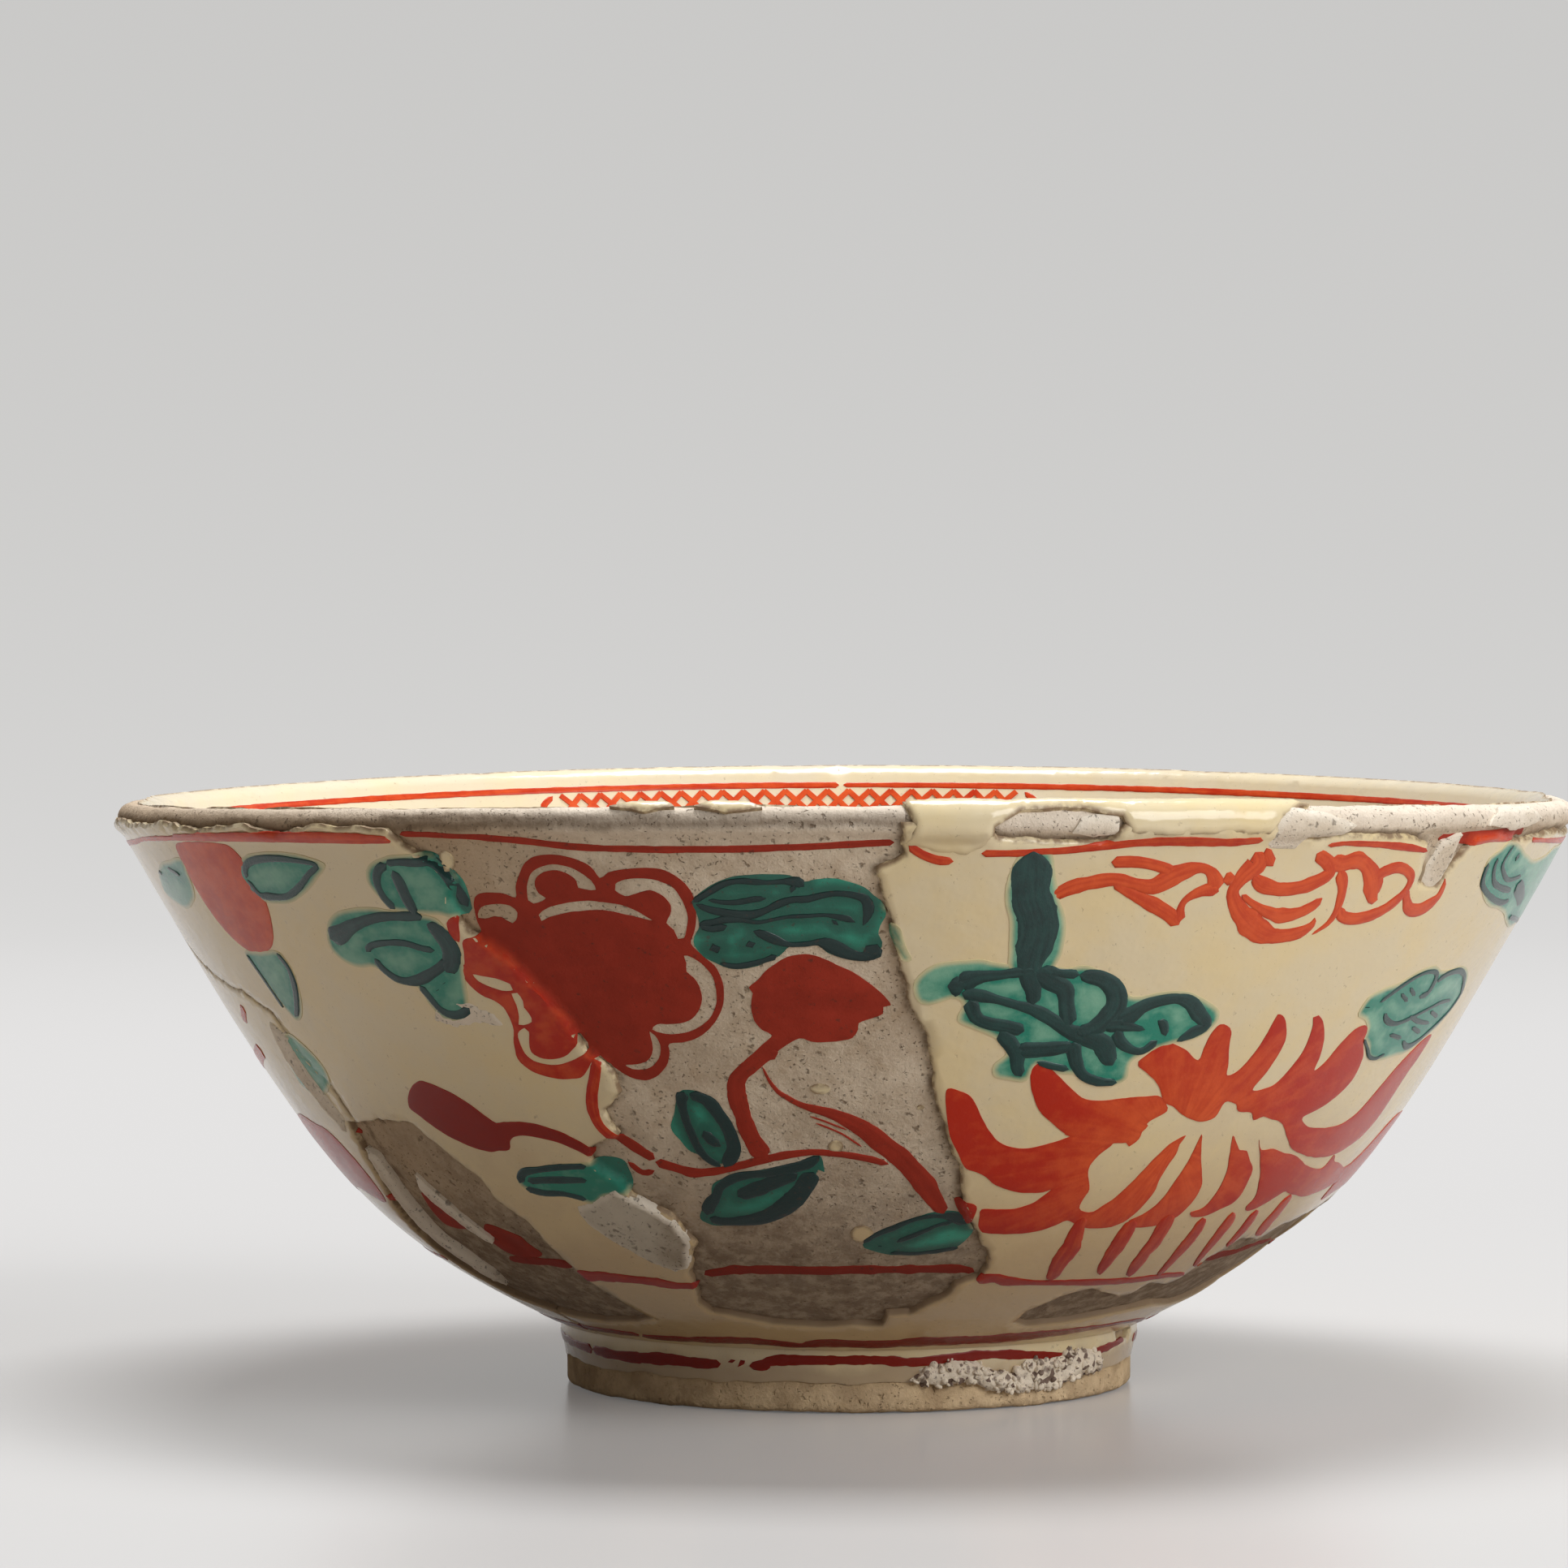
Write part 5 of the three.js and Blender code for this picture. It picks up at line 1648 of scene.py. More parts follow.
    def filled(self, outline: Outline, holes: Sequence[Outline] = ()) -> Shape:
        """A shape filled with paint, less its holes.

        Args:
            outline: Turns and runs round its edge.
            holes: Outlines inside it that stay bare.

        Returns:
            The fill as a closed shape.
        """
        self.seed += 1
        smooth = [smooth_line(np.array(o, float) + (self.turn, 0), True, self.spacing) for o in (outline, *holes)]
        loops = [ragged(o, self.fill_ragged, self.seed + 40 * i, self.spacing) for i, o in enumerate(smooth)]
        scale = SKIN.scale_at((loops[0][:, 1].min() + loops[0][:, 1].max()) / 2)
        flat, edge = patch(loops, self.fill_spacing, self.seed, self.fill_margin, scale)
        edge[np.unique(flat.rim())] = 0
        turns, runs = flat.points.T
        face, glazed = GLAZING.face(turns, runs)
        uneven = 1 + 0.25 * lumps(SKIN.solid_place(turns, runs), 2.5, self.seed)
        top = face + self.thickness * uneven * smoothstep(edge, -0.6, 0.4)
        values = {"edge": edge, "glazed": glazed, "depth": self.depths(turns, runs), "flow": self.flow(turns, runs)}
        return layer(flat, top, face - self.sunk, values)

    def depths(self, turns: np.ndarray, runs: np.ndarray) -> np.ndarray:
        """How thickly the paint lies: thicker round the strokes it was drawn with, thinner by its centre."""
        depth = np.full(len(turns), self.depth)
        if self.along:
            lines = [smooth_line(np.array(o, float)[:, :2] + (self.turn, 0), False, 0.5) for o in self.along]
            depth += (1 - self.depth) * (1 - smoothstep(nearest(pairs(turns, runs), lines, False), 0.5, 2.2))
        if self.centre is not None:
            wide = (turns - self.turn - self.centre[0]) * SKIN.per_degree(runs)
            away = np.hypot(wide, runs - self.centre[1])
            depth += self.centre_fade * (smoothstep(away, *self.reach) - 0.5)
        return depth


@dataclass
class Palette:
    """The enamels, how far what they paint is turned from the front, and what its names end with."""

    finishes: dict[Slot, EnamelFinish] = field(default_factory=lambda: {
        Slot.RED: EnamelFinish(
            "red_enamel", thick=(0.50, 0.026, 0.008), thin=(0.74, 0.11, 0.028), on_clay=(0.31, 0.030, 0.015),
            rim=(0.42, 0.024, 0.008), gloss=0.2),
        Slot.GREEN: EnamelFinish(
            "green_enamel", thick=(0.015, 0.24, 0.165), thin=(0.20, 0.46, 0.33), on_clay=(0.028, 0.29, 0.20),
            rim=(0.05, 0.30, 0.20), soft_edge=0.9, roughness=0.12, clay_roughness=0.25, clay_gloss=0.4,
            patchy=1.5, deepest=0.4),
        Slot.DARK: EnamelFinish(
            "dark_enamel", thick=(0.006, 0.03, 0.028), thin=(0.015, 0.075, 0.066), on_clay=(0.004, 0.022, 0.02),
            rim=(0.01, 0.07, 0.06), roughness=0.14, clay_roughness=0.3, clay_gloss=0.4)})
    turn: float = 0.0
    suffix: str = ""
    made: dict[Slot, bpy.types.Material] = field(default_factory=dict)

    def material(self, enamel: Slot) -> bpy.types.Material:
        """The enamel's material, made when it is first used."""
        if enamel not in self.made:
            self.made[enamel] = self.finishes[enamel].material()
        return self.made[enamel]

    def lay(self, name: str, enamel: Slot, brush: Brush, fills: Sequence[Outline] = (),
            strokes: Sequence[Stroke] = (), holes: Sequence[Outline] = ()) -> None:
        """Paints one piece with one enamel, and settles it.

        Args:
            name: The piece's name.
            enamel: What it is painted with.
            brush: What it is painted by.
            fills: Its filled shapes.
            strokes: Its strokes, which come after them.
            holes: What stays bare in the first filled shape.
        """
        brush.turn = self.turn
        shapes = [brush.filled(fill, () if i else holes) for i, fill in enumerate(fills)]
        shapes += [brush.stroke(stroke) for stroke in strokes]
        piece = make_object(name + self.suffix, Shape.together(shapes), self.material(enamel))
        settle(piece, enamel)


@dataclass
class RedLines:
    """The red lines that frame the painting, under the lip, above the foot, on its ledge and on its side."""

    upper: tuple[Stroke, ...] = (
        ((-88, 91.4, .35), (-81, 91.8, .35), (-75, 92.4, .4), (-70, 93.3, .45), (-63, 93.8, .45),
        (-55, 94.1, .5), (-43, 94.1, .6), (-36.5, 93.9, .55), (-35.5, 93.9, .4)),
        ((-34.8, 94.1, .45), (-30, 93.8, .45), (-25, 92.9, .45), (-20, 91.9, .4), (-15, 91.6, .4),
        (-10, 91.55, .4), (-5, 91.75, .38), (0, 92.2, .38), (3, 92.5, .35)),
        ((4, 92.6, .5), (4.9, 91.4, .5), (6.1, 90.5, .5), (7.3, 90.3, .4)),
        ((9.3, 91.4, .4), (12.2, 91.4, .4), (13.5, 91.6, .4), (15.6, 91.8, .45), (18.3, 92.4, .5),
        (20.6, 93, .6), (23.5, 93.3, .75), (26.2, 93.2, .75), (28.8, 93.1, .65), (31.2, 93.5, .6)),
        ((37.5, 92.3, .3), (39.1, 92.7, .4), (41.2, 92.6, .45), (44, 92.3, .5), (46.2, 91.9, .5),
        (48.8, 91.3, .25)),
        ((50.4, 92.6, .6), (53.5, 92.6, .7), (57.7, 93.2, .75), (60, 93.3, .75), (62.9, 93.6, .6),
        (64, 93, .3)), ((66, 92.4, .3), (80, 91.8, .4), (100, 91.9, .45), (125, 92.2, .5), (147, 92, .45)),
        ((150.5, 92, .45), (180, 92.6, .5), (215, 92.4, .45), (245, 92.2, .5), (268, 91.9, .4)))
    lower: tuple[Stroke, ...] = (
        ((-50, 23.2, .5), (-45, 23.4, .8), (-38.4, 23.4, .8)),
        ((-38.2, 21.9, 1.0), (-34.3, 22.2, 1.0), (-30, 22, .95), (-26.4, 21.6, .85), (-23.6, 20.9, .8),
        (-20.3, 21, .5)),
        ((-19.2, 22.5, .6), (-16.4, 23.4, .7), (-12.9, 23.9, .8), (-.4, 24.1, .8), (12.1, 24.1, .8),
        (15.4, 23.5, .5)),
        ((15.7, 22.8, 1), (18.2, 23, .9), (19.9, 22.2, .8), (22.5, 21.7, .65), (25.6, 21.3, .6),
        (34.3, 20.7, .6), (40, 20.5, .6), (46.4, 20.9, .55), (50.4, 20.5, .4)),
        ((51, 22.6, .4), (53, 23, .6), (55.4, 23, .8), (60.2, 23.4, .6), (65, 24.2, .5), (72, 24.3, .4)),
        ((90, 22, .6), (120, 21.8, .7), (146.5, 22.4, .6)),
        ((150, 22.2, .6), (185, 21.6, .7), (225, 22, .6), (262, 22, .6), (290, 21.6, .5)))
    ledge: tuple[Stroke, ...] = (
        ((-41.6, 2.9, .6), (-37.9, 2.8, .7), (-30.7, 3.1, .8), (-20, 3.8, 1), (-14.6, 3.4, 1),
        (-9.3, 2.6, .8), (-4.6, 3.6, 1.1), (5, 3.1, 1.1), (12.1, 3.7, 1.3), (26.4, 3.8, 1.3),
        (40.7, 4.4, 1.2), (49.6, 5, .6), (62.1, 5, .5), (69.3, 3.4, .5)),
        ((74, 3.6, .6), (110, 3.8, 1), (150, 3.4, .9)),
        ((152, 3.6, .9), (200, 3.8, 1), (260, 3.6, .9), (318, 3.4, .7)))
    foot: tuple[Stroke, ...] = (
        ((-61.6, -2.8, .5), (-50, -3, .6), (-37.9, -2.7, .65), (-30.7, -2.9, .6), (-26, -2.8, .4)),
        ((-24.4, -2.5, .2), (-22.8, -2.2, .3)), ((-22.4, -3.1, .2), (-21.4, -2.4, .3), (-20.8, -2.2, .2)),
        ((-20, -2.9, .3), (-17, -2.7, .6), (-14.6, -2.0, .55), (-2.1, -1.85, .5), (5, -1.85, .5),
        (12.1, -2.2, .5), (19.3, -1.8, .5), (27.9, -1.6, .5), (38.9, -2.2, .5), (51.4, -3.1, .5),
        (59.3, -2.6, .5), (70, -1.9, .3)),
        ((78, -2.4, .45), (120, -2.6, .5), (170, -2.3, .5), (220, -2.7, .5), (270, -2.4, .5),
        (298, -2.8, .5)))

    def build(self, palette: Palette) -> None:
        """Paints the lines."""
        palette.lay("red_line_under_lip", Slot.RED, Brush(depth=0.55, heavy=1.2), strokes=self.upper)
        brush = Brush(depth=0.98, heavy=1.25, wobble=0.2)
        palette.lay("red_line_above_foot", Slot.RED, brush, strokes=self.lower)
        brush.depth = 1.3
        palette.lay("red_line_on_ledge", Slot.RED, brush, strokes=self.ledge)
        palette.lay("red_line_on_foot", Slot.RED, brush, strokes=self.foot)


@dataclass
class Peony:
    """The big red bloom in the front window, scalloped and reserved with pale lines, and its stalk."""

    bloom: Outline = (
        (-30.3, 83.9), (-29.8, 85), (-28.9, 85.4), (-27.6, 85.3), (-26.5, 84.6), (-26.2, 86.1), (-25.6, 88),
        (-24.8, 89.7), (-23.7, 90.7), (-22.2, 90.9), (-20.8, 90.3), (-19.7, 89.1), (-19.1, 87.4),
        (-18.4, 88.2), (-17.1, 88.7), (-15.6, 88.9), (-14.2, 88.7), (-13, 87.5), (-12.2, 85.7), (-12, 83.6),
        (-12.1, 81.4), (-12.4, 79.6), (-12.8, 78), (-12, 76.4), (-11.1, 74.9), (-10.7, 73), (-10.6, 70.8),
        (-10.9, 68.6), (-11.7, 66.4), (-13, 64.6), (-14.4, 63.5), (-16, 63.2), (-16.2, 61.7), (-16.7, 59.7),
        (-17.8, 58.2), (-19, 57.6), (-20.3, 58), (-21.4, 59.2), (-22.1, 60.5), (-23, 61.3), (-24.4, 58.8),
        (-25.3, 58.2), (-26.7, 58.1), (-28.3, 58.4), (-29.6, 59.2), (-30.5, 60.5), (-30.7, 61.7),
        (-30.5, 63.6), (-30.1, 65.5), (-30.1, 67.4), (-30.3, 68.9), (-31, 69.9), (-32.1, 70.7),
        (-32.9, 72.1), (-33.4, 73.9), (-33.3, 75), (-32.7, 75.2), (-32.4, 76.8), (-32, 78.8), (-30.6, 79.5),
        (-30.6, 81))
    reserved: tuple[Outline, ...] = (
        ((-30.4, 81.6), (-30.1, 82.8), (-29.4, 83.6), (-28.3, 83.8), (-27.2, 83.5), (-26.7, 82.5),
        (-27, 81.4), (-27.4, 80.9), (-27.9, 81.3), (-28.3, 81.8), (-28.9, 81.9), (-29.8, 81.5)),
        ((-25.5, 84.2), (-25.4, 85.5), (-25.1, 86.9), (-24.6, 88.2), (-23.7, 89.1), (-22.6, 89.5),
        (-21.5, 89.2), (-20.6, 88.5), (-19.8, 87.2), (-19.6, 85.8), (-20.5, 85.9), (-21, 86.1), (-21, 87.1),
        (-21.5, 88), (-22.4, 88.6), (-23.5, 88.4), (-24.3, 87.5), (-24.6, 86.4), (-24.4, 85.2),
        (-23.9, 84.5), (-24.6, 83.9), (-25.1, 83.7)),
        ((-24.9, 82.1), (-23.9, 83.3), (-22.4, 83.9), (-20.8, 84.2), (-19.2, 84), (-17.6, 83.5),
        (-16.4, 82.5), (-15.5, 81.4), (-16.4, 81.8), (-17.6, 82.2), (-19.2, 82.8), (-20.8, 82.8),
        (-22.4, 82.5), (-23.9, 81.9), (-24.8, 81.2)),
        ((-18.1, 85.7), (-18, 86.6), (-17.1, 87.2), (-15.8, 87.4), (-14.6, 87.1), (-13.5, 86),
        (-12.9, 84.2), (-12.7, 82.4), (-12.9, 80.5), (-13.3, 78.8), (-13.8, 78.6), (-14, 79.9), (-14.5, 81),
        (-14.1, 82.2), (-13.9, 83.6), (-14.4, 84.9), (-15.3, 85.7), (-16.5, 85.2), (-17.4, 84.9)),
        ((-13.5, 76.3), (-12.8, 76), (-11.9, 74.7), (-11.3, 73), (-11.2, 70.8), (-11.5, 68.6),
        (-12.4, 66.6), (-13.7, 65.2), (-15.1, 64.6), (-16.4, 64.7), (-17.3, 65.3), (-16.8, 66.1),
        (-15.5, 66.1), (-14, 66.6), (-13, 68), (-12.5, 69.9), (-12.6, 71.8), (-13, 73), (-13.5, 73.9),
        (-13.4, 75.2)),
        ((-17.6, 65), (-17.2, 64.4), (-16.9, 63), (-17.1, 61.4), (-17.8, 59.9), (-18.9, 59.1),
        (-19.9, 59.2), (-20.5, 59.9), (-19.4, 60), (-18.4, 60.5), (-17.8, 61.6), (-17.6, 63)),
        ((-29.8, 64.9), (-29.9, 63), (-29.6, 61.4), (-28.7, 60.5), (-27.4, 60.2), (-26, 60.5),
        (-24.6, 61.4), (-23.5, 62.5), (-23.7, 63.9), (-24.1, 64.9), (-24.2, 63.6), (-24.8, 62.7),
        (-25.8, 61.6), (-27.1, 61.1), (-28.3, 61.3), (-29, 62.2), (-28.9, 63.6), (-28.6, 65.2),
        (-28.9, 65.8)),
        ((-29.1, 71), (-28.5, 71.1), (-28.2, 69.9), (-28.3, 68.9), (-28, 68), (-28, 66.8), (-28.9, 66.2),
        (-29.4, 66.3), (-29.1, 67.4), (-29, 69.2)),
        ((-32.3, 73.8), (-31.5, 73.6), (-30.1, 73.2), (-28.9, 72.4), (-28.8, 71.5), (-29.9, 71.4),
        (-31.2, 72.1), (-32, 72.8)))
    petal: Outline = ((-33.1, 81.4), (-31.9, 82.4), (-32.1, 80.5), (-32.5, 78.6), (-33, 79))
    stalk: tuple[Stroke, ...] = (
        ((-23.2, 61.2, .8), (-23, 60.5, .8), (-23.5, 58.4, .8), (-24.2, 55.9, .8), (-24.6, 53.4, .8),
        (-24.4, 50.9, .8), (-23.4, 48.9, .7), (-22.2, 47.3, .8), (-21, 45.9, .8), (-20, 45, .8)),
        ((-23, 44.4, .4), (-21.8, 42.6, .5), (-20.4, 43, .4)))

    def build(self, palette: Palette) -> None:
        """Paints the bloom and its stalk."""
        brush = Brush(depth=0.8, seed=200)
        palette.lay("red_peony", Slot.RED, brush, (self.bloom, self.petal), self.stalk, self.reserved)


@dataclass
class Branches:
    """The bud, the red leaf and the stems round the peony."""

    left_bud: Outline = (
        (-46.7, 52.6), (-46, 54.4), (-44.8, 55.9), (-43.4, 56.9), (-42, 56.6), (-40.6, 55.7), (-39.2, 54.6),
        (-37.8, 53), (-36.8, 51.6), (-36, 50.7), (-35, 51), (-33.2, 51.1), (-31.4, 50.9), (-29.6, 50.1),
        (-28, 49.1), (-26.8, 47.8), (-26, 46.7), (-26.5, 45.7), (-27.6, 46.6), (-29.2, 47.8), (-31, 48.5),
        (-32.8, 48.9), (-34.2, 48.7), (-35.2, 47.8), (-35.8, 46.4), (-37.2, 46.1), (-38.8, 45.9),
        (-40.4, 46.4), (-42, 47.3), (-43.6, 48.4), (-45, 50.1), (-46.2, 51.7))
    leaf: Outline = (
        (-8.5, 71.7), (-7.7, 72.8), (-7, 74.1), (-6, 75.3), (-5.1, 76.1), (-4.1, 76.5), (-3.4, 76.5),
        (-2.6, 76.1), (-1.6, 75.3), (-.4, 74.2), (.7, 73), (1.7, 71.7), (2.6, 70.3), (3.1, 69), (2.5, 68.8),
        (2.5, 67.9), (1.6, 67.1), (.5, 66.4), (.4, 65.4), (-.1, 64.2), (-1.1, 63.8), (-2.3, 63.6),
        (-3.6, 63.7), (-4.6, 64.1), (-6, 62.8), (-7.1, 61.3), (-8.1, 60), (-9.6, 60.4), (-8.6, 61.9),
        (-7.9, 63), (-6.9, 64.5), (-7.7, 65.4), (-8.3, 66.7), (-8.5, 68.3), (-8.4, 69.6), (-8.2, 70.9))
    stems: tuple[Stroke, ...] = (
        ((-20, 44.5, .78), (-18.3, 43.7, .78), (-16.5, 42.9, .78), (-14.8, 42.9, .7), (-12.9, 43.4, .6),
        (-11, 44.2, .6), (-9.2, 45, .6), (-7.5, 45.6, .6), (-5.8, 46.1, .55), (-3.8, 46.4, .5),
        (-1.9, 46.2, .5), (0, 45.8, .5), (1.7, 45.3, .5), (2.9, 44.7, .5), (3.5, 44.5, .3)),
        ((-6.5, 62, 1), (-7.5, 61.7, 1), (-8.6, 60.4, 1), (-9.8, 58.9, 1), (-10.5, 57.3, 1.1),
        (-10.6, 54.8, 1.25), (-10.3, 52, 1.2), (-10, 49.5, 1.2), (-9.4, 47.3, 1.3), (-8.8, 45.4, 1.5)),
        ((-8, 59.8, .12), (-7.6, 57.9, .2), (-6.9, 56.1, .3), (-5.8, 54.8, .4), (-4.8, 53.9, .45),
        (-3.3, 53.2, .6), (-1.9, 52.5, .8), (-.2, 51.2, 1.1), (1.5, 49.5, 1.3), (2.9, 47.6, 1.4),
        (4.4, 45.8, 1.4), (5.8, 43.6, 1.45), (7.1, 41.4, 1.5), (8.1, 39.2, 1.3), (9.2, 37, 1),
        (9.8, 35.8, .8)), ((-3.5, 51.1, .12), (-1.4, 49.6, .15), (.8, 47.3, .12)),
        ((-4, 52.2, .1), (-2.4, 51.2, .14), (-.6, 50, .1)))

    def build(self, palette: Palette) -> None:
        """Paints them."""
        brush = Brush(depth=1.35, seed=260)
        palette.lay("red_bud_left", Slot.RED, brush, [self.left_bud])
        brush.depth = 0.75
        palette.lay("red_leaf", Slot.RED, brush, [self.leaf])
        palette.lay("red_stems", Slot.RED, brush, strokes=self.stems)


@dataclass
class Leaves:
    """One group of green leaves: pools of green, and the dark strokes that outline and vein them."""

    name: str
    pools: tuple[Outline, ...]
    strokes: tuple[Stroke, ...]
    depth: float = 0.5
    seed: int = 300

    def build(self, palette: Palette) -> None:
        """Paints the pools, then the strokes over them."""
        pool = Brush(depth=self.depth, seed=self.seed, along=self.strokes)
        palette.lay("green_" + self.name, Slot.GREEN, pool, self.pools)
        line = Brush(thickness=0.19, depth=0.7, heavy=1.35, seed=self.seed + 50)
        palette.lay("dark_" + self.name, Slot.DARK, line, strokes=self.strokes)


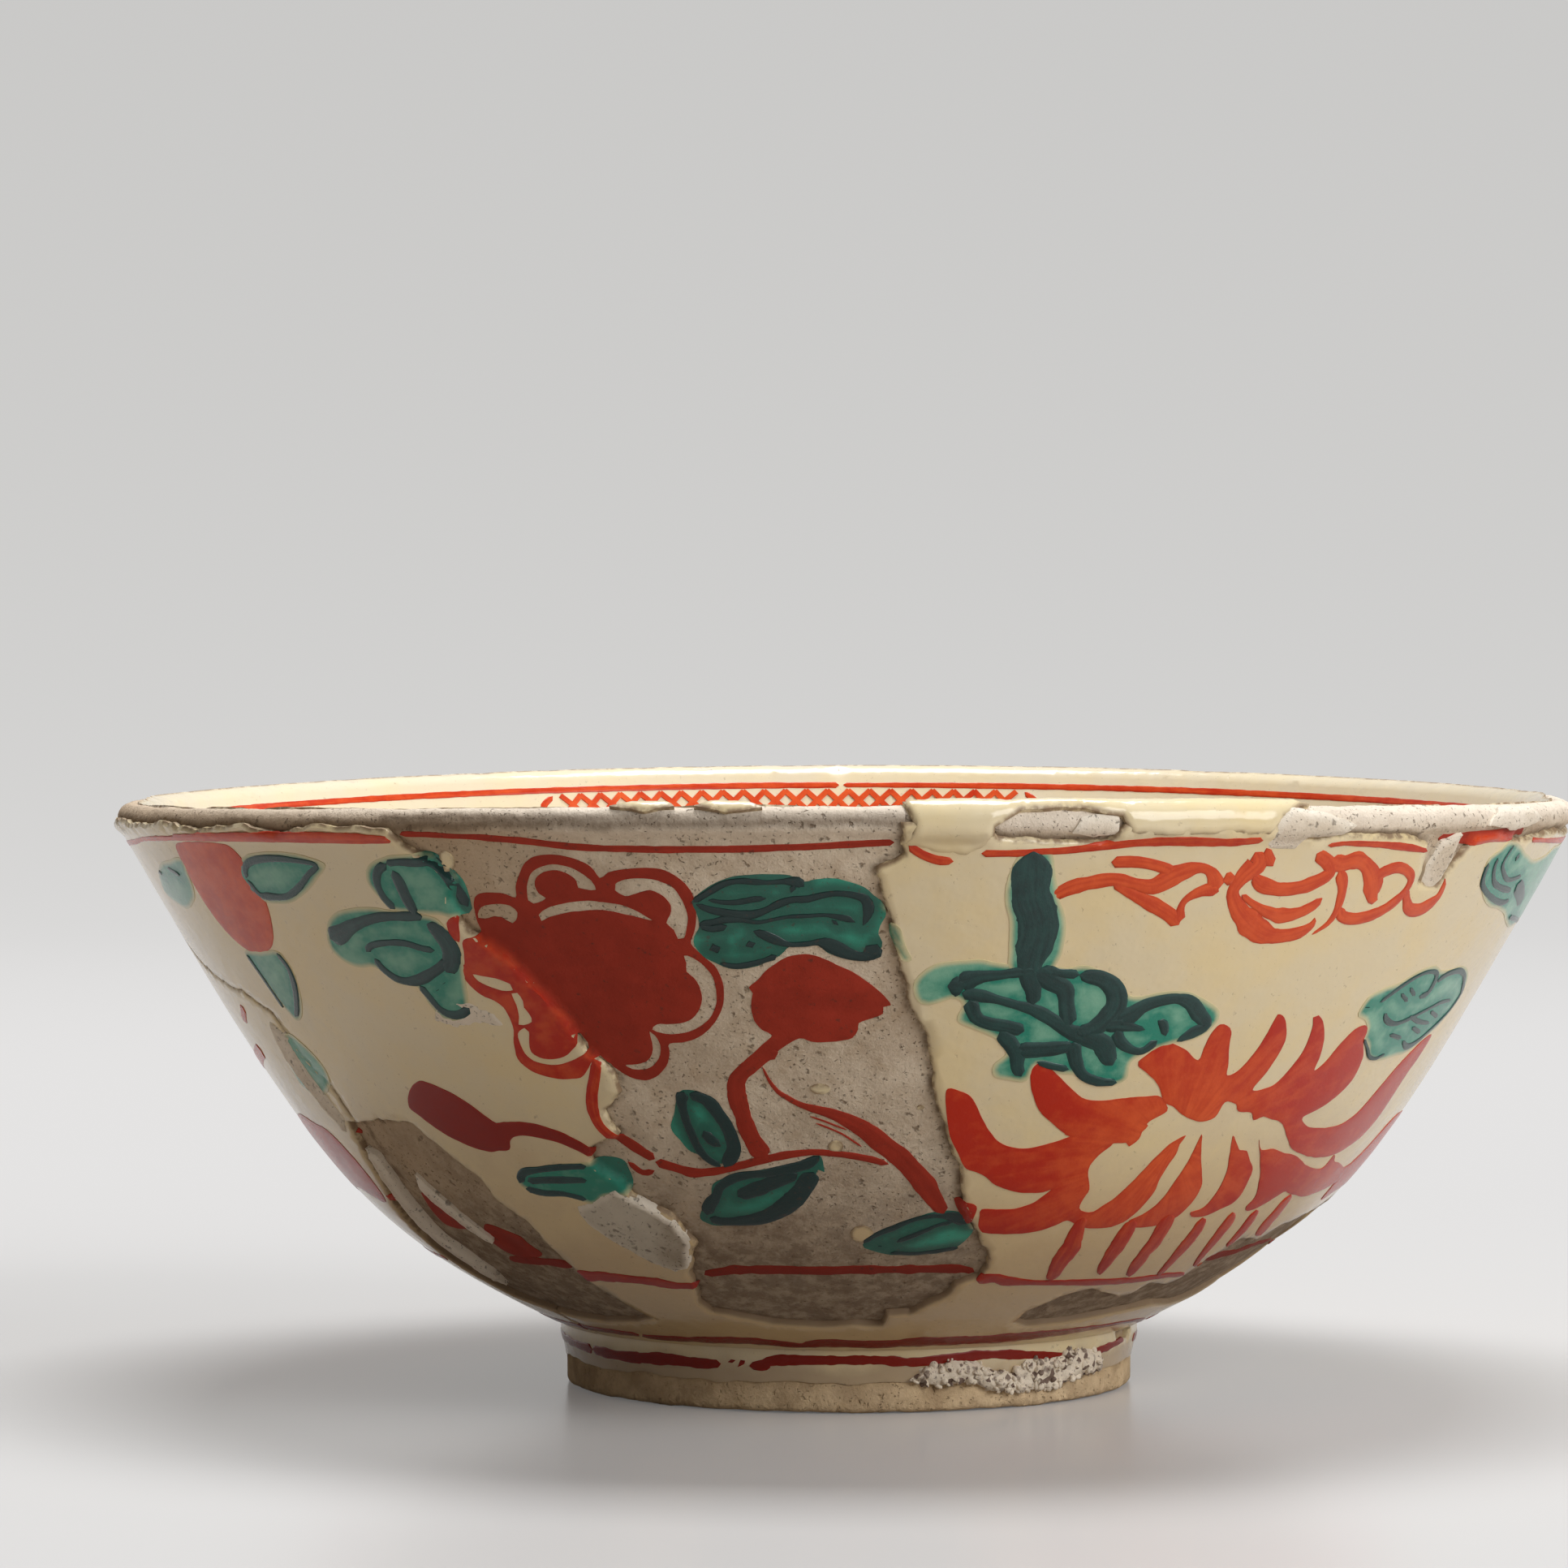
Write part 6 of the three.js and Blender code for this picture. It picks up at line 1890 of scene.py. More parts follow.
LEAVES = (
    Leaves("leaves_left", seed=310, pools=(
        ((-46.9, 78), (-46.4, 79.8), (-45.4, 81.6), (-44, 82.8), (-42.2, 83.4), (-40, 83.6), (-38.4, 83.2),
        (-36, 82.6), (-33.9, 82), (-33, 79), (-32.8, 76), (-33.3, 72), (-34, 68.5), (-35.2, 66.9),
        (-37, 66.8), (-38, 69), (-38.6, 71.8), (-40.6, 72.2), (-42, 74), (-42.8, 74.5), (-44.4, 74.4),
        (-45.8, 75.1), (-46.8, 76.6)),
        ((-39.4, 87.6), (-38.6, 89.8), (-36.8, 91), (-35, 91.4), (-33.6, 91.5), (-32.2, 90.9),
        (-31.2, 88.7), (-30.6, 86.6), (-30.6, 83), (-31, 82.4), (-32.4, 82.2), (-33.6, 82.6), (-36, 82.8),
        (-38, 83.4), (-38.8, 85))),
        strokes=(
        ((-46.3, 78.7, 1.2), (-44.6, 79.6, 1), (-43, 80.7, .7), (-41.2, 81.6, .6), (-39.2, 82.2, .55),
        (-37.2, 82.3, .55), (-35.2, 82.3, .5)),
        ((-42.6, 76.9, .4), (-41.8, 77.8, .4), (-40, 78.3, .4), (-38, 78.3, .4), (-36.4, 77.6, .4),
        (-35.2, 77.3, .4)),
        ((-42, 75.9, .45), (-41.6, 74.4, .5), (-40.6, 73, .5), (-39.4, 72.5, .5), (-38, 72.8, .6),
        (-36.6, 73.7, .6), (-35.2, 74.8, .6), (-34.2, 75.9, .6)),
        ((-35, 81.2, .9), (-34.2, 80.1, 1), (-33.6, 77.6, 1), (-34, 75.5, 1), (-34.8, 74.1, .8)),
        ((-38.2, 71.9, .45), (-37.6, 70.1, .45), (-37, 68.4, .45), (-36, 67.6, .5), (-34.8, 67.8, .5),
        (-33.8, 68.7, .45)), ((-36.6, 71.2, .4), (-36.3, 71.4, .4)), ((-35.6, 72.3, .4), (-35.3, 72.5, .4)),
        ((-36.8, 90, .5), (-37.8, 89.1, .5), (-38.4, 87.3, .55), (-38.3, 85.1, .55), (-37.6, 83.4, .6)),
        ((-36.8, 90.1, .4), (-35.6, 90.3, .45), (-34, 90.2, .5), (-32.8, 90.3, .5), (-32, 89.1, .45),
        (-31.5, 86.9, .45), (-31.2, 84.8, .7), (-30.9, 83.4, .6)),
        ((-36.4, 89.1, .5), (-36.2, 87.3, .7), (-36.1, 85.1, .7), (-35.8, 82.6, .6)))),
    Leaves("leaf_crossing", seed=330, depth=0.9, pools=(
        ((-36.9, 40.9), (-35.6, 43), (-34, 43.5), (-32, 44), (-30, 44.4), (-28, 44.7), (-26.4, 44.9),
        (-25, 45.1), (-23.4, 44.4), (-23.2, 41.2), (-24, 39.4), (-26.5, 39), (-28, 37.6), (-29.2, 37.8),
        (-30.4, 38.5), (-32, 38.9), (-34, 38.7), (-36, 39.4)),),
        strokes=(
        ((-36.6, 40.8, .5), (-35.4, 42.6, .45), (-33, 43.3, .4), (-30, 43.9, .4), (-27.4, 44.2, .35)),
        ((-36.2, 39.8, .5), (-34, 39.2, .45), (-31.6, 39.2, .4), (-29, 38.4, .35)),
        ((-35.4, 41.2, .5), (-32, 41.6, .5), (-28, 41.8, .4)))),
    Leaves("leaf_upright", seed=340, depth=0.75, pools=(
        ((-16, 55.8), (-14.6, 56.1), (-13.5, 55.3), (-12.1, 52.3), (-11.2, 48.9), (-11.3, 46.4),
        (-12.3, 44.6), (-14.4, 44.6), (-15.4, 46), (-16, 46.4), (-16.9, 48.2), (-17.5, 50.1),
        (-16.9, 52.3)),),
        strokes=(
        ((-15.5, 55.9, .8), (-15.9, 54.5, .6), (-15.9, 52.6, .45), (-15.7, 50.1, .45), (-15.3, 47.6, .45),
        (-14.6, 45.4, .45), (-13.3, 44, .4)),
        ((-15, 55.6, .6), (-13.5, 54.5, .7), (-12.7, 52.6, .7), (-12, 50.4, .7), (-11.7, 48.2, .7),
        (-11.7, 46.7, .7), (-12.3, 45.1, .7), (-12.9, 43.9, .5)),
        ((-14.3, 49.8, .5), (-13.7, 48.2, .6), (-12.9, 47.3, .5)))),
    Leaves("leaf_long", seed=350, depth=0.8, pools=(
        ((-3.3, 45.9), (-4.6, 45.1), (-6.5, 44.3), (-8.3, 43.7), (-10.2, 43.2), (-12.1, 42.6),
        (-13.5, 41.7), (-14.6, 40.8), (-15, 38.9), (-15.9, 37.3), (-16.6, 35.9), (-16.9, 34.5),
        (-15.8, 33.4), (-13.8, 33.4), (-11.7, 33.6), (-9.6, 34.2), (-7.7, 35.4), (-6.2, 37), (-5.4, 38.7),
        (-4.6, 40.4), (-3.9, 42), (-3.5, 43.6), (-2.9, 43.2)),),
        strokes=(
        ((-3.3, 45.8, .3), (-4.6, 44.5, .6), (-6.7, 43.6, .6), (-8.8, 42.9, .5), (-10.8, 42.5, .5),
        (-12.5, 41.7, .55), (-13.8, 40.4, .5), (-14.4, 38.9, .5), (-15.5, 37, .7), (-16, 35.4, .6)),
        ((-4, 43.2, .8), (-4.6, 41.7, .9), (-5.6, 39.5, 1), (-6.9, 37.6, 1.1), (-8.3, 36.1, 1),
        (-10.4, 34.8, .8), (-12.5, 34.3, .7), (-14.6, 34.2, .6), (-15.8, 34.8, .6)),
        ((-12.1, 38.9, .6), (-10.6, 39.8, .9), (-9, 40.8, .9), (-7.3, 42, .8), (-5.6, 42.9, .6)))),
    Leaves("leaf_low", seed=360, depth=0.7, pools=(
        ((1, 29.8), (2.1, 31.4), (3.5, 32.6), (5.2, 34), (6.9, 35.1), (8.5, 35.9), (10.2, 36.2),
        (11.7, 35.8), (12.7, 34.5), (13.5, 32.8), (13, 30.4), (12.1, 28.9), (10.4, 27.9), (8.5, 27.6),
        (6.7, 27.5), (5, 27.6), (3.5, 27.9), (2.1, 28.6), (1.2, 29.2)),),
        strokes=(
        ((1.2, 30.3, .35), (2.5, 31.7, .3), (4.2, 32.9, .4), (5.8, 34.2, .3), (7.9, 35.3, .25),
        (9.6, 35.4, .35), (11, 35.1, .7), (12.5, 33.9, .6)),
        ((5, 30.4, .3), (6.5, 31.5, .35), (7.9, 32.6, .3), (9.4, 33.7, .25), (11, 34.3, .3)),
        ((4.4, 28.1, .3), (8, 28, .3), (12.3, 28.9, .3)), ((2.9, 29.5, .7), (3.3, 29.5, .7)))),
    Leaves("leaf_pair", seed=370, depth=0.75, pools=(
        ((-12.2, 84.1), (-11.3, 85.6), (-10, 87), (-8.9, 87.7), (-7.3, 88), (-6, 88), (-4.7, 87.8),
        (-3.6, 86.9), (-2.6, 87.3), (-1.4, 87.4), (-.3, 87), (.9, 86.1), (1.6, 84.9), (2.3, 83.8),
        (2.5, 82.3), (2.1, 80.7), (2, 79.4), (2.3, 78.3), (2.1, 77), (1.4, 76.1), (.3, 75.8), (-.9, 76.2),
        (-1.9, 76.7), (-2.7, 77.7), (-3.7, 77.8), (-4.9, 77.7), (-5.6, 76.5), (-6.6, 75.6), (-7.7, 74.8),
        (-8.9, 74.4), (-10, 74.5), (-11, 75.2), (-11.9, 76.2), (-12.5, 77.8), (-12.4, 79.1), (-11.9, 80.7),
        (-12, 82.8)),
        ((2.9, 81.4), (3.6, 80.8), (4, 78.4), (4.6, 76.2), (3.9, 76.1), (3.2, 78), (2.8, 80))),
        strokes=(
        ((-12.1, 84.1, .3), (-11, 85.3, .35), (-9.7, 86.6, .35), (-8.6, 87.1, .3), (-7.4, 87, .4),
        (-6.3, 86.9, .3), (-5.1, 87, .35), (-4.1, 86.9, .55), (-3.6, 86.3, .3)),
        ((-4.3, 86.7, .4), (-4.6, 85.4, .25)),
        ((-10.9, 84.4, .2), (-9.7, 84, .3), (-8.4, 84.1, .35), (-7.3, 84.5, .35), (-6.5, 84.6, .2)),
        ((-11.9, 83.8, .3), (-10.9, 83, .4), (-9.7, 82.5, .45), (-8.6, 82.3, .5), (-7.6, 82.3, .5),
        (-6.6, 82.9, .4), (-5.6, 83.8, .4), (-4.6, 84.4, .4), (-3.4, 84.5, .4), (-2.3, 85, .35),
        (-1.1, 85.3, .35), (0, 85.1, .4), (.9, 84.5, .5), (1.2, 83.3, .55), (1.1, 82, .4), (.8, 80.7, .2)),
        ((-11.9, 80.9, .4), (-10.7, 81.2, .4), (-9.6, 81.6, .4), (-8.4, 81.5, .3), (-7.3, 81.2, .25),
        (-6, 81.6, .2), (-4.9, 82, .22), (-3.7, 82.1, .22), (-2.3, 82.2, .2), (-1.3, 82, .3),
        (-.3, 81.6, .4), (.2, 81.2, .3)), ((-1.6, 81.5, .3), (-1.1, 80.8, .2)),
        ((-11.9, 80.7, .3), (-10.9, 80.2, .4), (-9.7, 80.7, .4)),
        ((-7.7, 79.9, .3), (-6.9, 79.4, .5), (-6, 78.6, .5), (-5, 78, .3), (-3.7, 78, .3), (-2.7, 78.3, .4),
        (-1.9, 78, .8), (-1.1, 77.3, .8), (-.1, 76.5, .6), (.9, 76.2, .5), (1.6, 77, .9), (1.9, 78, .6)),
        ((-10.6, 75.2, .2), (-9.3, 74.8, .3), (-8, 75.2, .3), (-6.9, 75.7, .3), (-6, 76.3, .4)),
        ((-11.3, 77.2, .6), (-10.4, 77.6, .7)), ((-8.4, 77.8, .4), (-7.6, 78.2, .5)))),
    Leaves("leaves_right", seed=380, depth=0.3, pools=(
        ((4.9, 73.1), (6.1, 75.3), (7.6, 76), (9.9, 76.2), (11.8, 75.6), (15.5, 75.3), (17.2, 74.9),
        (18.8, 75.1), (20.5, 74.2), (22, 72.8), (23, 71), (24.3, 70.5), (25.7, 71), (27.6, 71.2),
        (29.2, 70.8), (30.9, 69.6), (32.4, 68.1), (32.4, 66), (31.1, 64.2), (29, 63.5), (26.5, 62.1),
        (25.1, 60.6), (25.1, 58.1), (23.8, 57.1), (21.8, 57.4), (20.1, 58.9), (18.4, 59.2), (16.3, 60.6),
        (15.5, 58.1), (13.8, 58.3), (12.4, 58.9), (12.2, 60.6), (13.2, 62.4), (12, 64.6), (10.1, 66),
        (8.6, 67.4), (9, 69.6), (8.2, 70.6), (6.1, 69.6), (5.1, 70.6)),
        ((11.6, 89), (11.4, 85), (12, 81.6), (12.2, 78), (12.4, 75), (13.4, 73), (15.6, 73), (16.2, 75),
        (16.6, 78), (16.4, 82), (15.6, 85.2), (15, 89), (14.4, 91.6), (12.4, 91.6))),
        strokes=(
        ((13.1, 91.7, 1), (13.2, 88.9, 1.95), (13.4, 85.3, 2), (14.1, 82.4, 2), (14.35, 79.9, 2),
        (14.2, 77.4, 1.8), (14.1, 74.9, 1.3), (14.7, 71.7, .9), (14.9, 69.6, .6)),
        ((7.6, 72.4, 1.2), (9, 72.4, 1.2)),
        ((8.4, 72.8, 1.5), (10.1, 73.7, .8), (11.8, 74, .6), (13.4, 74.4, .6), (14.7, 74.5, .6)),
        ((8.8, 71.4, .8), (10.3, 71, .7), (12, 70.3, .55), (13.4, 69.6, .5), (14.7, 69, .6),
        (15.9, 68.1, .7), (17.4, 66.7, .7), (18.6, 65.5, .8), (20.3, 64.6, 1), (21.8, 63.5, 1.2),
        (22.6, 61.7, 1), (23.3, 60.3, .5)),
        ((9.5, 70.3, .9), (10.2, 67.8, .7), (11.3, 66.9, .7), (12.8, 66.4, .8), (14.5, 65.7, .8)),
        ((12.4, 65.6, .7), (13.4, 63.9, .8), (14.2, 62.1, .8), (14.4, 60.3, .7), (14.9, 58.9, .5)),
        ((14, 62.8, .9), (15.9, 62.8, .9), (17.6, 63, .8), (19.2, 63.3, .8)),
        ((16.1, 61, .3), (17.6, 60.3, .4), (19.2, 59.8, .4)),
        ((19, 63.9, 1), (19.7, 61, .7), (20.7, 58.9, .6), (22.4, 57.8, .55), (24.2, 57.6, .4)),
        ((14.7, 74.6, 1.5), (16.3, 72.8, 1), (17.4, 71.7, 1), (17.8, 69.2, .8), (18.4, 66.4, .9)),
        ((15.5, 74.6, .9), (16.5, 74.2, .5), (18.4, 73.9, .6)),
        ((18.4, 73.9, .6), (20.5, 73.1, .9), (21.8, 71.4, 1.1), (22.2, 69.2, 1.2), (21.5, 67.1, 1.2),
        (20.3, 65.6, 1), (19, 65.6, .8)),
        ((21.5, 66.4, .9), (23, 66.4, .8), (24.2, 66, .5), (25.5, 65.6, .25)),
        ((22.6, 66.8, 1), (23.8, 67.8, 1.1), (24.7, 69, .8), (26.1, 69.8, .7), (27.8, 70.1, .6),
        (29.2, 69.4, .8), (30.3, 67.8, .9), (31.5, 66, .7), (30.3, 64.9, .7), (29, 63.7, .3)),
        ((22.8, 65.6, .6), (23.4, 63.9, .6), (24.7, 62.6, .5), (25.9, 62.4, .5), (27, 63.9, .5)),
        ((26.5, 66.9, .25), (27.1, 66.4, .5), (27.7, 64.6, .4)))),
    Leaves("leaf_veined", seed=400, depth=0.12, pools=(
        ((49.6, 67.6), (50.2, 69.5), (51.9, 70.5), (53.8, 71.1), (55.4, 72.2), (57.3, 73.2), (59.2, 73.4),
        (60.9, 72.6), (62.6, 72.6), (64.7, 73), (66.9, 72.6), (68.8, 71.1), (70, 68.8), (69.7, 66.5),
        (68.3, 63.8), (66.6, 62.2), (64.7, 60.7), (62.6, 59.5), (60.2, 59.2), (57.8, 58.8), (55.9, 59.1),
        (54.7, 59.9), (53.8, 61.5), (52.6, 62.6), (52.3, 64.2), (51.1, 65.7), (49.8, 66.3)),),
        strokes=(
        ((52.1, 68.4, .3), (54, 70.3, .35), (55.9, 71.8, .3), (57.8, 72.6, .25), (59.7, 72.4, .3),
        (60.4, 71.1, .6), (60.2, 69.2, .5), (58.8, 68.8, .3)),
        ((60.9, 71.1, .5), (62.6, 72, .4), (65, 72.3, .35), (67.1, 71.5, .35), (68.5, 69.9, .35),
        (69.5, 68.4, .4), (69, 66.1, .35), (67.8, 64.5, .3), (65.7, 62.6, .3), (63.8, 61.1, .4),
        (62.1, 60.7, .4), (60.4, 61.7, .25)),
        ((52.6, 62.6, .2), (54, 61.1, .2), (55.2, 59.7, .25), (56.6, 59.3, .25), (58, 59.9, .2)),
        ((53.8, 66.5, .35), (55, 65.3, .4), (56.9, 64.7, .3), (59.2, 65.3, .3), (62.1, 66.5, .25),
        (64.7, 67.4, .3), (67.1, 67.6, .2)), ((56.1, 70.3, .25), (57.8, 69, .25)),
        ((55, 69.5, .25), (56.9, 68.2, .25)), ((59, 65.7, .25), (61.6, 64.7, .3), (64.5, 64.2, .2)),
        ((60.9, 63.8, .25), (63.5, 62.8, .25)), ((56.9, 63, .25), (59.7, 62.2, .25)),
        ((63.3, 66.1, .25), (65.9, 65.1, .25)), ((50.2, 67.7, .5), (50.8, 67.7, .5)))),
    Leaves("leaf_far_right", seed=410, depth=0.15, pools=(
        ((58.8, 89.9), (60, 91.1), (61.1, 92.4), (63.6, 91.8), (66.4, 90.2), (70, 89.2), (73.6, 89.9),
        (77.1, 91.1), (88, 89.9), (88, 78), (80.7, 79.2), (75.4, 78.3), (72.1, 79.2), (69.3, 80.8),
        (66.4, 81.8), (63.6, 82.4), (61.1, 84.2), (59.3, 86.8), (58.8, 88.6)),),
        strokes=(
        ((58.9, 89.2, .35), (59.6, 86.4, .35), (61.1, 84.9, .35), (63.6, 83.6, .35), (66.4, 82.8, .35),
        (68.2, 83, .3)),
        ((60.2, 89.9, .35), (60.7, 88, .35), (62.1, 86.1, .35), (64.3, 85.2, .35), (67.1, 84.6, .35)),
        ((62.1, 91.8, .3), (61.8, 89.2, .3), (62.9, 87.7, .3), (65, 86.4, .3), (67.9, 86.8, .3)),
        ((64, 89.9, .5), (64.6, 89.9, .5)), ((68.2, 85.5, .8), (71, 84, .9), (73.6, 82.4, .7)),
        ((72.1, 80.2, .3), (78.6, 79.2, .3)))),
    Leaves("leaves_far_left", seed=420, depth=0.3, pools=(
        ((-74.4, 84.6), (-72.6, 87.4), (-69.4, 89.3), (-66.6, 89.9), (-63.7, 90.2), (-64.1, 87.4),
        (-65.1, 84.6), (-67.3, 82.7), (-69.8, 82.1), (-72.6, 83)),
        ((-54.6, 87.7), (-54, 89.8), (-52, 91.2), (-49.4, 91.7), (-46.4, 91.5), (-43.2, 90), (-44.6, 87.8),
        (-46.8, 85.6), (-49.4, 84), (-52, 83.9), (-54, 84.8)),
        ((-61, 75.8), (-59.8, 71.1), (-59.1, 68), (-58, 65.5), (-56.6, 66.1), (-55.1, 68.6), (-54.1, 72.4),
        (-54.2, 75.2), (-55.1, 76.4), (-58, 76.2)),
        ((-65.9, 57.4), (-64.8, 60.5), (-63, 62.4), (-60.9, 63), (-59.1, 61.1), (-57.8, 58), (-58.4, 55.5),
        (-60.5, 53.6), (-63, 52.7), (-65.1, 53.3), (-66.2, 54.6))),
        strokes=(
        ((-53.7, 87.7, .45), (-53.2, 89.2, .45), (-51.9, 90.2, .45), (-49.4, 90.7, .45), (-46.6, 90.5, .35),
        (-44.1, 89.8, .3), (-45.5, 88.3, .35), (-47.3, 86.4, .4), (-49.4, 85, .4), (-51.6, 84.9, .45),
        (-53, 85.2, .45), (-53.7, 87.4, .4)),
        ((-55, 76.1, .35), (-54.4, 73.6, .4), (-55.1, 70.5, .5), (-56.6, 67.4, .4), (-57.6, 66.1, .3)),
        ((-60.7, 75.5, .3), (-59.8, 71.1, .3), (-59.1, 67.4, .3)), ((-71.8, 87.7, .3), (-71, 87.7, .3)),
        ((-68.2, 88.6, .3), (-66, 87.6, .3)))),
)


@dataclass
class Ribbon:
    """The loose red ribbon and ball under the lip at the right."""

    strokes: tuple[Stroke, ...] = (
        ((15.1, 85.2, .6), (16.3, 86.4, .75), (18, 87.2, .7), (19.7, 87.6, .7), (21.4, 87, .6),
        (23, 86.6, .9), (24.6, 88.2, 1.1), (26.4, 89.2, .55), (27.6, 88.5, .5), (28.3, 86.7, 1),
        (28.5, 85.8, .8)), ((28.8, 87.3, .7), (29.8, 87.9, .7)),
        ((19.2, 90.1, .6), (21.2, 90.1, .6), (23, 89.5, .5), (24.3, 88.6, .6)),
        ((19.7, 86.9, .3), (21.7, 85.2, .5), (23.5, 83.8, .7), (25.1, 82.3, .7), (26, 81, .8)),
        ((26, 81.4, .6), (25.8, 83.5, .35), (26.2, 84.9, .4), (27.5, 86, .6), (28.7, 85.8, .6)),
        ((30.9, 91.4, .4), (31.4, 89.9, 1.1), (30.5, 87.9, .9), (30, 85.8, .6), (30.5, 84.1, .7),
        (31.7, 82, 1), (33.3, 80.2, 1.3), (34.8, 79.2, .9), (36.4, 79.1, .7), (38, 79.6, .6),
        (38.9, 80.7, .4), (38.9, 81.7, .15)), ((31.8, 92, .3), (32.3, 90.5, .6), (32.9, 89.4, .6)),
        ((31.4, 87.9, .4), (32.5, 86.7, .8), (34.1, 86, .7), (35.9, 86.1, .7), (37.5, 86.9, .8),
        (38.7, 88.2, .7), (38.3, 89.6, .7), (36.7, 91.1, .6)),
        ((30.9, 85.2, .3), (32.2, 83.9, .35), (33.8, 82.7, .6), (35.4, 82.1, .75), (36.9, 82.4, .7),
        (38.3, 83.5, .6), (38.9, 84.6, .3)), ((31.4, 83.2, .3), (33, 81.7, .8)),
        ((38.3, 90.2, .8), (39.6, 89.6, .9), (40.9, 90.1, .9), (42.2, 89.4, .8), (43.3, 87.9, 1),
        (44.1, 86.1, 1.1), (44.6, 84.4, .6), (45.2, 84.2, .5)),
        ((39.6, 88.5, .6), (40.5, 86.7, .6), (40.9, 84.6, .5), (41, 82.6, .4), (40.6, 80.8, .3),
        (39.3, 79.2, .1)),
        ((41.3, 83.2, .4), (41.7, 82, .6), (43, 81.4, .6), (44.6, 81.6, .7), (46.2, 82.4, .6),
        (47.5, 83.8, .6), (48.3, 85.5, .5), (48.3, 87.3, .5), (47.2, 88.5, .5), (45.9, 88.9, .6),
        (44.6, 88.3, .7), (43.8, 87.3, .7)),
        ((48.3, 85.5, .4), (48.9, 84.1, .5), (49.8, 82.7, .6), (51.2, 82.4, .7), (52.5, 83.2, .7),
        (53.3, 84.4, .5), (53.3, 86.1, .3), (53.1, 87, .15)))

    def build(self, palette: Palette) -> None:
        """Paints it."""
        palette.lay("red_ribbon", Slot.RED, Brush(depth=0.3, heavy=1.45, seed=500), strokes=self.strokes)


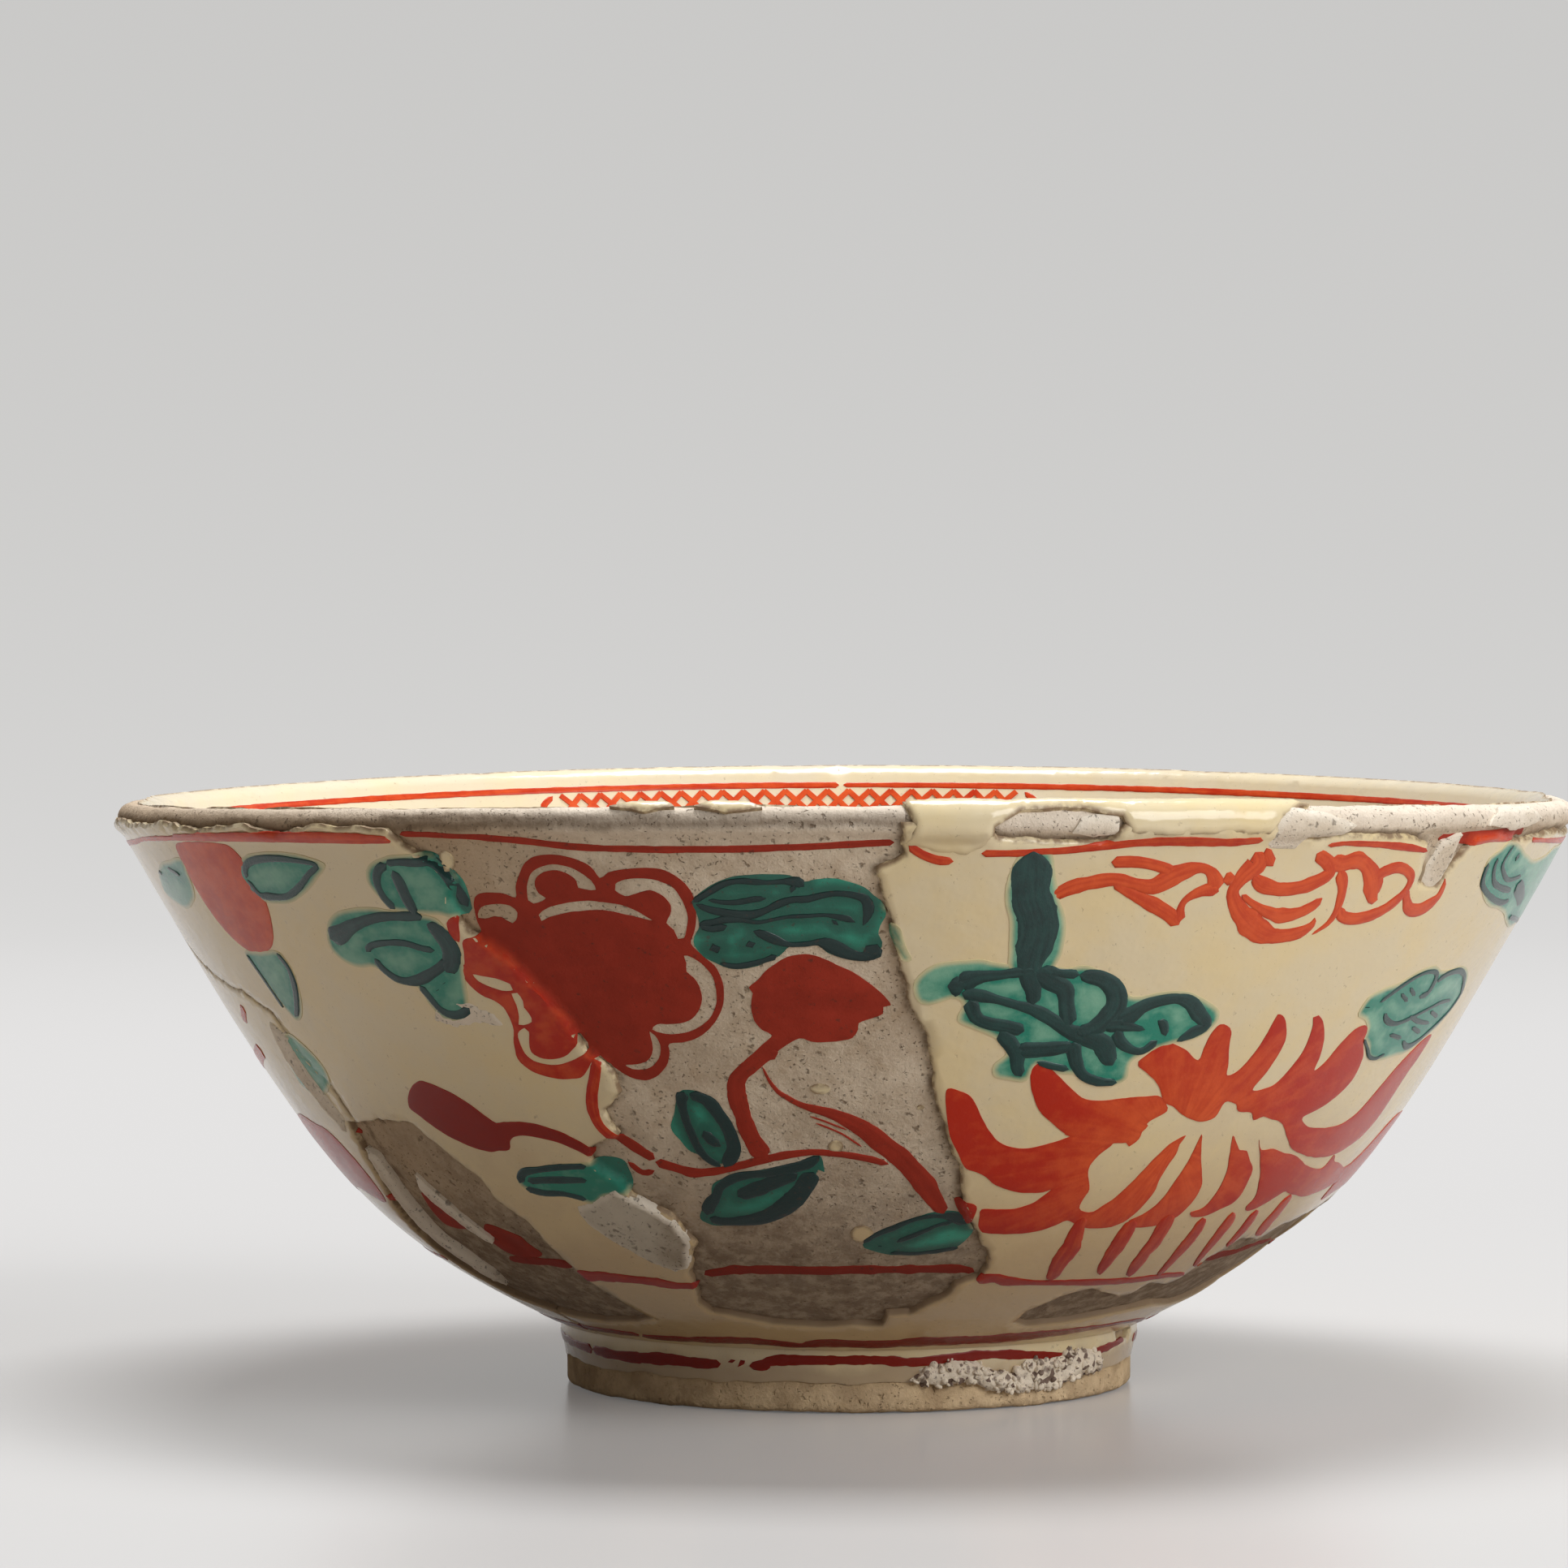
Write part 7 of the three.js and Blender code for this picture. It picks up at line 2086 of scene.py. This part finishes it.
@dataclass
class RadiantFlower:
    """The broad red flower at the right, its petals like flames, above a row of upright strokes."""

    centre: tuple[float, float] = (33.0, 47.0)
    petals: tuple[Outline, ...] = (
        ((8.35, 57), (9.5, 56.7), (10.6, 55.8), (11.4, 54), (12.1, 52), (13, 50), (14, 48.5), (15.3, 47.7),
        (16.9, 47.4), (18.4, 47.8), (19.9, 48.5), (21, 49.2), (25, 51.5), (28.8, 51), (28.6, 49.5),
        (27.5, 48), (25.5, 47.8), (24, 46.5), (22, 42), (20.3, 40.3), (19, 40), (17.3, 40.1), (15.8, 40.7),
        (14.5, 41.5), (13.4, 42.8), (12.3, 43.7), (11.2, 44.3), (10.3, 46.3), (9.3, 49), (8.8, 51.3),
        (8.3, 55)),
        ((15.6, 60.5), (16.5, 61), (17.5, 60), (18.2, 59), (19.5, 57.3), (20.8, 55.7), (22.1, 54.9),
        (23.8, 54.8), (25.6, 55.1), (27.3, 55.2), (29, 55.2), (29.9, 54.3), (30.6, 52.8), (29, 51.2),
        (28.7, 50), (28.6, 48.5), (27.8, 47.3), (27.3, 47.9), (26.2, 48.1), (25.1, 47.7), (21, 49.2),
        (20.3, 49.8), (19, 51.2), (17.5, 53), (16.4, 55.7), (15.9, 57.7)),
        ((13.6, 37.2), (15.3, 37.2), (17.3, 37.3), (18.8, 38), (19.9, 39.2), (20.8, 40.7), (21.7, 42.7),
        (22.3, 44.3), (23, 45.7), (23.6, 46.7), (24.9, 47.5), (25.8, 47.7), (24.9, 46.3), (24.3, 45),
        (24.1, 43.7), (24.5, 42), (25, 40.3), (24.8, 38.7), (24.7, 37), (25.6, 36.2), (26.7, 36.2),
        (27.5, 37.2), (28.6, 38.7), (29.7, 41), (30.6, 43.3), (31.7, 46), (32.7, 47.7), (34, 48.7),
        (33.7, 47.3), (33.8, 45.7), (33.4, 43.7), (33.1, 41.3), (33.2, 39.3), (32.7, 37), (32.1, 35.3),
        (31.2, 34), (29.9, 33.3), (28.2, 33.1), (26.7, 33.3), (25.1, 34), (23.8, 34.8), (22.7, 34),
        (21.2, 33.2), (19.5, 32.7), (17.3, 32.6), (15.1, 32.8), (14.3, 33), (13.6, 34.3), (13.5, 36)),
        ((10.6, 38.5), (13, 37.8), (12.8, 34.5), (13.3, 33), (12.6, 33.5)),
        ((35.9, 48.7), (35.8, 46), (35.6, 43.3), (35.2, 40.7), (34.9, 38.7), (34.3, 36.7), (33.2, 35.2),
        (31.9, 34.2), (33.4, 32.9), (35.1, 32.9), (36.2, 33), (38, 34), (38.8, 35), (39.4, 36.7),
        (39.5, 38.3), (39.3, 40.3), (38.6, 41.7), (38.1, 43), (37.3, 44.7), (36.8, 46), (36.3, 47.5)),
        ((25.8, 60.6), (27, 62.4), (28, 63.5), (29.2, 63), (30.5, 62.1), (32, 60.6), (32.2, 62.4),
        (32.4, 64.6), (33, 66), (33.8, 65.8), (34.5, 64.9), (34.9, 62.4), (35.5, 59.9), (36, 58),
        (37.1, 58.8), (38, 61.1), (38.6, 63.8), (38.9, 66.5), (39, 67.2), (39.7, 67), (40.5, 65.7),
        (41.3, 63), (41.1, 60.7), (40.5, 58), (39.8, 55.5), (41.9, 55.9), (43, 57.2), (44, 59.9),
        (44.3, 62.6), (44, 65.3), (43.6, 66.5), (44.2, 66.8), (45.4, 65.3), (46.4, 63), (47, 60.3),
        (47.2, 58), (48.3, 59.5), (49.2, 62.2), (50.4, 64.3), (51.6, 64.8), (52.5, 63.8), (52.7, 62.2),
        (54, 59.9), (54.5, 57.2), (54.2, 55.3), (53, 53.4), (51.4, 51.8), (49.2, 50.5), (50.7, 49),
        (52.6, 48.4), (55, 48.3), (57.3, 48.6), (59.2, 49.7), (60.4, 51.5), (61.6, 54.5), (63, 57.6),
        (64.5, 59.7), (65.9, 61.3), (67.8, 61.9), (67.8, 58), (67.3, 55.7), (67.3, 51.8), (66.9, 48.4),
        (65.7, 45.7), (63.5, 44.2), (60.9, 43.2), (57.8, 43), (55, 43.4), (52.6, 44.2), (50.7, 45.1),
        (49, 46.7), (47.3, 48.8), (45.9, 50.1), (44.5, 50.6), (43, 51.1), (41.9, 50.6), (41.1, 51.8),
        (39.2, 52.2), (38.5, 53.4), (37, 53.8), (36.6, 51.5), (35.3, 50.9), (34, 51.2), (32.3, 52.2),
        (31, 53.5), (30.1, 54), (29.5, 55), (28.6, 57), (27.1, 58.7), (25.9, 60)),
        ((40.1, 48.2), (40.9, 47.2), (42.1, 45.7), (43.2, 45.5), (44.5, 43.8), (45.8, 42.2), (46.4, 39.5),
        (46.6, 37.6), (46.1, 36.1), (44.7, 35.3), (43.3, 34.3), (41.9, 34), (40.8, 34.2), (40.2, 35.1),
        (41.4, 35.5), (42.1, 36.5), (42.3, 39.5), (41.9, 42.2), (41, 44.9)),
        ((44.2, 47.2), (45.4, 45.5), (47.3, 45.5), (49.5, 44.6), (51.1, 44.2), (53, 43.4), (55.4, 42),
        (57.8, 41.1), (60.4, 40.9), (61.1, 43), (62.6, 41.7), (65, 41.1), (67.8, 40.1), (70, 40.3),
        (70, 37.6), (67.3, 36.5), (64.5, 35.9), (61.4, 35.7), (59, 36.1), (56.4, 36.8), (55, 37.2),
        (53, 35.5), (51.6, 34.5), (50.2, 34.2), (49.4, 35.1), (49.7, 36.8), (48.5, 39.5), (47.3, 41.8),
        (45.7, 44.5)),
        ((69.6, 39.9), (71.4, 42.4), (73.6, 46.1), (76.1, 48), (80, 48.3), (84.3, 47.4), (88, 46.1),
        (90, 40), (88, 34), (80.7, 35.5), (73.6, 34.9), (70, 34)))
    fence: tuple[Stroke, ...] = (
        ((25.7, 35.3, .9), (25.7, 32.7, 1.1), (26, 29.3, 1.5), (25.8, 26, 1.35), (26.1, 23, .9),
        (26.2, 22, .8)),
        ((32.4, 34.3, 1), (32.4, 31.7, 1.3), (32.5, 29, 1.35), (32.6, 26.3, 1.1), (32.8, 24.3, .8),
        (33.1, 22.8, .35)),
        ((37.1, 35, 1.1), (37.5, 32.3, 1.3), (37.8, 29, 1.3), (37.7, 26.7, 1.2), (38.1, 24, 1),
        (38.6, 21.7, .6)),
        ((42.8, 33.8, .7), (43.4, 31.5, 1), (43.6, 28.4, 1.15), (43.8, 25.3, .95), (44.1, 22.6, .7),
        (44.4, 21.3, .4)),
        ((47.5, 34.3, .5), (48.2, 32.2, 1.1), (48.5, 29.5, 1.1), (48.9, 26.8, .85), (49.5, 24.5, .6),
        (50.4, 22.6, .4)), ((52.1, 34.2, .8), (52.7, 31.8, 1.1), (53, 29.5, 1), (52.9, 26.8, .6)),
        ((57.3, 36.5, 1), (57.6, 33.4, 1.4), (58, 30.3, 1.5), (59.2, 28.4, .9)))

    def build(self, palette: Palette) -> None:
        """Paints the petals and the strokes under them."""
        palette.lay("red_radiant_flower", Slot.RED, Brush(seed=540, centre=self.centre), self.petals)
        upright = Brush(depth=0.75, thickness=0.14, seed=570)
        palette.lay("red_upright_strokes", Slot.RED, upright, strokes=self.fence)


@dataclass
class LeftSide:
    """What is painted at the far left: a bud, strokes on the back sheet and remains in the left window."""

    bud: Outline = (
        (-63.4, 92), (-61.6, 93), (-58.4, 93.2), (-55.1, 93), (-53.7, 92), (-52.8, 89.2), (-52.6, 84.9),
        (-53.5, 80.5), (-55.1, 77.4), (-57.3, 76), (-59.8, 76.1), (-61.9, 78), (-63.4, 81.1), (-64, 84.9),
        (-63.9, 88.6))
    fills: tuple[Outline, ...] = (
        ((-57.3, 30), (-56.6, 35.5), (-54.8, 36.4), (-53.7, 34.9), (-52.3, 30)),
        ((-48, 31), (-45, 30), (-43.2, 29), (-42.9, 27.2), (-42, 25.6), (-43.9, 24.4), (-48, 24.5),
        (-50, 27.5)))
    strokes: tuple[Stroke, ...] = (
        ((-88, 55.5, 1.2), (-79.8, 57.4, 1.2), (-73.7, 59.2, 1.2)), ((-73, 64, .7), (-70, 66.5, .7)),
        ((-64.8, 35.5, .9), (-63, 33, 1.1), (-61, 31, .8)), ((-62.4, 39, .5), (-61.6, 39, .5)),
        ((-60.4, 46.8, .5), (-59.6, 46.8, .5)))

    def build(self, palette: Palette) -> None:
        """Paints it."""
        # The far-left bud is laid thin, so it reads lighter and pinker: thin paint, and also a painted sheen where it
        # catches the bright floor.
        palette.lay("red_bud_far_left", Slot.RED, Brush(depth=0.25, seed=600), [self.bud])
        palette.lay("red_marks_left", Slot.RED, Brush(seed=610), self.fills, self.strokes)


@dataclass
class InsidePaint:
    """The border inside the rim, with four panels of lattice and sprigs between them, and the flower below."""

    quarter: tuple[float, ...] = (0, 8, 16, 24, 32, 40, 48, 56, 64, 72, 89.6)
    line: float = 2.2
    line_halves: tuple[float, float] = (0.5, 0.4)
    rings: tuple[tuple[float, float], ...] = ((14.0, 0.35), (58.0, 0.4), (60.0, 0.3))
    band: tuple[float, float] = (3.2, 12.8)
    panels: tuple[float, ...] = (185.0, 95.0, 5.0, -85.0)
    half_width: float = 22.4
    bracket: Stroke = ((0, 0, .4), (1.2, 2, .55), (-.2, 4.8, .4), (1.2, 7.6, .55), (0, 9.6, .4))
    pitch: float = 3.2
    lattice_rows: int = 3
    bar_reach: float = 0.74
    bar_half: float = 0.42
    bar_heights: tuple[float, float] = (-0.08, 0.18)
    bar_faces: tuple[tuple[int, ...], ...] = (
        (0, 1, 3, 2), (2, 3, 5, 4), (4, 5, 7, 6), (6, 7, 1, 0), (1, 7, 5, 3), (0, 2, 4, 6))
    sprigs: tuple[tuple[float, float], ...] = ((33.0, 7.6), (45.0, 9.1), (57.0, 7.6))
    sprig_petal: Stroke = ((.5, .9, .3), (1.2, 2, .8), (1.7, 2.8, .5))
    sprig_leaf: Outline = ((2.2, 0), (3.4, -1.7), (5.2, -1), (4.6, .8), (3.2, 1.2))
    floor_petal: Stroke = ((0, 4, .6), (4, 7, 1.5), (-3, 11.56, 1.7), (0, 13.6, .7))
    floor_ring: tuple[float, float] = (22.95, 0.45)
    floor_leaf: Outline = ((0, 13), (9, 15.5), (7, 19.4), (0, 21), (-6, 19), (-8, 15.4))

    def build(self, palette: Palette) -> None:
        """Paints the border, the lattice, the sprigs and the flower."""
        self.border(palette)
        self.lattice(palette)
        self.blossoms(palette)
        self.flower(palette)

    def border(self, palette: Palette) -> None:
        """The rings round the inside, and the brackets at the ends of the panels."""
        start = SKIN.marks["inside"]
        quarters = [[first + turn for turn in self.quarter] for first in (-180, -90, 0, 90)]
        halves = [self.line_halves[0]] * (len(self.quarter) - 1) + [self.line_halves[1]]
        lines = [[(turn, start + self.line, half) for turn, half in zip(turns, halves)] for turns in quarters]
        lines += [[(turn, start + run, half) for turn in turns] for turns in quarters for run, half in self.rings]
        for middle, side in itertools.product(self.panels, (-1, 1)):
            edge, low = middle + side * self.half_width, start + self.band[0]
            lines.append([(edge + side * wide, low + up, half) for wide, up, half in self.bracket])
        palette.lay("red_border_inside", Slot.RED, Brush(depth=0.55, seed=700), strokes=lines)

    def lattice(self, palette: Palette) -> None:
        """Repeats crossed strokes with Geometry Nodes, and lays them on the wall in each panel."""
        scale = SKIN.scale_at(SKIN.marks["inside"] + 6.0)
        columns = int((self.half_width * 2 * scale - 2) / self.pitch)
        growth = Growth("repeat_crosses", {"Columns": columns, "Rows": self.lattice_rows, "Pitch": self.pitch})
        material = palette.material(Slot.RED)
        flat = growth.grow(self.crossed_strokes(), self.repeat, material)
        points = np.empty(len(flat.vertices) * 3)
        flat.vertices.foreach_get("co", points)
        wide, run, lift = points.reshape(-1, 3).T
        faces = [tuple(face.vertices) for face in flat.polygons]
        bpy.data.meshes.remove(flat)
        runs = run + SKIN.marks["inside"] + sum(self.band) / 2
        even = {"edge": np.full(len(runs), 0.4), "glazed": np.ones(len(runs)),
                "flow": np.stack((wide * 0.3, run * 0.3, np.zeros(len(runs))), -1)}
        for index, middle in enumerate(self.panels):
            turns = middle + wide / scale
            depth = relief(SKIN.solid_place(turns, runs), 720, (0.3, 6.0), base=0.35)
            place = SKIN.place(turns, runs, GLAZING.face(turns, runs)[0] + lift)
            piece = make_object(f"red_lattice_{index + 1}", Shape(place, faces, {**even, "depth": depth}), material)
            settle(piece, Slot.RED)

    def crossed_strokes(self) -> bpy.types.Mesh:
        """Two bars that cross, one unit of the lattice."""
        reach, half, diagonal = self.pitch * self.bar_reach, self.bar_half, 0.7071
        corners, faces = [], []
        for slope in (1, -1):
            faces += [tuple(len(corners) + k for k in face) for face in self.bar_faces]
            for along, across in ((-reach, -half), (reach, -half), (reach, half), (-reach, half)):
                turned = ((along - across * slope) * diagonal, (along * slope + across) * diagonal)
                corners += [(*turned, height) for height in self.bar_heights]
        mesh = bpy.data.meshes.new("crossed_strokes")
        mesh.from_pydata(corners, [], faces)
        return mesh

    def repeat(self, nodes: Nodes, start: bpy.types.Node) -> Out:
        """The crossed strokes at each point of a grid."""
        geometry, columns, rows, pitch = list(start.outputs)[:4]
        wide, tall = (nodes.times(pitch, nodes.math("SUBTRACT", count, 1.0)) for count in (columns, rows))
        sizes = {"Size X": wide, "Size Y": tall, "Vertices X": columns, "Vertices Y": rows}
        grid = nodes.add("GeometryNodeMeshGrid", sizes).outputs["Mesh"]
        return nodes.add("GeometryNodeInstanceOnPoints", {"Points": grid, "Instance": geometry}).outputs[0]

    def blossoms(self, palette: Palette) -> None:
        """Red blossoms with two green leaves each in the plain panels."""
        petals, leaves = [], []
        for middle, (shift, up) in itertools.product(self.panels, self.sprigs):
            turn, run = middle + shift, SKIN.marks["inside"] + up
            for k in range(5):
                angle = math.radians(72 * k + shift)
                petals.append([(turn + math.cos(angle) * wide, run + math.sin(angle) * tall, half)
                               for wide, tall, half in self.sprig_petal])
            leaves += [[(turn + side * wide, run + tall) for wide, tall in self.sprig_leaf] for side in (-1, 1)]
        palette.lay("red_blossoms_inside", Slot.RED, Brush(depth=0.5, seed=730), strokes=petals)
        palette.lay("green_leaves_inside", Slot.GREEN, Brush(depth=0.7, seed=760), leaves)

    def flower(self, palette: Palette) -> None:
        """The flower in the middle of the floor, inside a ring."""
        end, (ring, ring_half) = SKIN.marks["end"], self.floor_ring
        petals = [[(turn + wide, end - out, half) for wide, out, half in self.floor_petal]
                  for turn in range(-180, 180, 45)]
        petals += [[(first + k * 10, end - ring, ring_half) for k in range(12)] for first in (-180, -60, 60)]
        leaves = [[(turn + wide, end - out) for wide, out in self.floor_leaf] for turn in (-157.5, -67.5, 22.5, 112.5)]
        palette.lay("red_flower_inside", Slot.RED, Brush(seed=800), strokes=petals)
        palette.lay("green_flower_leaves_inside", Slot.GREEN, Brush(depth=0.7, seed=830), leaves)


def paint(palette: Palette) -> None:
    """Paints the front, repeats its motifs round the back, and paints the inside."""
    around = {
        (0.0, ""): (RedLines(), Peony(), Branches(), *LEAVES, Ribbon(), RadiantFlower(), LeftSide()),
        (146.0, "_back"): (Peony(), Branches(), *LEAVES[:6], Ribbon()),
        (205.0, "_back"): (LEAVES[6], RadiantFlower())}
    for (palette.turn, palette.suffix), parts in around.items():
        for part in parts:
            part.build(palette)
    palette.turn, palette.suffix = 0.0, ""
    InsidePaint().build(palette)


@dataclass(frozen=True)
class Lamp:
    """A soft rectangular lamp: its place, what it points at, its width and height, and its power."""

    name: str
    place: tuple[float, float, float]
    target: tuple[float, float, float]
    size: tuple[float, float]
    watts: float

    def build(self) -> None:
        """Makes the lamp."""
        lamp = bpy.data.lights.new(self.name, "AREA")
        lamp.shape, lamp.energy = "RECTANGLE", self.watts
        lamp.size, lamp.size_y = self.size
        holder = link(self.name, lamp)
        holder.location = self.place
        ahead = Vector(self.target) - Vector(self.place)
        holder.rotation_euler = ahead.to_track_quat("-Z", "Y").to_euler()


@dataclass
class Studio:
    """The pale floor and backdrop, the soft lamps and the camera, in metres."""

    floor: Colour = (0.66, 0.655, 0.655)
    floor_bounce: Colour = (0.40, 0.345, 0.29)
    near_haze: Colour = (0.78, 0.77, 0.765)
    backdrop: Colour = (0.615, 0.61, 0.60)
    top: Colour = (0.585, 0.58, 0.57)
    floor_roughness: float = 0.24
    floor_gloss: float = 0.5
    floor_drop: float = 0.00016
    sweep_half: float = 5.0
    sweep_front: float = -3.0
    sweep_bend: float = 1.2
    sweep_height: float = 5.0
    haze: Fade = Fade(0.03, 0.35, 0.12, 1.0)
    haze_end: Fade = Fade(0.6, 2.1)
    haze_top: Fade = Fade(0.05, 0.5)
    haze_stray: float = 0.2
    lamps: tuple[Lamp, ...] = (
        Lamp("lamp_overhead", (0.03, 0.30, 1.28), (0, 0.02, 0.05), (0.72, 0.55), 16.5),
        Lamp("lamp_key", (1.19, -1.0, 0.9), (0, 0, 0.05), (1.3, 1.0), 24.0))
    room_light: tuple[float, float, float, float] = (1.0, 0.94, 0.87, 1)
    room_strength: float = 0.17
    camera_place: tuple[float, float, float] = (-0.00898, -0.9, 0.107)
    camera_pitch: float = 88.44
    lens: float = 149.4
    sensor: float = 36.0
    clip: tuple[float, float] = (0.01, 20.0)

    def build(self) -> None:
        """Makes the stage, the lamps and the camera."""
        self.make_floor()
        for lamp in self.lamps:
            lamp.build()
        self.make_world()
        self.make_camera()

    def make_floor(self) -> None:
        """A sheet that lies flat and curves up far behind the bowl."""
        bend = self.sweep_bend
        rise = arc((bend, bend), bend, -90, 0)(np.linspace(0, 1, 25))
        line = np.vstack([(self.sweep_front, 0.0), (bend, 0.0), rise[1:], (2 * bend, self.sweep_height)])
        height = line[:, 1] - self.floor_drop
        sides = (-self.sweep_half, self.sweep_half)
        corners = np.vstack([np.stack((np.full(len(line), x), line[:, 0], height), -1) for x in sides])
        faces = [(i, i + len(line), i + len(line) + 1, i + 1) for i in range(len(line) - 1)]
        sweep = make_object("pale_sweep", Shape(corners, faces), self.floor_material(), 180)

    def floor_material(self) -> bpy.types.Material:
        """A pale floor that shows the camera a plain backdrop and keeps the bowl's shadow."""
        material, nodes, shader, place = Finish().begin("pale_sweep")
        shader.inputs["Roughness"].default_value = self.floor_roughness
        shader.inputs["Specular IOR Level"].default_value = self.floor_gloss
        cloud = nodes.add("TexNoise", {"Vector": place, "Scale": 0.8, "Detail": 2.0}).outputs[0]
        far, up = nodes.axis(place, "Y"), nodes.axis(place, "Z")
        rays = nodes.add("LightPath").outputs
        seen = nodes.math("ADD", rays["Is Camera Ray"], rays["Is Glossy Ray"])
        seen = nodes.math("ADD", seen, rays["Is Transmission Ray"], clamp=True)
        nodes.feed(shader.inputs["Base Color"], nodes.blend(seen, self.floor_bounce, self.floor))
        distance = nodes.math("MULTIPLY_ADD", cloud, self.haze_stray, far)
        tint = nodes.blend(nodes.fade(distance, self.haze_end), self.near_haze, self.backdrop)
        tint = nodes.blend(nodes.fade(up, self.haze_top), tint, self.top)
        glow = nodes.add("Emission", {"Color": tint, "Strength": 1.0}).outputs[0]
        share = nodes.times(nodes.fade(far, self.haze), seen)
        mixed = nodes.add("MixShader", {0: share, 1: shader.outputs[0], 2: glow}).outputs[0]
        nodes.feed(material.node_tree.nodes["Material Output"].inputs["Surface"], mixed)
        return material

    def make_world(self) -> None:
        """A faint warm light from all sides."""
        world = bpy.data.worlds.new("studio")
        bpy.context.scene.world = world
        world.use_nodes = True
        shell = world.node_tree.nodes["Background"]
        shell.inputs["Color"].default_value = self.room_light
        shell.inputs["Strength"].default_value = self.room_strength

    def make_camera(self) -> None:
        """The camera, level with the rim and far back, as in the photograph."""
        camera = bpy.data.cameras.new("camera")
        camera.lens, camera.sensor_width = self.lens, self.sensor
        camera.clip_start, camera.clip_end = self.clip
        holder = link("camera", camera)
        holder.location = self.camera_place
        holder.rotation_euler = (math.radians(self.camera_pitch), 0, 0)
        bpy.context.scene.camera = holder


def main() -> None:
    """Builds the bowl and its studio."""
    logging.basicConfig(level=logging.INFO, format="%(message)s")
    bpy.context.scene.view_settings.view_transform = "Standard"
    glaze = GlazeFinish().material()
    ClayBody().build()
    WallGlaze().build(glaze)
    LooseGlaze().build(glaze)
    InsideGlaze().build()
    FootGlaze().build(glaze)
    KilnGrit().build()
    paint(Palette())
    Studio().build()


if __name__ == "__main__":
    main()
